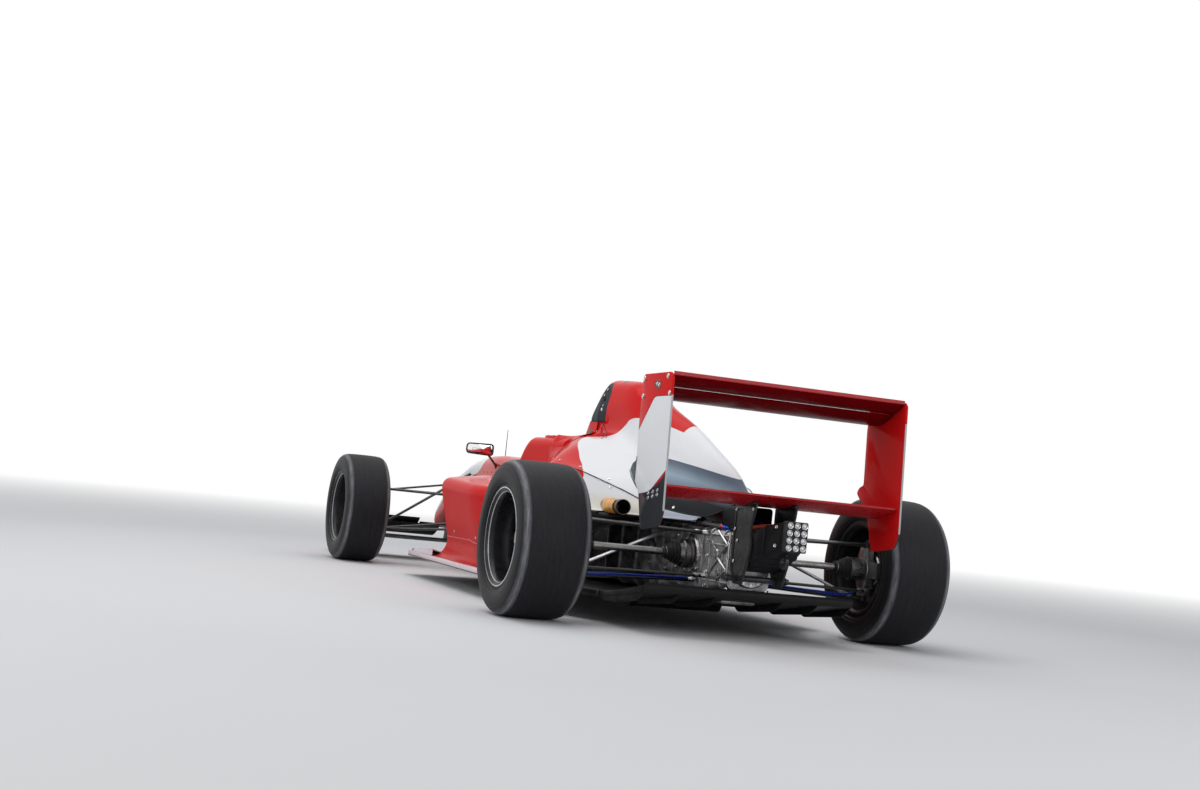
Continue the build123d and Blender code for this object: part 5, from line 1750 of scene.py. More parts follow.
class CAR_OT_cover(bpy.types.Operator):
    """Make the engine cover and the airbox, with its lip, inlay, screws and seams"""

    bl_idname = "car.cover"
    bl_label = "Engine cover and airbox"

    def execute(self, context):
        stations = [1.1497, 1.146, 1.14] + spread(1.125, -0.19, 58) + [-0.205, -0.215, -0.221]
        cover = skin("engine_cover_skin", [cover_row(s) for s in reversed(stations)])
        face_away(cover, lambda x: Vector((x, 0.0, 0.5)))
        thicken(cover, 0.005)
        duct = self.duct()
        self.fairing()
        trims = self.trim(cover)
        round_edges(cover, 0.0012, 2, 60)
        settle(cover, "body_paint", car_paint(), "engine_cover", smooth=40)
        settle(duct, "body_paint", car_paint(), "engine_cover", smooth=40)
        for piece, slot, finish in trims:
            settle(piece, slot, finish)
        return {"FINISHED"}

    def duct(self):
        """The airbox ahead of the cover, cut to a leaning mouth with a rolled lip."""
        rows = []
        for station in spread(1.04, 1.3, 20):
            share = max(0.0, (station - 1.145) / 0.13)
            points = [
                (y * (1 - 0.06 * share), z + 0.008 * share * (1 if z < 0.8 else -1.6)) for y, z in DUCT
            ]
            if station < 1.145:
                sunk = 0.0012 + 0.055 * (1.145 - station)
                points = [(y - sunk, z - sunk) for y, z in points]
                points[-1] = (0.0, points[-1][1])
            whole = points + [(-y, z) for y, z in reversed(points[:-1])]
            whole = [(0.0, points[0][1] - 0.004)] + whole
            line = flow([(y, z, 0) for y, z in whole + whole[:1]], 57)[:-1]
            rows.append([(back(station), p.x, p.y) for p in line])
        duct = skin("airbox_duct", rows, closed=True)
        face_away(duct, lambda x: Vector((x, 0.0, 0.87)))
        (foot_s, foot_z), (top_s, top_z) = MOUTH_FOOT, MOUTH_TOP
        lean = Vector((top_z - foot_z, 0, foot_s - top_s)).normalized()
        with editing(duct):
            bpy.ops.mesh.bisect(plane_co=(back(foot_s), 0, foot_z), plane_no=lean, clear_outer=True)
        thicken(duct, 0.005)
        round_edges(duct, 0.0018, 3, 55)
        return duct

    def fairing(self):
        """Panels that close the hoop's foot and carry the shoulder from the cover on to the collar."""
        behind = [
            (0.3, 0.58), (0.276, 0.617), (0.252, 0.655), (0.23, 0.681), (0.205, 0.7), (0.155, 0.722),
            (0.118, 0.735)
        ]
        ahead = [
            (0.259, 0.573), (0.2594, 0.61), (0.2592, 0.65), (0.248, 0.688), (0.2275, 0.7132), (0.16, 0.7128),
            (0.118, 0.713)
        ]
        rows = []
        for station in spread(1.149, 1.29, 15):
            share = (station - 1.149) / 0.141
            share = share * share * (3 - 2 * share)
            points = [
                (a[0] * (1 - share) + b[0] * share, a[1] * (1 - share) + b[1] * share)
                for a, b in zip(behind, ahead)
            ]
            foot_z = points[-1][1]
            high = 0.789 if station < 1.243 else 0.789 - (station - 1.243) * 1.42
            for part, y in ((0.12, 0.1035), (0.45, 0.0995), (1.0, 0.0985)):
                points.append((y, foot_z + (high - foot_z) * part))
            rows.append([(back(station), y, z) for y, z in points])
        panel = skin("shoulder_fairing_left", rows)
        face_away(panel, lambda x: Vector((x, 0, 0.6)))
        thicken(panel, 0.0024)
        round_edges(panel, 0.0007, 2, 60)
        settle_sides(panel, "body_paint", car_paint(), smooth=45)

    def trim(self, cover):
        tree = surface(cover)
        pieces = []
        screws = [cover_row(station)[2] for station in (1.1, 0.86, 0.62, 0.4, 0.2, 0.05)]
        places = laid_on(tree, screws, 0.0004)
        pieces.append(
            (
                both(fastener_set("cover_screws", places, 0.0042, 0.002, 8), "cover_screws"), "body_paint",
                screw_metal()
            )
        )
        spots = [
            (1.118, 0.0945, 0.8), (1.15, 0.0945, 0.802), (1.185, 0.094, 0.806), (1.112, 0.0935, 0.858),
            (1.135, 0.0835, 0.905), (1.12, 0.076, 0.93)
        ]
        places = [((back(s), y, z), (0, 0.95, 0.2)) for s, y, z in spots]
        pieces.append(
            (
                both(fastener_set("insert_screws", places, 0.0035, 0.0024), "insert_screws"), "body_paint",
                screw_metal()
            )
        )
        port = turned(
            "port",
            [
                (-0.004, 0.0), (-0.004, 0.0105), (0.0012, 0.0105), (0.0022, 0.0095), (0.0022, 0.0075),
                (0.0002, 0.007), (0.0002, 0.0)
            ],
            (back(1.125), 0.0865, 0.889), (0, 0.94, 0.33), 32
        )
        pieces.append((both(port, "airbox_ports"), "black_plastic", black_rubber()))
        dot = turned(
            "dot", [(-0.003, 0.0), (-0.003, 0.0105), (0.001, 0.0105), (0.0018, 0.009), (0.0018, 0.0)],
            (back(1.129), 0.0935, 0.838), (0, 1, 0.05), 32
        )
        pieces.append(
            (both(dot, "airbox_discs"), "body_paint", stock(enamel, "white disc", (0.8, 0.8, 0.8), 0.3))
        )
        seams = []
        for number, offset in enumerate((0.0, 0.018)):
            path = [
                (1.105, 0.11 + offset * 0.3, 0.786 - offset), (1.06, 0.112 + offset * 0.3, 0.76 - offset),
                (0.98, 0.118 + offset * 0.5, 0.741 - offset * 0.3), (0.92, 0.138 + offset, 0.733),
                (0.87, 0.165 + offset, 0.722)
            ]
            seams.append(
                seam_on(f"seam{number}", tree, [(back(s), y, z) for s, y, z in path], 0.0002, 0.0016, 40)
            )
        joint = [(back(station), *between(SPLIT, station)) for station in spread(1.098, -0.185, 60)]
        seams.append(seam_on("split_seam", tree, joint, 0.0003, 0.0021, 120))
        seams.append(seam_on("front_seam", tree, cover_row(1.098)[0:18:2], 0.0002, 0.0014, 40))
        pieces.append((both(join("cover_seams", seams), "cover_seams"), "black_plastic", black_rubber()))
        return pieces


# Cockpit


class CAR_OT_cockpit(bpy.types.Operator):
    """Make the roll hoop, headrest, seat, belts, dashboard, steering wheel, mirrors and aerial"""

    bl_idname = "car.cockpit"
    bl_label = "Cockpit"

    def execute(self, context):
        self.keep_better_finishes()
        self.headrest()
        self.belts()
        self.wheel()
        self.mirrors()
        self.aerial()
        return {"FINISHED"}

    def keep_better_finishes(self):
        """CAD pieces whose shape is right keep it, with a better material."""
        for node, finish in (
            ("roll_hoop", black_enamel()), ("seat", satin_carbon()), ("dashboard", satin_carbon()),
            ("rack_housing", casting()),
            ("steering_rack", bright_steel()), ("radiators", self.core()), ("engine", casting()),
        ):
            piece = frame["nodes"][node]
            piece.data.materials.clear()
            piece.data.materials.append(finish)

    def core(self):
        """Radiator core: rows of flat tubes with fins folded between them."""
        finish = Finish("radiator core", (0.4, 0.41, 0.42), 0.4, 0.9)
        tubes = finish.wave(finish.z, 620.0)
        fins = finish.wave(finish.y, 3200.0)
        finish.set(
            "Base Color",
            finish.mix(finish.spread_over(tubes, -0.4, 0.6), (0.03, 0.03, 0.03), (0.42, 0.43, 0.44))
        )
        finish.bump(finish.add(tubes, finish.times(fins, 0.5)), 0.0008, 0.7)
        return finish.material

    def headrest(self):
        """The collar round the head's space: a painted shell and a sewn pad along its inside."""
        def both_sides(half, count):
            whole = half + [(s, -y) for s, y in reversed(half[:-1])]
            return flow([(s, y, 0) for s, y in whole], count)

        def top(station):
            return min(0.7112, 0.7185 - 0.794 * (station - 1.49)) - 0.0008

        count = 73
        inside = both_sides(
            [
                (1.596, 0.166), (1.5, 0.166), (1.43, 0.166), (1.384, 0.157), (1.345, 0.13), (1.318, 0.091),
                (1.309, 0.045), (1.309, 0.0)
            ],
            count
        )
        outside = both_sides(
            [
                (1.598, 0.2025), (1.53, 0.2025), (1.505, 0.2035), (1.488, 0.216), (1.47, 0.2235),
                (1.32, 0.2235), (1.282, 0.215), (1.264, 0.185), (1.264, 0.09), (1.264, 0.0)
            ],
            count
        )
        rows = []
        for near, far in zip(inside, outside):
            step = (far - near).normalized() * 0.003
            line = [
                (near, -0.02), (near, -0.0035), (near + step, -0.0006), (near * 0.5 + far * 0.5, 0.0),
                (far - step, -0.0006), (far, -0.004), (far + step * 1.2, -0.0138 if far.x < 1.49 else -0.02)
            ]
            rows.append([(back(p.x), p.y, top(p.x) + rise) for p, rise in line])
        shell = skin("headrest_shell", rows)
        if sum(face.normal.z * face.area for face in shell.data.polygons) < 0:
            turn_over(shell)
        thicken(shell, 0.0026)
        round_edges(shell, 0.0007, 2, 60)
        settle(shell, "body_paint", car_paint(), "headrest", smooth=40)
        pad_line = both_sides(
            [
                (1.585, 0.16), (1.5, 0.16), (1.43, 0.16), (1.386, 0.15), (1.35, 0.125), (1.325, 0.088),
                (1.317, 0.045), (1.317, 0.0)
            ],
            121
        )
        rows = []
        for number, point in enumerate(pad_line):
            ahead, behind = pad_line[min(number + 1, 120)], pad_line[max(number - 1, 0)]
            out = Vector((ahead.y - behind.y, behind.x - ahead.x, 0)).normalized()
            if out.dot(point - Vector((1.5, 0, 0))) < 0:
                out.negate()
            share = number / 120
            channel = max(
                math.exp(-((share - place) / 0.006) ** 2) for place in (0.14, 0.28, 0.42, 0.58, 0.72, 0.86)
            )
            end = min(1.0, min(share, 1 - share) / 0.03 + 0.35)
            half_thick, low = 0.0078 * end * (1 - 0.42 * channel), 0.6045
            high = top(point.x) - 0.0055
            row = []
            for step in range(26):
                angle = math.tau * step / 26
                a, b = math.cos(angle), math.sin(angle)
                wide = math.copysign(abs(a) ** 0.75, a) * half_thick
                tall = math.copysign(abs(b) ** 0.45, b) * (high - low) / 2 * (1 - 0.04 * channel)
                place = point + out * wide
                row.append((back(place.x), place.y, (high + low) / 2 + tall))
            rows.append(row)
        pad = solid("headrest_pad", rows)
        modify(pad, "SUBSURF", levels=1, render_levels=1)
        cloth = Finish("headrest cloth", (0.018, 0.018, 0.02), 0.8, Specular_IOR_Level=0.3)
        threads = cloth.times(cloth.wave(cloth.add(cloth.x, cloth.y), 2400.0), cloth.wave(cloth.z, 2400.0))
        cloth.set(
            "Base Color",
            cloth.mix(cloth.spread_over(threads, -0.8, 0.8), (0.008, 0.008, 0.009), (0.032, 0.032, 0.036))
        )
        cloth.bump(threads, 0.0005, 0.6)
        settle(pad, "padding", cloth.material, "headrest", smooth=60)
        places = [
            ((back(s), side * 0.214, top(s) - 0.0002), UP) for side in (1, -1) for s in (1.29, 1.375, 1.455)
        ]
        screws = fastener_set("headrest_screws", places, 0.0036, 0.0016, 8)
        settle(screws, "body_paint", stock(bolt_metal, "gilt screws", (0.75, 0.42, 0.1), 0.3))

    def belts(self):
        """Six-point harness lying in the empty seat, with its round buckle."""
        web = Finish("harness webbing", (0.3, 0.02, 0.03), 0.75)
        weave = web.times(web.wave(web.y, 2600.0), web.wave(web.add(web.x, web.z), 2600.0))
        web.set("Base Color", web.mix(web.spread_over(weave, -1, 1), (0.2, 0.012, 0.02), (0.36, 0.03, 0.04)))
        web.bump(weave, 0.0004, 0.6)
        straps = []
        for side in (1, -1):
            runs = {
                "shoulder": [
                    (1.372, side * 0.085, 0.6), (1.405, side * 0.08, 0.5), (1.44, side * 0.07, 0.39),
                    (1.5, side * 0.045, 0.3), (1.6, side * 0.012, 0.252)
                ],
                "lap": [
                    (1.54, side * 0.165, 0.215), (1.58, side * 0.12, 0.225), (1.61, side * 0.06, 0.243),
                    (1.62, side * 0.02, 0.252)
                ],
            }
            for name, path in runs.items():
                line = flow(path, 24)
                rows = [
                    [
                        (back(p.x), p.y - 0.022, p.z), (back(p.x), p.y - 0.011, p.z + 0.001),
                        (back(p.x), p.y, p.z + 0.0015), (back(p.x), p.y + 0.011, p.z + 0.001),
                        (back(p.x), p.y + 0.022, p.z)
                    ]
                    for p in line
                ]
                strap = skin(f"{name}_{side}", rows)
                thicken(strap, 0.0025)
                straps.append(strap)
        harness = join("harness_straps", straps)
        turn_outwards(harness)
        buckle = turned(
            "harness_buckle",
            [
                (-0.012, 0.0), (-0.012, 0.026), (-0.004, 0.032), (0.006, 0.032), (0.01, 0.028),
                (0.01, 0.016), (0.006, 0.014), (0.006, 0.0)
            ],
            (back(1.61), 0, 0.258), (0.2, 0, 1), 40
        )
        settle(harness, "padding", web.material, smooth=40)
        settle(buckle, "bare_steel", bright_steel())

    def wheel(self):
        """The steering wheel: a gripped rim on a carbon plate with switches and a blank display."""
        start = JOINT_AT["steering_wheel_turn"]
        axis = next(j for j in frame["joints"] if j["name"] == "steering_wheel_turn")["axis"]
        along = -Vector(axis).normalized()
        across = Vector(LEFT)
        upward = along.cross(across)
        if upward.z < 0:
            upward.negate()

        def place(u, v, w):
            return start + across * u + upward * v + along * w

        outline = softened([(-0.128, -0.07), (0.128, -0.07), (0.13, 0.08), (-0.13, 0.08)], 0.055, 8)
        rim = [place(u, v, 0.011) for u, v in outline]
        ring = tube("grip_rim", rim + rim[:1], 0.0115, 14, 110)
        plate = slab(
            "wheel_plate",
            [
                place(u * 0.62, v * 0.6, 0.004)
                for u, v in softened([(-0.118, -0.05), (0.118, -0.05), (0.105, 0.06), (-0.105, 0.06)], 0.03)
            ],
            along * 0.014, 0.002
        )
        arms = []
        for side in (1, -1):
            arms.append(
                slab(
                    f"arm{side}",
                    [
                        place(side * u, v, 0.006)
                        for u, v in ((0.06, -0.016), (0.126, -0.022), (0.126, 0.03), (0.06, 0.022))
                    ],
                    along * 0.008, 0.002
                )
            )
        body = join("steering_wheel_plate", [plate] + arms)
        knobs = []
        for u, v in (
            (-0.05, 0.018), (0.05, 0.018), (-0.05, -0.014), (0.05, -0.014), (-0.022, -0.02), (0.022, -0.02)
        ):
            knobs.append(
                turned(
                    "knob",
                    [
                        (0.0, 0.0), (0.0, 0.0068), (0.003, 0.0068), (0.004, 0.0052), (0.0085, 0.0046),
                        (0.0085, 0.0)
                    ],
                    place(u, v, 0.018), along, 20
                )
            )
        switches = join("steering_wheel_switches", knobs)
        screen = slab(
            "steering_wheel_screen",
            [
                place(u, v, 0.0175)
                for u, v in softened([(-0.034, 0.0), (0.034, 0.0), (0.034, 0.026), (-0.034, 0.026)], 0.003)
            ],
            along * 0.002, 0.0005
        )
        column_end = Vector((fore(0.057), 0, 0.44))
        column = bar("steering_column", start - along * 0.001, column_end, 0.009, 0.009, 32, 0.001)
        leather = Finish("grip leather", (0.03, 0.03, 0.032), 0.6)
        leather.bump(leather.cells(420.0), 0.0006, 0.5)
        leather.set(
            "Base Color", leather.mix(leather.noise(60, 3), (0.022, 0.022, 0.024), (0.05, 0.05, 0.05))
        )
        glass = Finish("blank screen", (0.01, 0.012, 0.015), 0.08, Coat_Weight=1.0)
        glass.set("Roughness", glass.spread_over(glass.noise(80.0, 3), 0.3, 0.7, 0.05, 0.15))
        reds = stock(enamel, "switch red", (0.55, 0.02, 0.02), 0.3)
        for piece, slot, finish in (
            (ring, "black_plastic", leather.material), (body, "black_plastic", satin_carbon()),
            (switches, "black_plastic", reds), (screen, "black_plastic", glass.material),
            (column, "bare_steel", bright_steel())
        ):
            settle(piece, slot, finish, "steering_wheel", smooth=40, body="steering_column")

    def mirrors(self):
        """The mirror shells with their glass, on dark stalks."""
        rows = []
        for station, y0, y1, z0, z1, corner in (
            (1.945, 0.312, 0.448, 0.594, 0.652, 0.018), (1.95, 0.311, 0.449, 0.593, 0.653, 0.02),
            (1.972, 0.316, 0.444, 0.596, 0.65, 0.02), (1.99, 0.326, 0.434, 0.602, 0.645, 0.018),
            (1.998, 0.336, 0.424, 0.607, 0.639, 0.014), (2.0, 0.35, 0.41, 0.614, 0.632, 0.008)
        ):
            corners = softened([(y0, z0), (y1, z0 + 0.004), (y1, z1 - 0.004), (y0, z1)], corner, 6)
            rows.append([(back(station), y, z) for y, z in corners])
        shell = solid("mirror_shell", rows)
        with editing(shell):
            pick_faces(shell, lambda face: face.normal.x < -0.9)
            bpy.ops.mesh.dissolve_faces()
            bpy.ops.mesh.inset(thickness=0.004)
            extrude((0.006, 0, 0))
        round_edges(shell, 0.001, 2, 50)
        glass = slab(
            "mirror_glass",
            [
                (back(1.9495), y, z)
                for y, z in softened(
                    [(0.318, 0.6), (0.442, 0.603), (0.442, 0.643), (0.318, 0.646)], 0.014, 6
                )
            ],
            (0.0016, 0, 0), 0.0004
        )
        root = (back(2.085), between(TUB, 2.085)[2] + 0.002, 0.552)
        stalk = link("mirror_stalk", root, (back(1.978), 0.338, 0.612), 0.022, 0.009, 0.005, 0.03)
        foot = turned(
            "mirror_foot", [(0.0, 0.0), (0.0, 0.014), (0.003, 0.014), (0.006, 0.008), (0.006, 0.0)],
            (back(2.085), between(TUB, 2.085)[2], 0.552), LEFT, 24
        )
        stalk = join("mirror_stalk", [stalk, foot])
        silver = Finish("mirror glass", (0.85, 0.87, 0.9), 0.03, 1.0)
        silver.set("Roughness", silver.spread_over(silver.noise(30.0, 3), 0.3, 0.8, 0.02, 0.08))
        paint = Finish(
            "mirror paint", (0.5, 0.01, 0.02), 0.2, Coat_Weight=0.15, Coat_Roughness=0.05,
            Specular_IOR_Level=0.2
        )
        band = paint.above(paint.minus(paint.z, paint.times(paint.size_of(paint.y), 0.5)), 0.432, 0.001)
        paint_surface(paint)
        colour = paint.mix(
            band, tuple(bpy.context.scene.car_colours.body_red),
            tuple(bpy.context.scene.car_colours.body_white)
        )
        frame_edge = paint.above(back(1.9525), paint.x, 0.0008)
        paint.set("Base Color", paint.mix(frame_edge, colour, (0.02, 0.02, 0.024)))
        settle(both(shell, "mirror_shells"), "body_paint", paint.material, "mirrors", smooth=40)
        settle(both(glass, "mirror_glasses"), "body_paint", silver.material, "mirrors")
        settle(both(stalk, "mirror_stalks"), "body_paint", black_enamel(), "mirrors")

    def aerial(self):
        """A whip aerial on a moulded foot."""
        top = between(TUB, 2.73)[1]
        whip = turned(
            "radio_aerial",
            [
                (0.0, 0.0), (0.0, 0.0138), (0.004, 0.0138), (0.007, 0.011), (0.012, 0.006), (0.03, 0.0042),
                (0.036, 0.0022), (0.168, 0.0014), (0.172, 0.002), (0.1735, 0.0)
            ],
            (back(2.73), 0, top), UP, 20
        )
        settle(whip, "black_plastic", black_rubber(), "aerial")


# Wings


def blade_row(leading, trailing, thickness, camber, y, count=25):
    """A wing section between two (station, z) points: a full nose, a thin tail and a hollow top."""
    a, b = Vector(leading), Vector(trailing)
    chord = b - a
    upward = Vector((-chord.y, chord.x))
    upward = upward.normalized() * (1 if upward.y > 0 else -1)
    points = []
    for surface_side in (1, -1):
        for number in range(count):
            t = number / (count - 1)
            share = (1 - math.cos(math.pi * t)) / 2
            share = share if surface_side > 0 else 1 - share
            fill = 2.6 * (1.07 * math.sqrt(share) - 1.07 * share**1.6) * 0.62 + 0.045 * share
            sag = -4 * camber * share * (1 - share)
            point = a + chord * share + upward * (sag + surface_side * fill * thickness / 2)
            points.append((back(point.x), y, point.y))
    return points


def blade(name, leading, trailing, thickness, camber, half, low=None):
    """A wing blade swept across the car, closed at its ends."""
    widths = spread(-half if low is None else low, half, 9)
    return solid(name, [blade_row(leading, trailing, thickness, camber, y) for y in widths])


PLATE_OUTLINE = [
    (-0.241, 0.812), (-0.245, 0.908), (-0.257, 0.918), (-0.49, 0.921), (-0.512, 0.907), (-0.538, 0.433),
    (-0.515, 0.392), (-0.495, 0.382), (-0.361, 0.366), (-0.345, 0.378), (-0.301, 0.498), (-0.206, 0.576),
    (-0.222, 0.598), (-0.252, 0.608),
]
PLATE_CORNERS = [0.01, 0.012, 0.01, 0.02, 0.02, 0.03, 0.03, 0.02, 0.02, 0.02, 0.02, 0.012, 0.012, 0.01]


class CAR_OT_rear_wing(bpy.types.Operator):
    """Make the rear wing: two blades, the lower plane, endplates, brackets and screws"""

    bl_idname = "car.rear_wing"
    bl_label = "Rear wing"

    def execute(self, context):
        colours = context.scene.car_colours
        red = stock(wing_paint, "wing paint", colours)
        edge = stock(enamel, "wing edge red", (0.46, 0.006, 0.012), 0.28)
        half = 0.4597
        main = blade("upper_main_blade", (-0.25, 0.84), (-0.431, 0.8718), 0.018, 0.014, half)
        flap = blade("upper_flap", (-0.396, 0.876), (-0.5, 0.912), 0.01, 0.008, half)
        lower = blade("lower_plane_blade", (-0.308, 0.4903), (-0.512, 0.5273), 0.014, 0.01, half)
        beam_red = stock(enamel, "beam red", (0.4, 0.005, 0.01), 0.3)
        flap_edge = self.trailing_strip("flap_gurney", (-0.4985, 0.9115), 0.013)
        lower_edge = self.trailing_strip("lower_gurney", (-0.5105, 0.5268), 0.006)
        plate = side_plate(
            "endplate_left", softened(PLATE_OUTLINE, PLATE_CORNERS, 5), 0.46, 0.008, 0.0022, 2
        )
        for piece, node, paint_here in (
            (main, "rear_wing", red), (flap, "rear_wing", red), (lower, "beam_wing", beam_red)
        ):
            settle(piece, "wing_paint", paint_here, node, smooth=40)
        for piece, node in ((flap_edge, "rear_wing"), (lower_edge, "beam_wing")):
            settle(piece, "wing_paint", edge, node)
        settle_sides(
            plate, "wing_paint", stock(endplate_paint, "endplate paint", colours), "rear_wing_endplates",
            smooth=35
        )
        self.brackets()
        return {"FINISHED"}

    def trailing_strip(self, name, foot, height):
        """A small upstand along a blade's trailing edge, with a folded foot."""
        s, z = foot
        outline = [
            (s + 0.012, z - 0.0016), (s + 0.012, z + 0.0), (s + 0.0022, z + 0.0018),
            (s + 0.0012, z + height), (s - 0.001, z + height), (s - 0.001, z - 0.001)
        ]
        return side_plate(name, outline, -0.459, 0.918, 0.0004, 1)

    def brackets(self):
        """Screws through the endplates, the oval recess, and rows of small holes for the flap's angle."""
        places = [
            ((back(-0.262), 0.468, 0.902), LEFT), ((back(-0.472), 0.468, 0.906), LEFT),
            ((back(-0.262), 0.468, 0.838), LEFT), ((back(-0.498), 0.468, 0.846), LEFT)
        ]
        big = fastener_set("endplate_screws", places, 0.0068, 0.0034, 6)
        rows = []
        for line in range(2):
            for number in range(3):
                rows.append(
                    ((back(-0.399 - number * 0.039), 0.468, 0.495 + number * 0.007 - line * 0.016), LEFT)
                )
        small = fastener_set("endplate_small_screws", rows, 0.0052, 0.0026, 6)
        recess_centre = Vector((back(-0.385), 0.4682, 0.879))
        ring = []
        for number in range(28):
            angle = math.tau * number / 28
            ring.append(recess_centre + Vector((0.03 * math.cos(angle), 0, 0.018 * math.sin(angle))))
        oval = slab("flap_pivot_recess", ring, (0, 0.001, 0))
        recess(oval, lambda face: face.normal.y > 0.9, 0.004, (0, -0.0022, 0))
        pivot = fastener_set(
            "flap_pivots",
            [
                (recess_centre + Vector((0.008, -0.001, 0.002)), LEFT),
                (recess_centre + Vector((-0.012, -0.001, -0.002)), LEFT)
            ],
            0.005, 0.003
        )
        settle(
            both(join("endplate_fixings", [big, small, pivot]), "endplate_fixings"), "bare_steel",
            screw_metal()
        )
        settle(
            both(oval, "flap_pivot_recesses"), "wing_paint",
            stock(enamel, "deep red enamel", (0.22, 0.008, 0.012), 0.35)
        )
        angles = []
        for z0, s0, s1 in ((0.893, -0.415, -0.48), (0.854, -0.275, -0.395)):
            angles.append(
                side_plate(
                    "flap_angle", [(s0, z0 - 0.012), (s1, z0 + 0.004), (s1, z0 + 0.016), (s0, z0)], 0.4565,
                    0.0035, 0.001, 1
                )
            )
        settle(
            both(join("blade_angles", angles), "blade_angles"), "wing_paint",
            stock(wing_paint, "wing paint", bpy.context.scene.car_colours)
        )


class CAR_OT_front_wing(bpy.types.Operator):
    """Make the front wing: main plane, flaps, endplates and pylons"""

    bl_idname = "car.front_wing"
    bl_label = "Front wing"

    def execute(self, context):
        colours = context.scene.car_colours
        half = 0.6897
        main = blade("front_main_plane", (3.595, 0.112), (3.34, 0.128), 0.022, 0.012, half)
        flap = blade("front_flap_left", (3.35, 0.14), (3.2, 0.205), 0.014, 0.008, half, 0.18)
        slot_flap = blade(
            "front_second_flap_left", (3.262, 0.19), (3.19, 0.236), 0.008, 0.005, half - 0.002, 0.3
        )
        strip = side_plate(
            "front_gurney_left", [(3.206, 0.2035), (3.2035, 0.2035), (3.2035, 0.214), (3.206, 0.214)], 0.185,
            0.112, 0.0004, 1
        )
        flaps = join("front_flap_left", [flap, slot_flap, strip])
        pylon_rows = []
        for z, s0, s1, t in (
            (0.112, 3.372, 3.512, 0.008), (0.15, 3.376, 3.505, 0.008), (0.2, 3.384, 3.498, 0.008),
            (0.245, 3.392, 3.492, 0.008)
        ):
            loop = []
            for number in range(20):
                angle = math.tau * number / 20
                loop.append(
                    (
                        back((s0 + s1) / 2 + (s1 - s0) / 2 * math.cos(angle)),
                        0.066 + t / 2 * math.sin(angle), z
                    )
                )
            pylon_rows.append(loop)
        pylon = solid("front_wing_pylon", pylon_rows)
        black = satin_carbon()
        settle(main, "carbon", black, "front_wing", smooth=40)
        settle(both(flaps, "front_flaps"), "carbon", black, "front_wing", smooth=40)
        settle(both(pylon, "front_wing_pylons"), "carbon", black, "front_wing", smooth=40)
        outline = softened(
            [
                (3.18, 0.07), (3.55, 0.062), (3.61, 0.11), (3.6, 0.17), (3.39, 0.23), (3.22, 0.262),
                (3.18, 0.25)
            ],
            [0.015, 0.03, 0.03, 0.03, 0.05, 0.02, 0.015]
        )
        plate = side_plate("front_endplate_left", outline, 0.6903, 0.008, 0.002, 2)
        shoe = side_plate(
            "front_skid_left", softened([(3.19, 0.064), (3.54, 0.056), (3.54, 0.066), (3.19, 0.074)], 0.004),
            0.684, 0.014, 0.0012, 1
        )
        fence = side_plate(
            "front_fence_left",
            softened([(3.3, 0.15), (3.53, 0.135), (3.53, 0.15), (3.36, 0.205), (3.3, 0.2)], 0.008), 0.56,
            0.003, 0.0008, 1
        )
        finish = Finish("front endplate paint", colours.body_red, Coat_Weight=0.6, Coat_Roughness=0.05)
        station = finish.minus(finish.x, REAR_AXLE.x)
        white = finish.above(
            finish.minus(finish.z, finish.times(finish.minus(3.6, station), 0.42)), 0.065, 0.001
        )
        paint_surface(finish)
        finish.set("Base Color", finish.mix(white, tuple(colours.body_red), tuple(colours.body_white)))
        settle(both(plate, "front_endplates"), "carbon", finish.material, "front_wing_endplates", smooth=35)
        settle(
            both(join("front_skid_left", [shoe, fence]), "front_skids"), "carbon", black,
            "front_wing_endplates"
        )
        spots = [
            ((back(s), 0.6983, z), LEFT)
            for s, z in ((3.52, 0.112), (3.4, 0.122), (3.33, 0.15), (3.23, 0.196), (3.21, 0.225))
        ]
        settle(
            both(fastener_set("front_wing_screws", spots, 0.0042, 0.0024), "front_wing_screws"),
            "bare_steel", screw_metal()
        )
        return {"FINISHED"}


# Floor


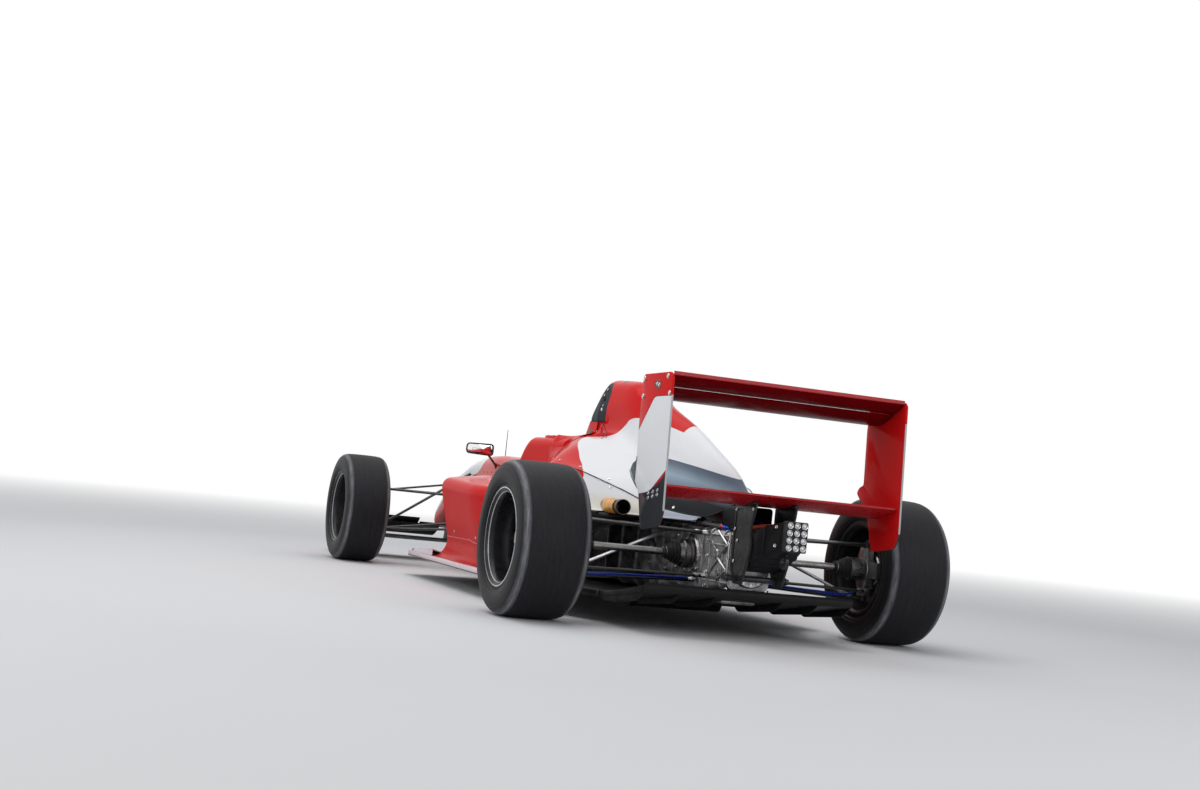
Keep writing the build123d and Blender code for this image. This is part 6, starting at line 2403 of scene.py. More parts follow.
class CAR_OT_floor(bpy.types.Operator):
    """Make the floor with its plank, the lip ahead of the sidepods, and the diffuser"""

    bl_idname = "car.floor"
    bl_label = "Floor and diffuser"

    def execute(self, context):
        half = [
            (0.1, 0.43), (0.33, 0.56), (0.42, 0.68), (1.96, 0.68), (2.01, 0.61), (2.1, 0.25), (2.12, 0.12)
        ]
        whole = half + [(s, -y) for s, y in reversed(half)]
        radii = [0.0, 0.04, 0.06, 0.05, 0.05, 0.06, 0.02]
        outline = softened(whole, radii + radii[::-1], 5)
        tray = slab("floor_tray", [(back(s), y, 0.092) for s, y in outline], (0, 0, 0.0245), 0.003, 2)
        plank = side_plate(
            "floor_plank",
            softened([(0.3, 0.0925), (0.335, 0.05), (2.065, 0.05), (2.1, 0.0925)], [0, 0.012, 0.012, 0], 4),
            -0.195, 0.39, 0.002, 2
        )
        skids = []
        for s in (0.42, 1.2, 1.98):
            for y in (-0.12, 0.12):
                skids.append(
                    turned(
                        "skid",
                        [(-0.004, 0.0), (-0.004, 0.03), (0.0004, 0.03), (0.0008, 0.027), (0.0008, 0.0)],
                        (back(s), y, 0.05), (0, 0, -1), 32
                    )
                )
        skid = join("skid_pucks", skids)
        tunnel = self.diffuser()
        finish = self.tray_finish()
        settle(tray, "carbon", finish, "floor", smooth=35)
        settle(plank, "carbon", self.plank_finish(), "floor", smooth=35)
        settle(skid, "bare_steel", bright_steel(), "floor")
        settle(tunnel, "carbon", satin_carbon(), "diffuser", smooth=35)
        self.lip(context.scene.car_colours)
        return {"FINISHED"}

    def tray_finish(self):
        """Carbon cloth, pale pink on top ahead of the sidepods, partly paint and partly a painted highlight
        of the sky.
        """
        finish = Finish("floor tray carbon", (0.02, 0.02, 0.021), 0.45, Coat_Weight=0.3, Coat_Roughness=0.2)
        station = finish.minus(finish.x, REAR_AXLE.x)
        weave = finish.times(
            finish.wave(finish.add(finish.x, finish.y), 900.0),
            finish.wave(finish.minus(finish.x, finish.y), 900.0)
        )
        dark = finish.mix(finish.spread_over(weave, -1, 1), (0.011, 0.011, 0.012), (0.034, 0.034, 0.036))
        # Pale pink on top: partly paint, partly a painted highlight of the sky; along the outer rim, paint.
        pale = finish.both_of(
            finish.above(finish.z, FLOOR_TOP - 0.004, 0.001), finish.within(station, 1.3, 1.9, 0.01),
            finish.above(finish.size_of(finish.y), 0.3, 0.01)
        )
        rim = finish.both_of(
            finish.above(finish.z, 0.098, 0.001), finish.within(station, 0.42, 1.97, 0.01),
            finish.above(finish.size_of(finish.y), 0.655, 0.001)
        )
        finish.set("Base Color", finish.mix(finish.maths("MAXIMUM", pale, rim), dark, (0.72, 0.58, 0.62)))
        finish.set("Roughness", finish.spread_over(finish.noise(18.0, 4), 0.3, 0.7, 0.3, 0.5))
        finish.bump(weave, 0.0001, 0.4)
        return finish.material

    def plank_finish(self):
        """Resin-bonded wood: long brown grain, scraped and dusty below."""
        finish = Finish("plank wood", (0.16, 0.09, 0.05), 0.6)
        grain = finish.noise(8.0, 6, 0.7, stretch=(1.2, 22, 22))
        scrape = finish.noise(30.0, 3, 0.6, stretch=(0.4, 10, 10))
        colour = finish.mix(finish.spread_over(grain, 0.3, 0.7), (0.1, 0.055, 0.03), (0.22, 0.13, 0.07))
        colour = finish.mix(finish.spread_over(scrape, 0.55, 0.7, 0.0, 0.5), colour, (0.25, 0.22, 0.19))
        finish.set(
            "Base Color", finish.mix(finish.above(finish.z, 0.0515, 0.001), colour, (0.012, 0.012, 0.013))
        )
        finish.set("Roughness", finish.spread_over(grain, 0.3, 0.7, 0.5, 0.75))
        finish.bump(grain, 0.0008, 0.4)
        return finish.material

    def lip(self, colours):
        """The turning plate ahead of each sidepod: pale on top, curving up to its outer edge."""
        rows = []
        for station in spread(1.535, 1.955, 22):
            share = min((station - 1.535) / 0.42, 1.0)
            outer, inner = 0.677 - 0.045 * share**2, 0.47 + 0.1 * share**1.5
            rise = 0.026 * (1 - share) ** 1.5 + 0.004
            row = []
            for number in range(9):
                t = number / 8
                row.append((back(station), inner + (outer - inner) * t, 0.1195 + rise * t**2.2))
            rows.append(row)
        plate = skin("turning_plate_left", rows)
        if sum(face.normal.z for face in plate.data.polygons) < 0:
            turn_over(plate)
        thicken(plate, 0.003)
        strake = side_plate(
            "turning_fence_left",
            softened([(1.545, 0.118), (1.9, 0.118), (1.88, 0.128), (1.545, 0.15)], 0.004), 0.672, 0.003,
            0.0008, 1
        )
        finish = Finish("lip paint", colours.body_white, Coat_Weight=0.5, Coat_Roughness=0.06)
        station = finish.minus(finish.x, REAR_AXLE.x)
        paint_surface(finish, 0.2)
        tip = finish.above(station, 1.865, 0.004)
        pink = finish.spread_over(station, 1.53, 1.8)
        colour = finish.mix(pink, (0.8, 0.62, 0.66), (0.7, 0.68, 0.74))
        finish.set("Base Color", finish.mix(tip, colour, (0.02, 0.02, 0.02)))
        settle(both(plate, "turning_plates"), "body_paint", finish.material, smooth=40)
        settle(both(strake, "turning_fences"), "body_paint", finish.material)

    def diffuser(self):
        """The rising roof and its upright strakes, each with a rounded lower edge."""
        rows = []
        for number in range(15):
            share = number / 14
            station = 0.1 - 0.43 * share
            z = 0.092 + 0.058 * (share**1.35)
            rows.append(
                [
                    (back(station), y, z + (0.025 if top else 0.0))
                    for top, y in [(1, -0.42), (1, 0.0), (1, 0.42), (0, 0.42), (0, 0.0), (0, -0.42)]
                ]
            )
        roof = solid("diffuser_roof", rows)
        round_edges(roof, 0.003, 2, 50)
        strakes = []
        outline = softened(
            [(0.08, 0.102), (-0.32, 0.156), (-0.326, 0.15), (-0.27, 0.11), (0.04, 0.078)],
            [0, 0, 0.02, 0.03, 0.02]
        )
        for y in (0.13, 0.275, 0.412):
            strakes.append(side_plate("strake", outline, y, 0.006, 0.002, 2))
        lip = slab(
            "diffuser_edge",
            [
                (back(-0.329), -0.419, 0.168), (back(-0.329), 0.419, 0.168), (back(-0.331), 0.419, 0.182),
                (back(-0.331), -0.419, 0.182)
            ],
            (0.0025, 0, 0), 0.0008, 1
        )
        return join("diffuser_tunnel", [roof, lip, both(join("strakes", strakes), "strakes")])


# Rear structure


class CAR_OT_tail(bpy.types.Operator):
    """Make the wing pylons, the crash structure, the rain light and the jacking bar"""

    bl_idname = "car.tail"
    bl_label = "Tail structure"

    def execute(self, context):
        self.pylons()
        self.tail_opening()
        self.crash_structure()
        self.rain_light()
        return {"FINISHED"}

    def pylons(self):
        outline = softened(
            [
                (-0.304, 0.4855), (-0.47, 0.496), (-0.464, 0.455), (-0.44, 0.405), (-0.462, 0.34),
                (-0.405, 0.205), (-0.335, 0.205), (-0.304, 0.26)
            ],
            [0.004, 0.004, 0.03, 0.04, 0.03, 0.012, 0.012, 0.03], 6,
        )
        plate = side_plate("wing_pylon_left", outline, 0.076, 0.008, 0.002, 2)
        recess(plate, lambda face: face.normal.y > 0.9 and face.calc_area() > 0.002, 0.01, (0, -0.0028, 0))
        foot = side_plate(
            "pylon_foot",
            softened([(-0.306, 0.486), (-0.468, 0.495), (-0.47, 0.503), (-0.306, 0.493)], 0.001, 2), 0.07,
            0.02, 0.0008, 1
        )
        pair = both(join("wing_pylon_left", [plate, foot]), "wing_pylon_plates")
        bar_profile = [
            (-0.129, 0.0), (-0.129, 0.009), (-0.127, 0.011), (-0.117, 0.011), (-0.117, 0.015),
            (-0.113, 0.015), (-0.113, 0.011), (0.113, 0.011), (0.113, 0.015), (0.117, 0.015), (0.117, 0.011),
            (0.127, 0.011), (0.129, 0.009), (0.129, 0.0)
        ]
        jack = turned("jacking_bar", bar_profile, (back(-0.358), 0, 0.226), LEFT, 32)
        screws = [
            ((back(s), 0.084, z), LEFT)
            for s, z in ((-0.318, 0.472), (-0.452, 0.478), (-0.33, 0.285), (-0.345, 0.36), (-0.318, 0.4))
        ]
        settle(pair, "painted_steel", black_enamel(), "wing_pylons", smooth=35)
        settle(jack, "painted_steel", black_enamel(), "wing_pylons")
        settle(
            both(fastener_set("pylon_screws", screws, 0.0046, 0.0026), "pylon_screws"), "bare_steel",
            screw_metal()
        )

    def tail_opening(self):
        """The closed black hollow behind the cover's end, with a hose and a cable inside it."""
        sections = []
        for station, low, high, half in (
            (-0.15, 0.405, 0.475, 0.06), (-0.22, 0.4, 0.482, 0.066), (-0.29, 0.398, 0.484, 0.069),
            (-0.302, 0.398, 0.484, 0.069)
        ):
            sections.append(
                [
                    (back(station), y, z)
                    for y, z in softened([(-half, low), (half, low), (half, high), (-half, high)], 0.014, 4)
                ]
            )
        shell = skin("tail_shroud", sections, closed=True)
        face_away(shell, lambda x: Vector((x, 0, 0.44)))
        thicken(shell, 0.003)
        wall = slab("tail_wall", [(back(-0.152), y, z) for _, y, z in sections[0]], (-0.003, 0, 0))
        settle(join("tail_shroud", [shell, wall]), "carbon", satin_carbon(), smooth=40)
        cable = tube(
            "tail_cable",
            [
                (back(s), y, z)
                for s, y, z in (
                    (-0.156, 0.045, 0.452), (-0.2, 0.03, 0.441), (-0.245, -0.01, 0.436),
                    (-0.285, -0.04, 0.428), (-0.292, -0.058, 0.409)
                )
            ],
            0.0028, 10, 50
        )
        over = (
            (-0.318, 0.075, 0.395), (-0.33, 0.03, 0.409), (-0.346, -0.03, 0.422), (-0.352, -0.075, 0.424)
        )
        hose = tube("tail_hose", [(back(s), y, z) for s, y, z in over], 0.0065, 12, 50)
        settle(cable, "black_plastic", stock(enamel, "blue cable", (0.02, 0.06, 0.42), 0.4), smooth=60)
        settle(hose, "black_plastic", stock(enamel, "orange hose", (0.62, 0.07, 0.02), 0.45), smooth=60)
        bars = []
        zigzag = [(-0.2, 0.385), (-0.285, 0.335), (-0.205, 0.29), (-0.285, 0.245), (-0.215, 0.205)]
        for (s0, z0), (s1, z1) in zip(zigzag, zigzag[1:]):
            bars.append(
                bar("lattice", (back(s0), 0.0925, z0), (back(s1), 0.0885, z1), 0.0048, 0.0048, 12, 0.001)
            )
        bars.append(
            bar(
                "lattice", (back(-0.29), 0.0865, 0.385), (back(-0.29), 0.0865, 0.215), 0.0042, 0.0042, 12,
                0.001
            )
        )
        steel = stock(machined, "lattice steel", (0.66, 0.66, 0.65), 0.25)
        settle(both(join("gearbox_lattice", bars), "gearbox_lattices"), "bare_steel", steel, smooth=35)

    def crash_structure(self):
        table = [
            (-0.615, 0.345, 0.446, 0.043, 0.014), (-0.56, 0.322, 0.437, 0.056, 0.016),
            (-0.47, 0.292, 0.412, 0.0757, 0.018), (-0.385, 0.262, 0.397, 0.0757, 0.018),
            (-0.3003, 0.245, 0.384, 0.0757, 0.018)
        ]
        rows = [
            section_box(s, table, 6)
            for s in reversed([-0.3003, -0.305] + spread(-0.33, -0.6, 14) + [-0.611, -0.615])
        ]
        core = solid("crash_box", rows)
        ribs = []
        for s in (-0.365, -0.445, -0.52):
            outer = [(x, y * 1.035, 0.33 + (z - 0.33) * 1.03) for x, y, z in section_box(s, table, 6)]
            rib = solid("rib", [outer, [(x - 0.007, y, z) for x, y, z in outer]])
            ribs.append(round_edges(rib, 0.0015, 1))
        panel = side_plate(
            "side_skin",
            softened(
                [
                    (-0.335, 0.262), (-0.465, 0.295), (-0.6, 0.352), (-0.605, 0.436), (-0.56, 0.426),
                    (-0.47, 0.4), (-0.335, 0.378)
                ],
                0.012
            ),
            0.07, 0.008, 0.0015, 1
        )
        for vertex in panel.data.vertices:
            station = vertex.co.x - REAR_AXLE.x
            if station < -0.47:
                vertex.co.y -= (-0.47 - station) * 0.225
        ring = turned(
            "ring",
            [
                (-0.006, 0.0152), (-0.006, 0.026), (-0.004, 0.0275), (0.004, 0.0275), (0.006, 0.026),
                (0.006, 0.0152)
            ],
            (back(-0.56), 0, 0.306), steps=40
        )
        shank = side_plate(
            "shank", [(-0.542, 0.318), (-0.578, 0.318), (-0.584, 0.345), (-0.536, 0.345)], -0.005, 0.01,
            0.002
        )
        body = join("crash_box", [core] + ribs + [both(panel, "side_skins")])
        settle(body, "carbon", satin_carbon(), "crash_structure", smooth=35)
        settle(join("rear_tow_ring", [ring, shank]), "painted_steel", black_enamel(), smooth=35)

    def rain_light(self):
        """A black plate with twelve ringed lenses, on a rubber frame."""
        back_face = back(-0.64)
        plate = box(
            "rain_light_body", (back_face + 0.004, back(-0.6155)), (-0.045, 0.045), (0.342, 0.449), 0.006, 3
        )
        recess(plate, lambda face: face.normal.x < -0.95, 0.004, (0.0015, 0, 0))
        rings, lenses = [], []
        for row in range(4):
            for column in range(3):
                place = (back_face + 0.0055, -0.0275 + column * 0.0275, 0.357 + row * 0.0258)
                if not rings:
                    ring = turned(
                        "lens_ring",
                        [(0.0, 0.0088), (0.0, 0.0108), (0.0048, 0.0108), (0.0055, 0.01), (0.004, 0.0088)],
                        place, REARWARD, 28
                    )
                    lens = turned(
                        "lens",
                        [
                            (0.0, 0.0), (0.0, 0.0088), (0.0018, 0.0088), (0.0032, 0.0068), (0.004, 0.004),
                            (0.0043, 0.0)
                        ],
                        place, REARWARD, 24
                    )
                    first = Vector(place)
                    rings.append(ring)
                    lenses.append(lens)
                else:
                    rings.append(copied(rings[0], "lens_ring", Vector(place) - first))
                    lenses.append(copied(lenses[0], "lens", Vector(place) - first))
        clear_lens = Finish("clear lens", (0.3, 0.31, 0.33), 0.12, 0.6, Coat_Weight=0.4, Coat_Roughness=0.03)
        facet = clear_lens.cells(900.0)
        clear_lens.set(
            "Base Color",
            clear_lens.mix(clear_lens.spread_over(facet, 0.1, 0.6), (0.04, 0.04, 0.05), (0.6, 0.61, 0.64))
        )
        clear_lens.bump(facet, 0.0006, 0.6)
        bolts = fastener_set(
            "rain_light_bolts", [((back(-0.585), 0.0535, z), (-0.35, 1, 0)) for z in (0.425, 0.36)], 0.0048,
            0.003
        )
        settle(bolts, "bare_steel", screw_metal())
        settle(plate, "lamp", black_rubber(), "rain_light")
        settle(
            join("rain_light_rings", rings), "lamp",
            stock(bolt_metal, "bright ring", (0.85, 0.85, 0.86), 0.12), "rain_light"
        )
        settle(join("rain_light_lenses", lenses), "lamp", clear_lens.material, "rain_light", smooth=60)


class CAR_OT_gearbox(bpy.types.Operator):
    """Make the gearbox casing with ribs, covers, output flanges and pipes, and the exhaust"""

    bl_idname = "car.gearbox"
    bl_label = "Gearbox and exhaust"

    def execute(self, context):
        table = [
            (-0.3, 0.185, 0.385, 0.078, 0.02), (-0.06, 0.146, 0.392, 0.1, 0.028),
            (0.09, 0.135, 0.395, 0.104, 0.03), (0.3, 0.13, 0.41, 0.125, 0.034), (0.62, 0.13, 0.46, 0.2, 0.04)
        ]
        rows = [section_box(s, table, 6) for s in spread(-0.3, 0.62, 36)]
        core = solid("gearbox_shell", rows)
        for side in (1, -1):
            cutter = turned(
                "bore", [(0.064, 0.0), (0.064, 0.0222), (0.15, 0.0222), (0.15, 0.0)], OUTPUT, (0, side, 0),
                40
            )
            cut(core, cutter)
        extras = self.ribs(table) + self.covers()
        casing = join("gearbox_shell", [core] + extras)
        settle(casing, "casting", casting(), "gearbox", smooth=35)
        self.flanges()
        self.plumbing()
        self.exhaust()
        return {"FINISHED"}

    def ribs(self, table):
        pieces = []
        for s, thick in (
            (-0.296, 0.01), (-0.24, 0.006), (-0.15, 0.012), (-0.095, 0.006), (0.095, 0.012), (0.17, 0.006),
            (0.24, 0.006), (0.3, 0.014), (0.42, 0.007), (0.52, 0.007)
        ):
            outer = [(x, y * 1.055, 0.27 + (z - 0.27) * 1.045) for x, y, z in section_box(s, table, 6)]
            rib = solid("rib", [outer, [(x + thick, y, z) for x, y, z in outer]])
            pieces.append(round_edges(rib, 0.0018, 1))
        for z in (0.2, 0.335, 0.37):
            for s0, s1 in ((-0.285, -0.105), (0.105, 0.29)):
                y0, y1 = between(table, s0)[2], between(table, s1)[2]
                pieces.append(
                    both(
                        slab(
                            "web",
                            [
                                (back(s0), y0 - 0.004, z - 0.003), (back(s1), y1 - 0.004, z - 0.003),
                                (back(s1), y1 - 0.004, z + 0.003), (back(s0), y0 - 0.004, z + 0.003)
                            ],
                            (0, 0.009, 0), 0.0012, 1
                        ),
                        "webs"
                    )
                )
        for s0, z0, s1, z1 in (
            (-0.285, 0.35, -0.15, 0.225), (-0.285, 0.225, -0.15, 0.35), (0.11, 0.35, 0.24, 0.18)
        ):
            pieces.append(
                both(
                    bar(
                        "brace", (back(s0), between(table, s0)[2] + 0.001, z0),
                        (back(s1), between(table, s1)[2] + 0.001, z1), 0.0045, 0.0045, 10, 0.0008
                    ),
                    "braces"
                )
            )
        return pieces

    def covers(self):
        """Bosses, the rear cover with its ring of studs, the differential housing and the oil pan."""
        pieces = []
        cover = turned(
            "rear_cover",
            [
                (0.0, 0.0), (0.0, 0.07), (0.006, 0.073), (0.014, 0.073), (0.018, 0.068), (0.018, 0.05),
                (0.03, 0.044), (0.034, 0.028), (0.034, 0.0)
            ],
            (back(-0.298), 0, 0.262), REARWARD, 48
        )
        pieces.append(cover)
        pan = box("oil_pan", (back(-0.235), back(0.06)), (-0.07, 0.07), (0.122, 0.16), 0.01, 3)
        pieces.append(pan)
        bell = turned(
            "diff_housing", [(0.04, 0.0), (0.04, 0.088), (0.0985, 0.088), (0.1015, 0.084), (0.102, 0.0)],
            OUTPUT, LEFT, 56
        )
        hole = turned(
            "diff_bore", [(0.06, 0.0), (0.06, 0.0222), (0.13, 0.0222), (0.13, 0.0)], OUTPUT, LEFT, 40
        )
        cut(bell, hole)
        pieces.append(both(bell, "diff_housings"))
        for s, y, z, r, h in (
            (-0.2, 0.08, 0.3, 0.02, 0.018), (-0.225, 0.078, 0.235, 0.014, 0.02),
            (0.16, 0.108, 0.3, 0.022, 0.014), (0.2, 0.112, 0.215, 0.016, 0.018)
        ):
            pieces.append(
                both(
                    turned(
                        "boss",
                        [
                            (-0.01, 0.0), (-0.01, r), (h * 0.7, r), (h, r * 0.8), (h, r * 0.45),
                            (h * 0.8, r * 0.4), (h * 0.8, 0.0)
                        ],
                        (back(s), y, z), LEFT, 28
                    ),
                    "bosses"
                )
            )
        tower = box("selector_tower", (back(-0.11), back(0.06)), (-0.045, 0.045), (0.375, 0.415), 0.009, 3)
        pieces.append(tower)
        return pieces

    def flanges(self):
        """The stepped bright ring round each output, and the studs of every cover."""
        rings = turned(
            "output_ring",
            [
                (0.096, 0.0622), (0.096, 0.0758), (0.1035, 0.0775), (0.1065, 0.0775), (0.107, 0.074),
                (0.11, 0.0735), (0.1125, 0.0705), (0.1134, 0.0665), (0.112, 0.063), (0.11, 0.0622)
            ],
            OUTPUT, LEFT, 72
        )
        places = [(place, LEFT) for place in ring_of(10, 0.0825, OUTPUT, 0.102)]
        studs = fastener_set("output_studs", places, 0.0036, 0.006)
        settle(
            both(rings, "output_rings"), "bare_steel",
            stock(machined, "output ring steel", (0.8, 0.79, 0.78), 0.16, REAR_AXLE), smooth=35
        )
        cover_places = []
        for number in range(12):
            angle = math.tau * number / 12
            cover_places.append(
                ((back(-0.316), 0.061 * math.cos(angle), 0.262 + 0.061 * math.sin(angle)), REARWARD)
            )
        for s in (-0.292, -0.145, 0.101, 0.307):
            for z in (0.18, 0.23, 0.29, 0.35):
                half = between(
                    [(-0.3, 0.083), (-0.06, 0.1065), (0.09, 0.1105), (0.3, 0.133), (0.62, 0.21)], s
                )[0]
                cover_places.append(((back(s), half, z), LEFT))
                cover_places.append(((back(s), -half, z), (0, -1, 0)))
        more = fastener_set("casing_studs", cover_places, 0.005, 0.0065)
        settle(join("gearbox_studs", [both(studs, "output_studs"), more]), "bare_steel", screw_metal())

    def plumbing(self):
        """Hoses with anodised fittings beside the casing, and the actuator's pipes."""
        hose_points = [
            [
                (0.3, 0.15, 0.33), (0.2, 0.17, 0.3), (0.08, 0.185, 0.22), (-0.04, 0.165, 0.165),
                (-0.12, 0.12, 0.16)
            ],
            [
                (0.34, 0.16, 0.39), (0.18, 0.15, 0.4), (0.02, 0.12, 0.404), (-0.1, 0.09, 0.404),
                (-0.2, 0.05, 0.396)
            ],
            [
                (0.28, -0.15, 0.33), (0.18, -0.165, 0.29), (0.05, -0.175, 0.21), (-0.06, -0.15, 0.165),
                (-0.14, -0.11, 0.165)
            ],
        ]
        hoses = [
            tube(f"hose{number}", [(back(s), y, z) for s, y, z in path], 0.0068, 12, 60)
            for number, path in enumerate(hose_points)
        ]
        braid = Finish("braided hose", (0.05, 0.05, 0.055), 0.45, 0.3)
        cross = braid.times(
            braid.wave(braid.add(braid.x, braid.z), 1800.0),
            braid.wave(braid.minus(braid.x, braid.z), 1800.0)
        )
        braid.set(
            "Base Color",
            braid.mix(braid.spread_over(cross, -0.6, 0.8), (0.02, 0.02, 0.022), (0.16, 0.16, 0.17))
        )
        braid.bump(cross, 0.0005, 0.7)
        fittings_blue, fittings_red = [], []
        for path in hose_points:
            for near, far in ((path[0], path[1]), (path[-1], path[-2])):
                start = Vector((back(near[0]), near[1], near[2]))
                toward = (Vector((back(far[0]), far[1], far[2])) - start).normalized()
                fittings_blue.append(
                    turned(
                        "nut",
                        [
                            (-0.004, 0.0), (-0.004, 0.0095), (0.012, 0.0105), (0.014, 0.0085),
                            (0.016, 0.0105), (0.028, 0.0095), (0.032, 0.0075), (0.032, 0.0)
                        ],
                        start, toward, 12
                    )
                )
                fittings_red.append(
                    turned(
                        "collar", [(0.03, 0.0), (0.03, 0.009), (0.04, 0.009), (0.042, 0.0074), (0.042, 0.0)],
                        start, toward, 12
                    )
                )
        blue = stock(machined, "blue anodised", (0.02, 0.08, 0.45), 0.25)
        red = stock(machined, "red anodised", (0.5, 0.02, 0.03), 0.25)
        settle(join("gearbox_hoses", hoses), "black_plastic", braid.material, smooth=60)
        settle(join("blue_fittings", fittings_blue), "aluminium", blue, smooth=30)
        settle(join("red_fittings", fittings_red), "aluminium", red, smooth=30)

    def exhaust(self):
        """The tail pipe: a drawn tube with a rolled lip, a welded collar and its gold heat shield."""
        route = [
            (0.752, 0.21, 0.43), (0.752, 0.24, 0.43), (0.7, 0.272, 0.43), (0.52, 0.3, 0.431),
            (0.34, 0.325, 0.4325), (0.1, 0.357, 0.434)
        ]
        line = flow([(back(s), y, z) for s, y, z in route], 60)
        rows = []
        for number, point in enumerate(line):
            before, after = line[max(number - 1, 0)], line[min(number + 1, 59)]
            size = 0.028 if number < 56 else 0.028 + 0.0016 * (number - 55) / 4
            rows.append(loop_round(point, after - before, size, size, 40, UP))
        pipe = skin("tail_pipe", rows, closed=True)
        face_away(pipe, lambda x: min(line, key=lambda p: abs(p.x - x)))
        thicken(pipe, 0.0022)
        round_edges(pipe, 0.0007, 2, 60)
        collars = []
        for number in (20, 44):
            direction = line[number + 1] - line[number]
            collars.append(
                turned(
                    "weld", [(-0.004, 0.0285), (-0.002, 0.03), (0.002, 0.03), (0.004, 0.0285)], line[number],
                    direction, 40
                )
            )
        metal = Finish("burnt pipe", (0.28, 0.25, 0.23), 0.38, 1.0)
        station = metal.minus(metal.x, REAR_AXLE.x)
        heat = metal.ramp(
            metal.spread_over(metal.add(station, metal.times(metal.noise(14.0, 4), 0.12)), 0.1, 0.75),
            [
                (0.0, (0.06, 0.05, 0.05)), (0.25, (0.2, 0.15, 0.12)), (0.5, (0.22, 0.18, 0.24)),
                (0.75, (0.34, 0.28, 0.2)), (1.0, (0.36, 0.34, 0.32))
            ]
        )
        metal.set("Base Color", heat)
        metal.set("Roughness", metal.spread_over(metal.noise(40.0, 4), 0.3, 0.7, 0.3, 0.55))
        metal.bump(metal.noise(200.0, 3), 0.0005, 0.25)
        settle(join("tail_pipe", [pipe] + collars), "bare_steel", metal.material, "exhaust", smooth=50)
        self.heat_shield()

    def heat_shield(self):
        """A crinkled gold foil sheet standing outboard of the pipe, ahead of the cut in the bodywork."""
        rows = []
        for station in spread(0.15, 0.318, 16):
            row = []
            centre_y = 0.357 - (station - 0.1) * 0.1335
            for number in range(12):
                angle = math.radians(-58 + 116 * number / 11)
                reach = 0.033 + 0.0007 * math.sin(station * 210 + number * 2.1)
                row.append(
                    (
                        back(station), centre_y + reach * math.cos(angle) * 0.98,
                        0.4335 + reach * math.sin(angle)
                    )
                )
            rows.append(row)
        shield = skin("heat_shield", rows)
        face_away(shield, lambda x: Vector((x, 0.33, 0.434)))
        thicken(shield, 0.0012)
        foil = Finish("gold foil", (0.9, 0.42, 0.03), 0.45, 0.1)
        crinkle = foil.cells(70.0, stretch=(1, 1.5, 1.3))
        foil.set(
            "Base Color",
            foil.mix(foil.spread_over(foil.noise(30.0, 3), 0.3, 0.7), (0.8, 0.32, 0.015), (0.95, 0.48, 0.04))
        )
        foil.set("Roughness", foil.spread_over(foil.noise(90.0, 3), 0.3, 0.7, 0.2, 0.4))
        foil.bump(crinkle, 0.0016, 0.35)
        settle(shield, "bare_steel", foil.material, smooth=50)


# Suspension


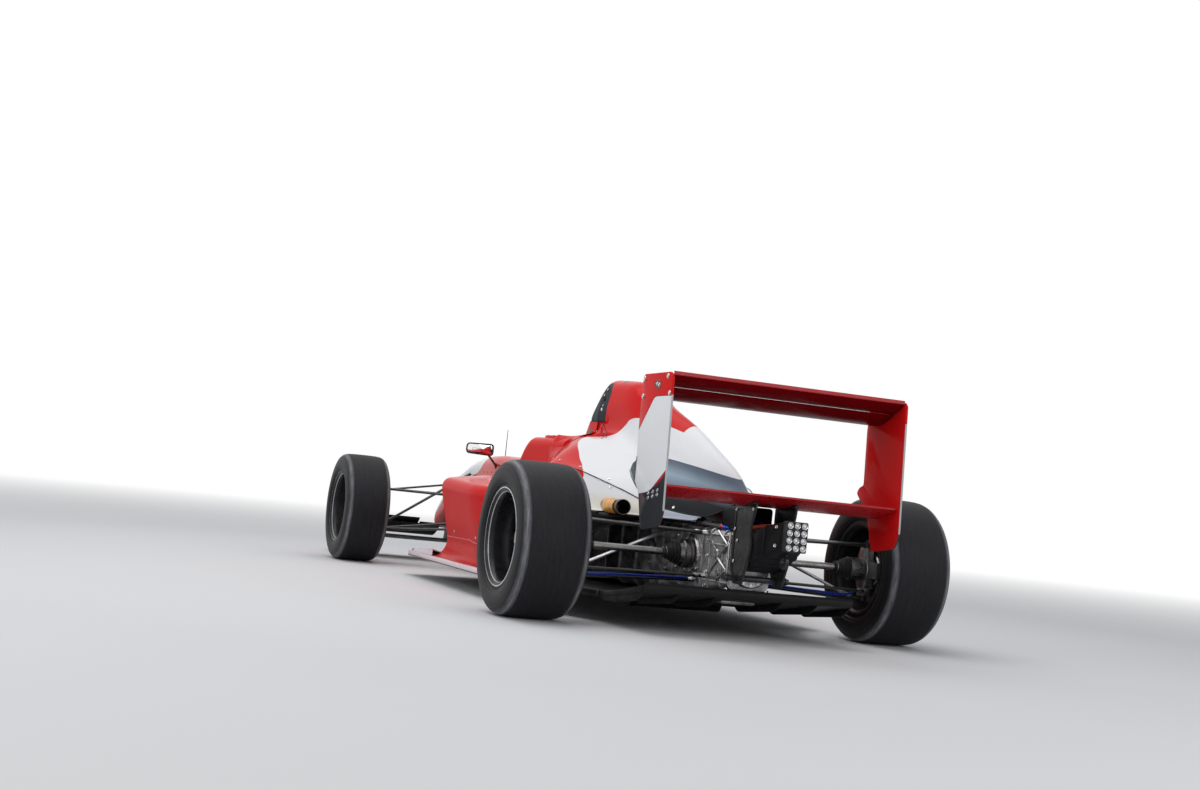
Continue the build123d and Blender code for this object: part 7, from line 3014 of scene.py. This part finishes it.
class CAR_OT_suspension(bpy.types.Operator):
    """Make the wishbones, pushrods, toe links, uprights, calipers and steering rods"""

    bl_idname = "car.suspension"
    bl_label = "Suspension"

    def execute(self, context):
        self.front_links()
        self.rear_links()
        self.uprights()
        self.steering_rods()
        return {"FINISHED"}

    def boss(self, name, ball):
        """The round outer end of a wishbone."""
        radius, length = 0.0155, 0.0098
        profile = [
            (-length, 0.0), (-length, radius * 0.8), (-length * 0.8, radius), (length * 0.8, radius),
            (length, radius * 0.8), (length, 0.0)
        ]
        return turned(name, profile, ball, UP, 32)

    def arms(self, name, ball, inners, chord, thick, drop=0.0):
        """Two links that meet in one boss."""
        pieces = [self.boss(f"{name}_boss", ball)]
        outer = Vector(ball) - Vector((0, 0, drop))
        joints = []
        for number, inner in enumerate(inners):
            inner = Vector(inner)
            pieces.append(link(f"{name}_arm{number}", outer, inner, chord, thick, 0.0078, 0.07))
            toward = (outer - inner).normalized()
            joints.append(
                turned(
                    "eye",
                    [
                        (-0.012, 0.0), (-0.012, 0.0075), (-0.006, 0.0108), (0.006, 0.0108), (0.012, 0.0082),
                        (0.026, 0.0088), (0.03, 0.0095), (0.042, 0.0095), (0.046, 0.0076), (0.046, 0.0)
                    ],
                    inner + toward * 0.012, toward, 20
                )
            )
        return join(name, pieces), joints

    def pair(self, piece, name, slot, finish, *nodes, smooth=35):
        settle(both(piece, name), slot, finish, *nodes, smooth=smooth)

    def front_links(self):
        king_x, king_y = FRONT_AXLE.x, 0.695

        def tub(ahead):
            return between(TUB, ahead + 2.75)[2] + 0.0057

        upper, joints = self.arms(
            "front_upper", (king_x, king_y, 0.38),
            [(fore(0.05), tub(0.05), 0.38), (fore(-0.25), tub(-0.25), 0.38)], 0.032, 0.0125
        )
        lower, more = self.arms(
            "front_lower", (king_x, king_y, 0.17),
            [(fore(0.06), tub(0.06), 0.238), (fore(-0.24), tub(-0.24), 0.218)], 0.034, 0.0135, 0.005
        )
        push = link(
            "front_pushrod", (fore(-0.014), 0.653, 0.176), (fore(-0.014), tub(-0.014), 0.5), 0.026, 0.013,
            0.0075, 0.06
        )
        pins = [
            bar("pin_up", (king_x, king_y, 0.346), (king_x, king_y, 0.374), 0.008, 0.0078, 20, 0.0008),
            bar("pin_low", (king_x, king_y, 0.176), (king_x, king_y, 0.204), 0.0078, 0.008, 20, 0.0008)
        ]
        brackets = []
        for a, z in ((0.05, 0.38), (-0.25, 0.38), (0.06, 0.238), (-0.24, 0.218)):
            half = between(TUB, a + 2.75)[2]
            brackets.append(
                box(
                    "clevis", (fore(a) - 0.02, fore(a) + 0.02), (half - 0.002, half + 0.006),
                    (z - 0.024, z + 0.024), 0.003, 2
                )
            )
        self.pair(
            join("front_links", [upper, lower, push]), "front_links", "painted_steel", black_enamel(),
            "front_wishbones"
        )
        self.pair(
            join("front_link_joints", joints + more + pins), "front_link_joints", "bare_steel",
            bright_steel(), "front_wishbones"
        )
        self.pair(join("front_clevises", brackets), "front_clevises", "bare_steel", black_enamel())

    def rear_links(self):
        gear = [(-0.3, 0.078), (-0.06, 0.1), (0.09, 0.104), (0.3, 0.125), (0.62, 0.2)]
        ball_y = 0.6475

        def inner(s, z, lift=0.0057):
            return (back(s), between(gear, s)[0] + lift, z)

        upper, joints = self.arms(
            "rear_upper", (back(0), ball_y, 0.38), [inner(0.23, 0.372), inner(-0.14, 0.372)], 0.034, 0.013
        )
        lower, more = self.arms(
            "rear_lower", (back(0), ball_y, 0.17), [inner(0.25, 0.194), inner(-0.06, 0.194)], 0.034, 0.0135,
            0.005
        )
        push = link(
            "rear_pushrod", (back(0.024), ball_y - 0.04, 0.174), inner(0.14, 0.38), 0.024, 0.013, 0.0075,
            0.06
        )
        toe = link(
            "rear_toe_link", (back(-0.08), ball_y - 0.022, 0.205), inner(-0.15, 0.215, 0.0018), 0.02, 0.0115,
            0.0068, 0.06
        )
        tab = box(
            "toe_tab", (back(-0.092), back(-0.068)), (ball_y - 0.03, ball_y - 0.0163), (0.195, 0.215), 0.002,
            2
        )
        self.pair(
            join("rear_links", [upper, lower, toe]), "rear_links", "painted_steel", black_enamel(),
            "rear_wishbones"
        )
        self.pair(
            join("rear_pushrod", [push]), "rear_pushrods", "painted_steel",
            stock(machined, "pale rod enamel", (0.6, 0.6, 0.62), 0.3), "rear_wishbones"
        )
        ends = []
        for start, end in (
            ((back(0.024), ball_y - 0.04, 0.174), inner(0.14, 0.38)),
            ((back(-0.08), ball_y - 0.022, 0.205), inner(-0.15, 0.215, 0.0018))
        ):
            for a, b in ((start, end), (end, start)):
                a, b = Vector(a), Vector(b)
                ends.append(
                    turned(
                        "eye",
                        [
                            (-0.01, 0.0), (-0.01, 0.0075), (-0.004, 0.0102), (0.006, 0.0102), (0.012, 0.008),
                            (0.028, 0.0085), (0.032, 0.0092), (0.042, 0.0092), (0.046, 0.0075), (0.046, 0.0)
                        ],
                        a + (b - a).normalized() * 0.01, b - a, 20
                    )
                )
        self.pair(
            join("rear_link_joints", joints + more + ends), "rear_link_joints", "bare_steel", bright_steel(),
            "rear_wishbones"
        )
        self.pair(tab, "toe_tabs", "bare_steel", black_enamel(), "rear_wishbones")
        lines = []
        for offset, lift in ((0.016, 0.006), (0.022, 0.009)):
            path = [
                (back(-0.055 - offset), 0.15, 0.19 + lift),
                (back(-0.052 - offset * 0.7), 0.28, 0.186 + lift),
                (back(-0.036 - offset * 0.5), 0.42, 0.18 + lift), (back(-0.022), 0.56, 0.176 + lift),
                (back(-0.02), 0.6, 0.2)
            ]
            lines.append(tube("brake_line", path, 0.0036, 8, 50))
        blue = stock(enamel, "blue hose", (0.01, 0.04, 0.36), 0.35)
        self.pair(join("brake_lines", lines), "brake_lines", "black_plastic", blue, smooth=60)

    def uprights(self):
        for end, size in WHEEL.items():
            centre, inset = size["centre"], size["inset"]
            low, high = (0.181, 0.369) if end == "front" else (0.1803, 0.3697)
            y = centre.y - inset
            outline = softened([
                (-0.02, low), (0.022, low), (0.034, centre.z - 0.055), (0.046, centre.z),
                (0.034, centre.z + 0.055), (0.024, high),
                (-0.022, high), (-0.034, centre.z + 0.055), (-0.046, centre.z), (-0.034, centre.z - 0.055),
            ], [0.006, 0.006, 0.03, 0.03, 0.03, 0.006, 0.006, 0.03, 0.03, 0.03], 5)
            plate = slab(
                f"{end}_upright_plate", [(centre.x + a, y - 0.016, z) for a, z in outline], (0, 0.032, 0),
                0.003, 2
            )
            bearing = turned(
                "bearing",
                [
                    (-0.017, 0.0325), (-0.017, 0.044), (-0.013, 0.047), (0.013, 0.047), (0.017, 0.044),
                    (0.017, 0.0325)
                ],
                (centre.x, y, centre.z), steps=56
            )
            bore = turned(
                "bore", [(-0.05, 0.0), (-0.05, 0.0325), (0.05, 0.0325), (0.05, 0.0)],
                (centre.x, y, centre.z), steps=56
            )
            cut(plate, bore)
            parts = [plate, bearing]
            if end == "front":
                arm = slab(
                    "steering_arm",
                    [
                        (centre.x + a, y + b, 0.3365)
                        for a, b in (
                            (0.026, -0.014), (0.085, -0.0145), (0.0995, 0.0), (0.085, 0.0145), (0.026, 0.014)
                        )
                    ],
                    (0, 0, 0.015), 0.003, 2
                )
                stud = turned(
                    "track_stud", [(0.0, 0.0), (0.0, 0.005), (0.019, 0.005), (0.02, 0.0042), (0.02, 0.0)],
                    (centre.x + 0.085, y, 0.351), UP, 20
                )
                parts += [arm, stud]
            knuckle = join(f"{end}_upright_left", parts)
            caliper = self.caliper(end, centre, y)
            metal = casting()
            red = stock(enamel, "caliper enamel", (0.08, 0.08, 0.085), 0.35)
            if end == "front":
                for piece, finish in ((knuckle, metal), (caliper, red)):
                    settle_sides(piece, "casting", finish, "front_upright_left", body="knuckle_left")
            else:
                self.pair(knuckle, "rear_upright_castings", "casting", metal, "rear_uprights")
                self.pair(caliper, "rear_calipers", "casting", red, "rear_uprights")

    def caliper(self, end, centre, y):
        """A four-piston caliper straddling the disc's rear edge, with a bridge, piston caps and a bracket."""
        disc_in = y + 0.026
        low, high = disc_in - 0.015, disc_in + 0.035
        pieces = []

        def arc(radius, first, last, y):
            angles = [math.radians(180 + angle) for angle in spread(first, last, 9)]
            return [(centre.x + radius * math.cos(a), y, centre.z + radius * math.sin(a)) for a in angles]

        for y0, y1 in ((low, low + 0.0095), (high - 0.0095, high)):
            outline = arc(0.147, -26, 26, y0) + arc(0.099, 30, -30, y0)
            pieces.append(slab("cheek", outline, (0, y1 - y0, 0), 0.002, 2))
        bridge = arc(0.1475, -25, 25, low + 0.001) + arc(0.1365, 25, -25, low + 0.001)
        pieces.append(slab("bridge", bridge, (0, high - low - 0.002, 0), 0.001, 1))
        for z in (-0.028, 0.028):
            for y0, direction in ((low, -1), (high, 1)):
                pieces.append(
                    turned(
                        "piston_cap",
                        [(0.0, 0.0), (0.0, 0.017), (0.003, 0.017), (0.005, 0.014), (0.005, 0.0)],
                        (centre.x - 0.118, y0, centre.z + z), (0, direction, 0), 28
                    )
                )
        bracket = box(
            "bracket", (centre.x - 0.112, centre.x - 0.034), (y - 0.014, low + 0.004),
            (centre.z - 0.032, centre.z + 0.032), 0.003, 2
        )
        pieces.append(bracket)
        return join(f"{end}_caliper_left", pieces)

    def steering_rods(self):
        """Track rods from the rack to the steering arms; the rack's bar stays as it is."""
        x = fore(0.085)
        eye_z = 0.3593
        rod_end = (x, 0.695 - 0.016, eye_z)
        track = link("track_rod", (x, 0.225, 0.438), rod_end, 0.018, 0.0105, 0.006, 0.06)
        eye = turned(
            "track_eye",
            [
                (-0.0066, 0.0094), (-0.0066, 0.0155), (-0.005, 0.0168), (0.005, 0.0168), (0.0066, 0.0155),
                (0.0066, 0.0094)
            ],
            (x, 0.695, eye_z), UP, 28
        )
        inner = turned(
            "rack_joint",
            [
                (-0.014, 0.0), (-0.014, 0.01), (-0.01, 0.0138), (0.01, 0.0138), (0.014, 0.01),
                (0.022, 0.0078), (0.022, 0.0)
            ],
            (x, 0.222, 0.44), (0, 1, -0.17), 28
        )
        left = join("track_rod_left", [track, eye, inner])
        shaft = bar("rack_bar", (x, -0.222, 0.44), (x, 0.222, 0.44), 0.011, 0.011, 32, 0.001)
        settle(
            both(left, "track_rods"), "bare_steel", black_enamel(), "steering_rack", smooth=35, body="rack"
        )
        settle(shaft, "bare_steel", bright_steel(), "steering_rack", body="rack")


# Panel and start


STEPS = (
    CAR_OT_stage, CAR_OT_tyres, CAR_OT_rims, CAR_OT_hubs, CAR_OT_tub, CAR_OT_sidepods, CAR_OT_cover,
    CAR_OT_cockpit,
    CAR_OT_rear_wing, CAR_OT_front_wing, CAR_OT_floor, CAR_OT_tail, CAR_OT_gearbox, CAR_OT_suspension,
)
GROUPS = (CarColours, StageLook, WheelLook)


class CAR_PT_pieces(bpy.types.Panel):
    """The steps that make the car, in order."""

    bl_idname = "CAR_PT_pieces"
    bl_label = "Racing car"
    bl_space_type = "VIEW_3D"
    bl_region_type = "UI"
    bl_category = "Racing car"

    def draw(self, context):
        for step in STEPS:
            self.layout.operator(step.bl_idname)
        for group in (context.scene.car_colours, context.scene.car_stage, context.scene.car_wheels):
            for entry in group.bl_rna.properties:
                if entry.identifier not in {"rna_type", "name"}:
                    self.layout.prop(group, entry.identifier)


def register():
    for kind in (*GROUPS, *STEPS, CAR_PT_pieces):
        bpy.utils.register_class(kind)
    bpy.types.Scene.car_colours = PointerProperty(
        type=CarColours, name="Colours", description="Paint colours"
    )
    bpy.types.Scene.car_stage = PointerProperty(type=StageLook, name="Stage", description="Floor and light")
    bpy.types.Scene.car_wheels = PointerProperty(type=WheelLook, name="Wheels", description="Wheel sizes")


def unregister():
    del bpy.types.Scene.car_colours
    del bpy.types.Scene.car_stage
    del bpy.types.Scene.car_wheels
    for kind in reversed((*GROUPS, *STEPS, CAR_PT_pieces)):
        bpy.utils.unregister_class(kind)


def main():
    register()
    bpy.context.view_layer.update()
    for step in STEPS:
        group, name = step.bl_idname.split(".")
        getattr(getattr(bpy.ops, group), name)()
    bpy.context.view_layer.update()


if __name__ == "__main__":
    main()
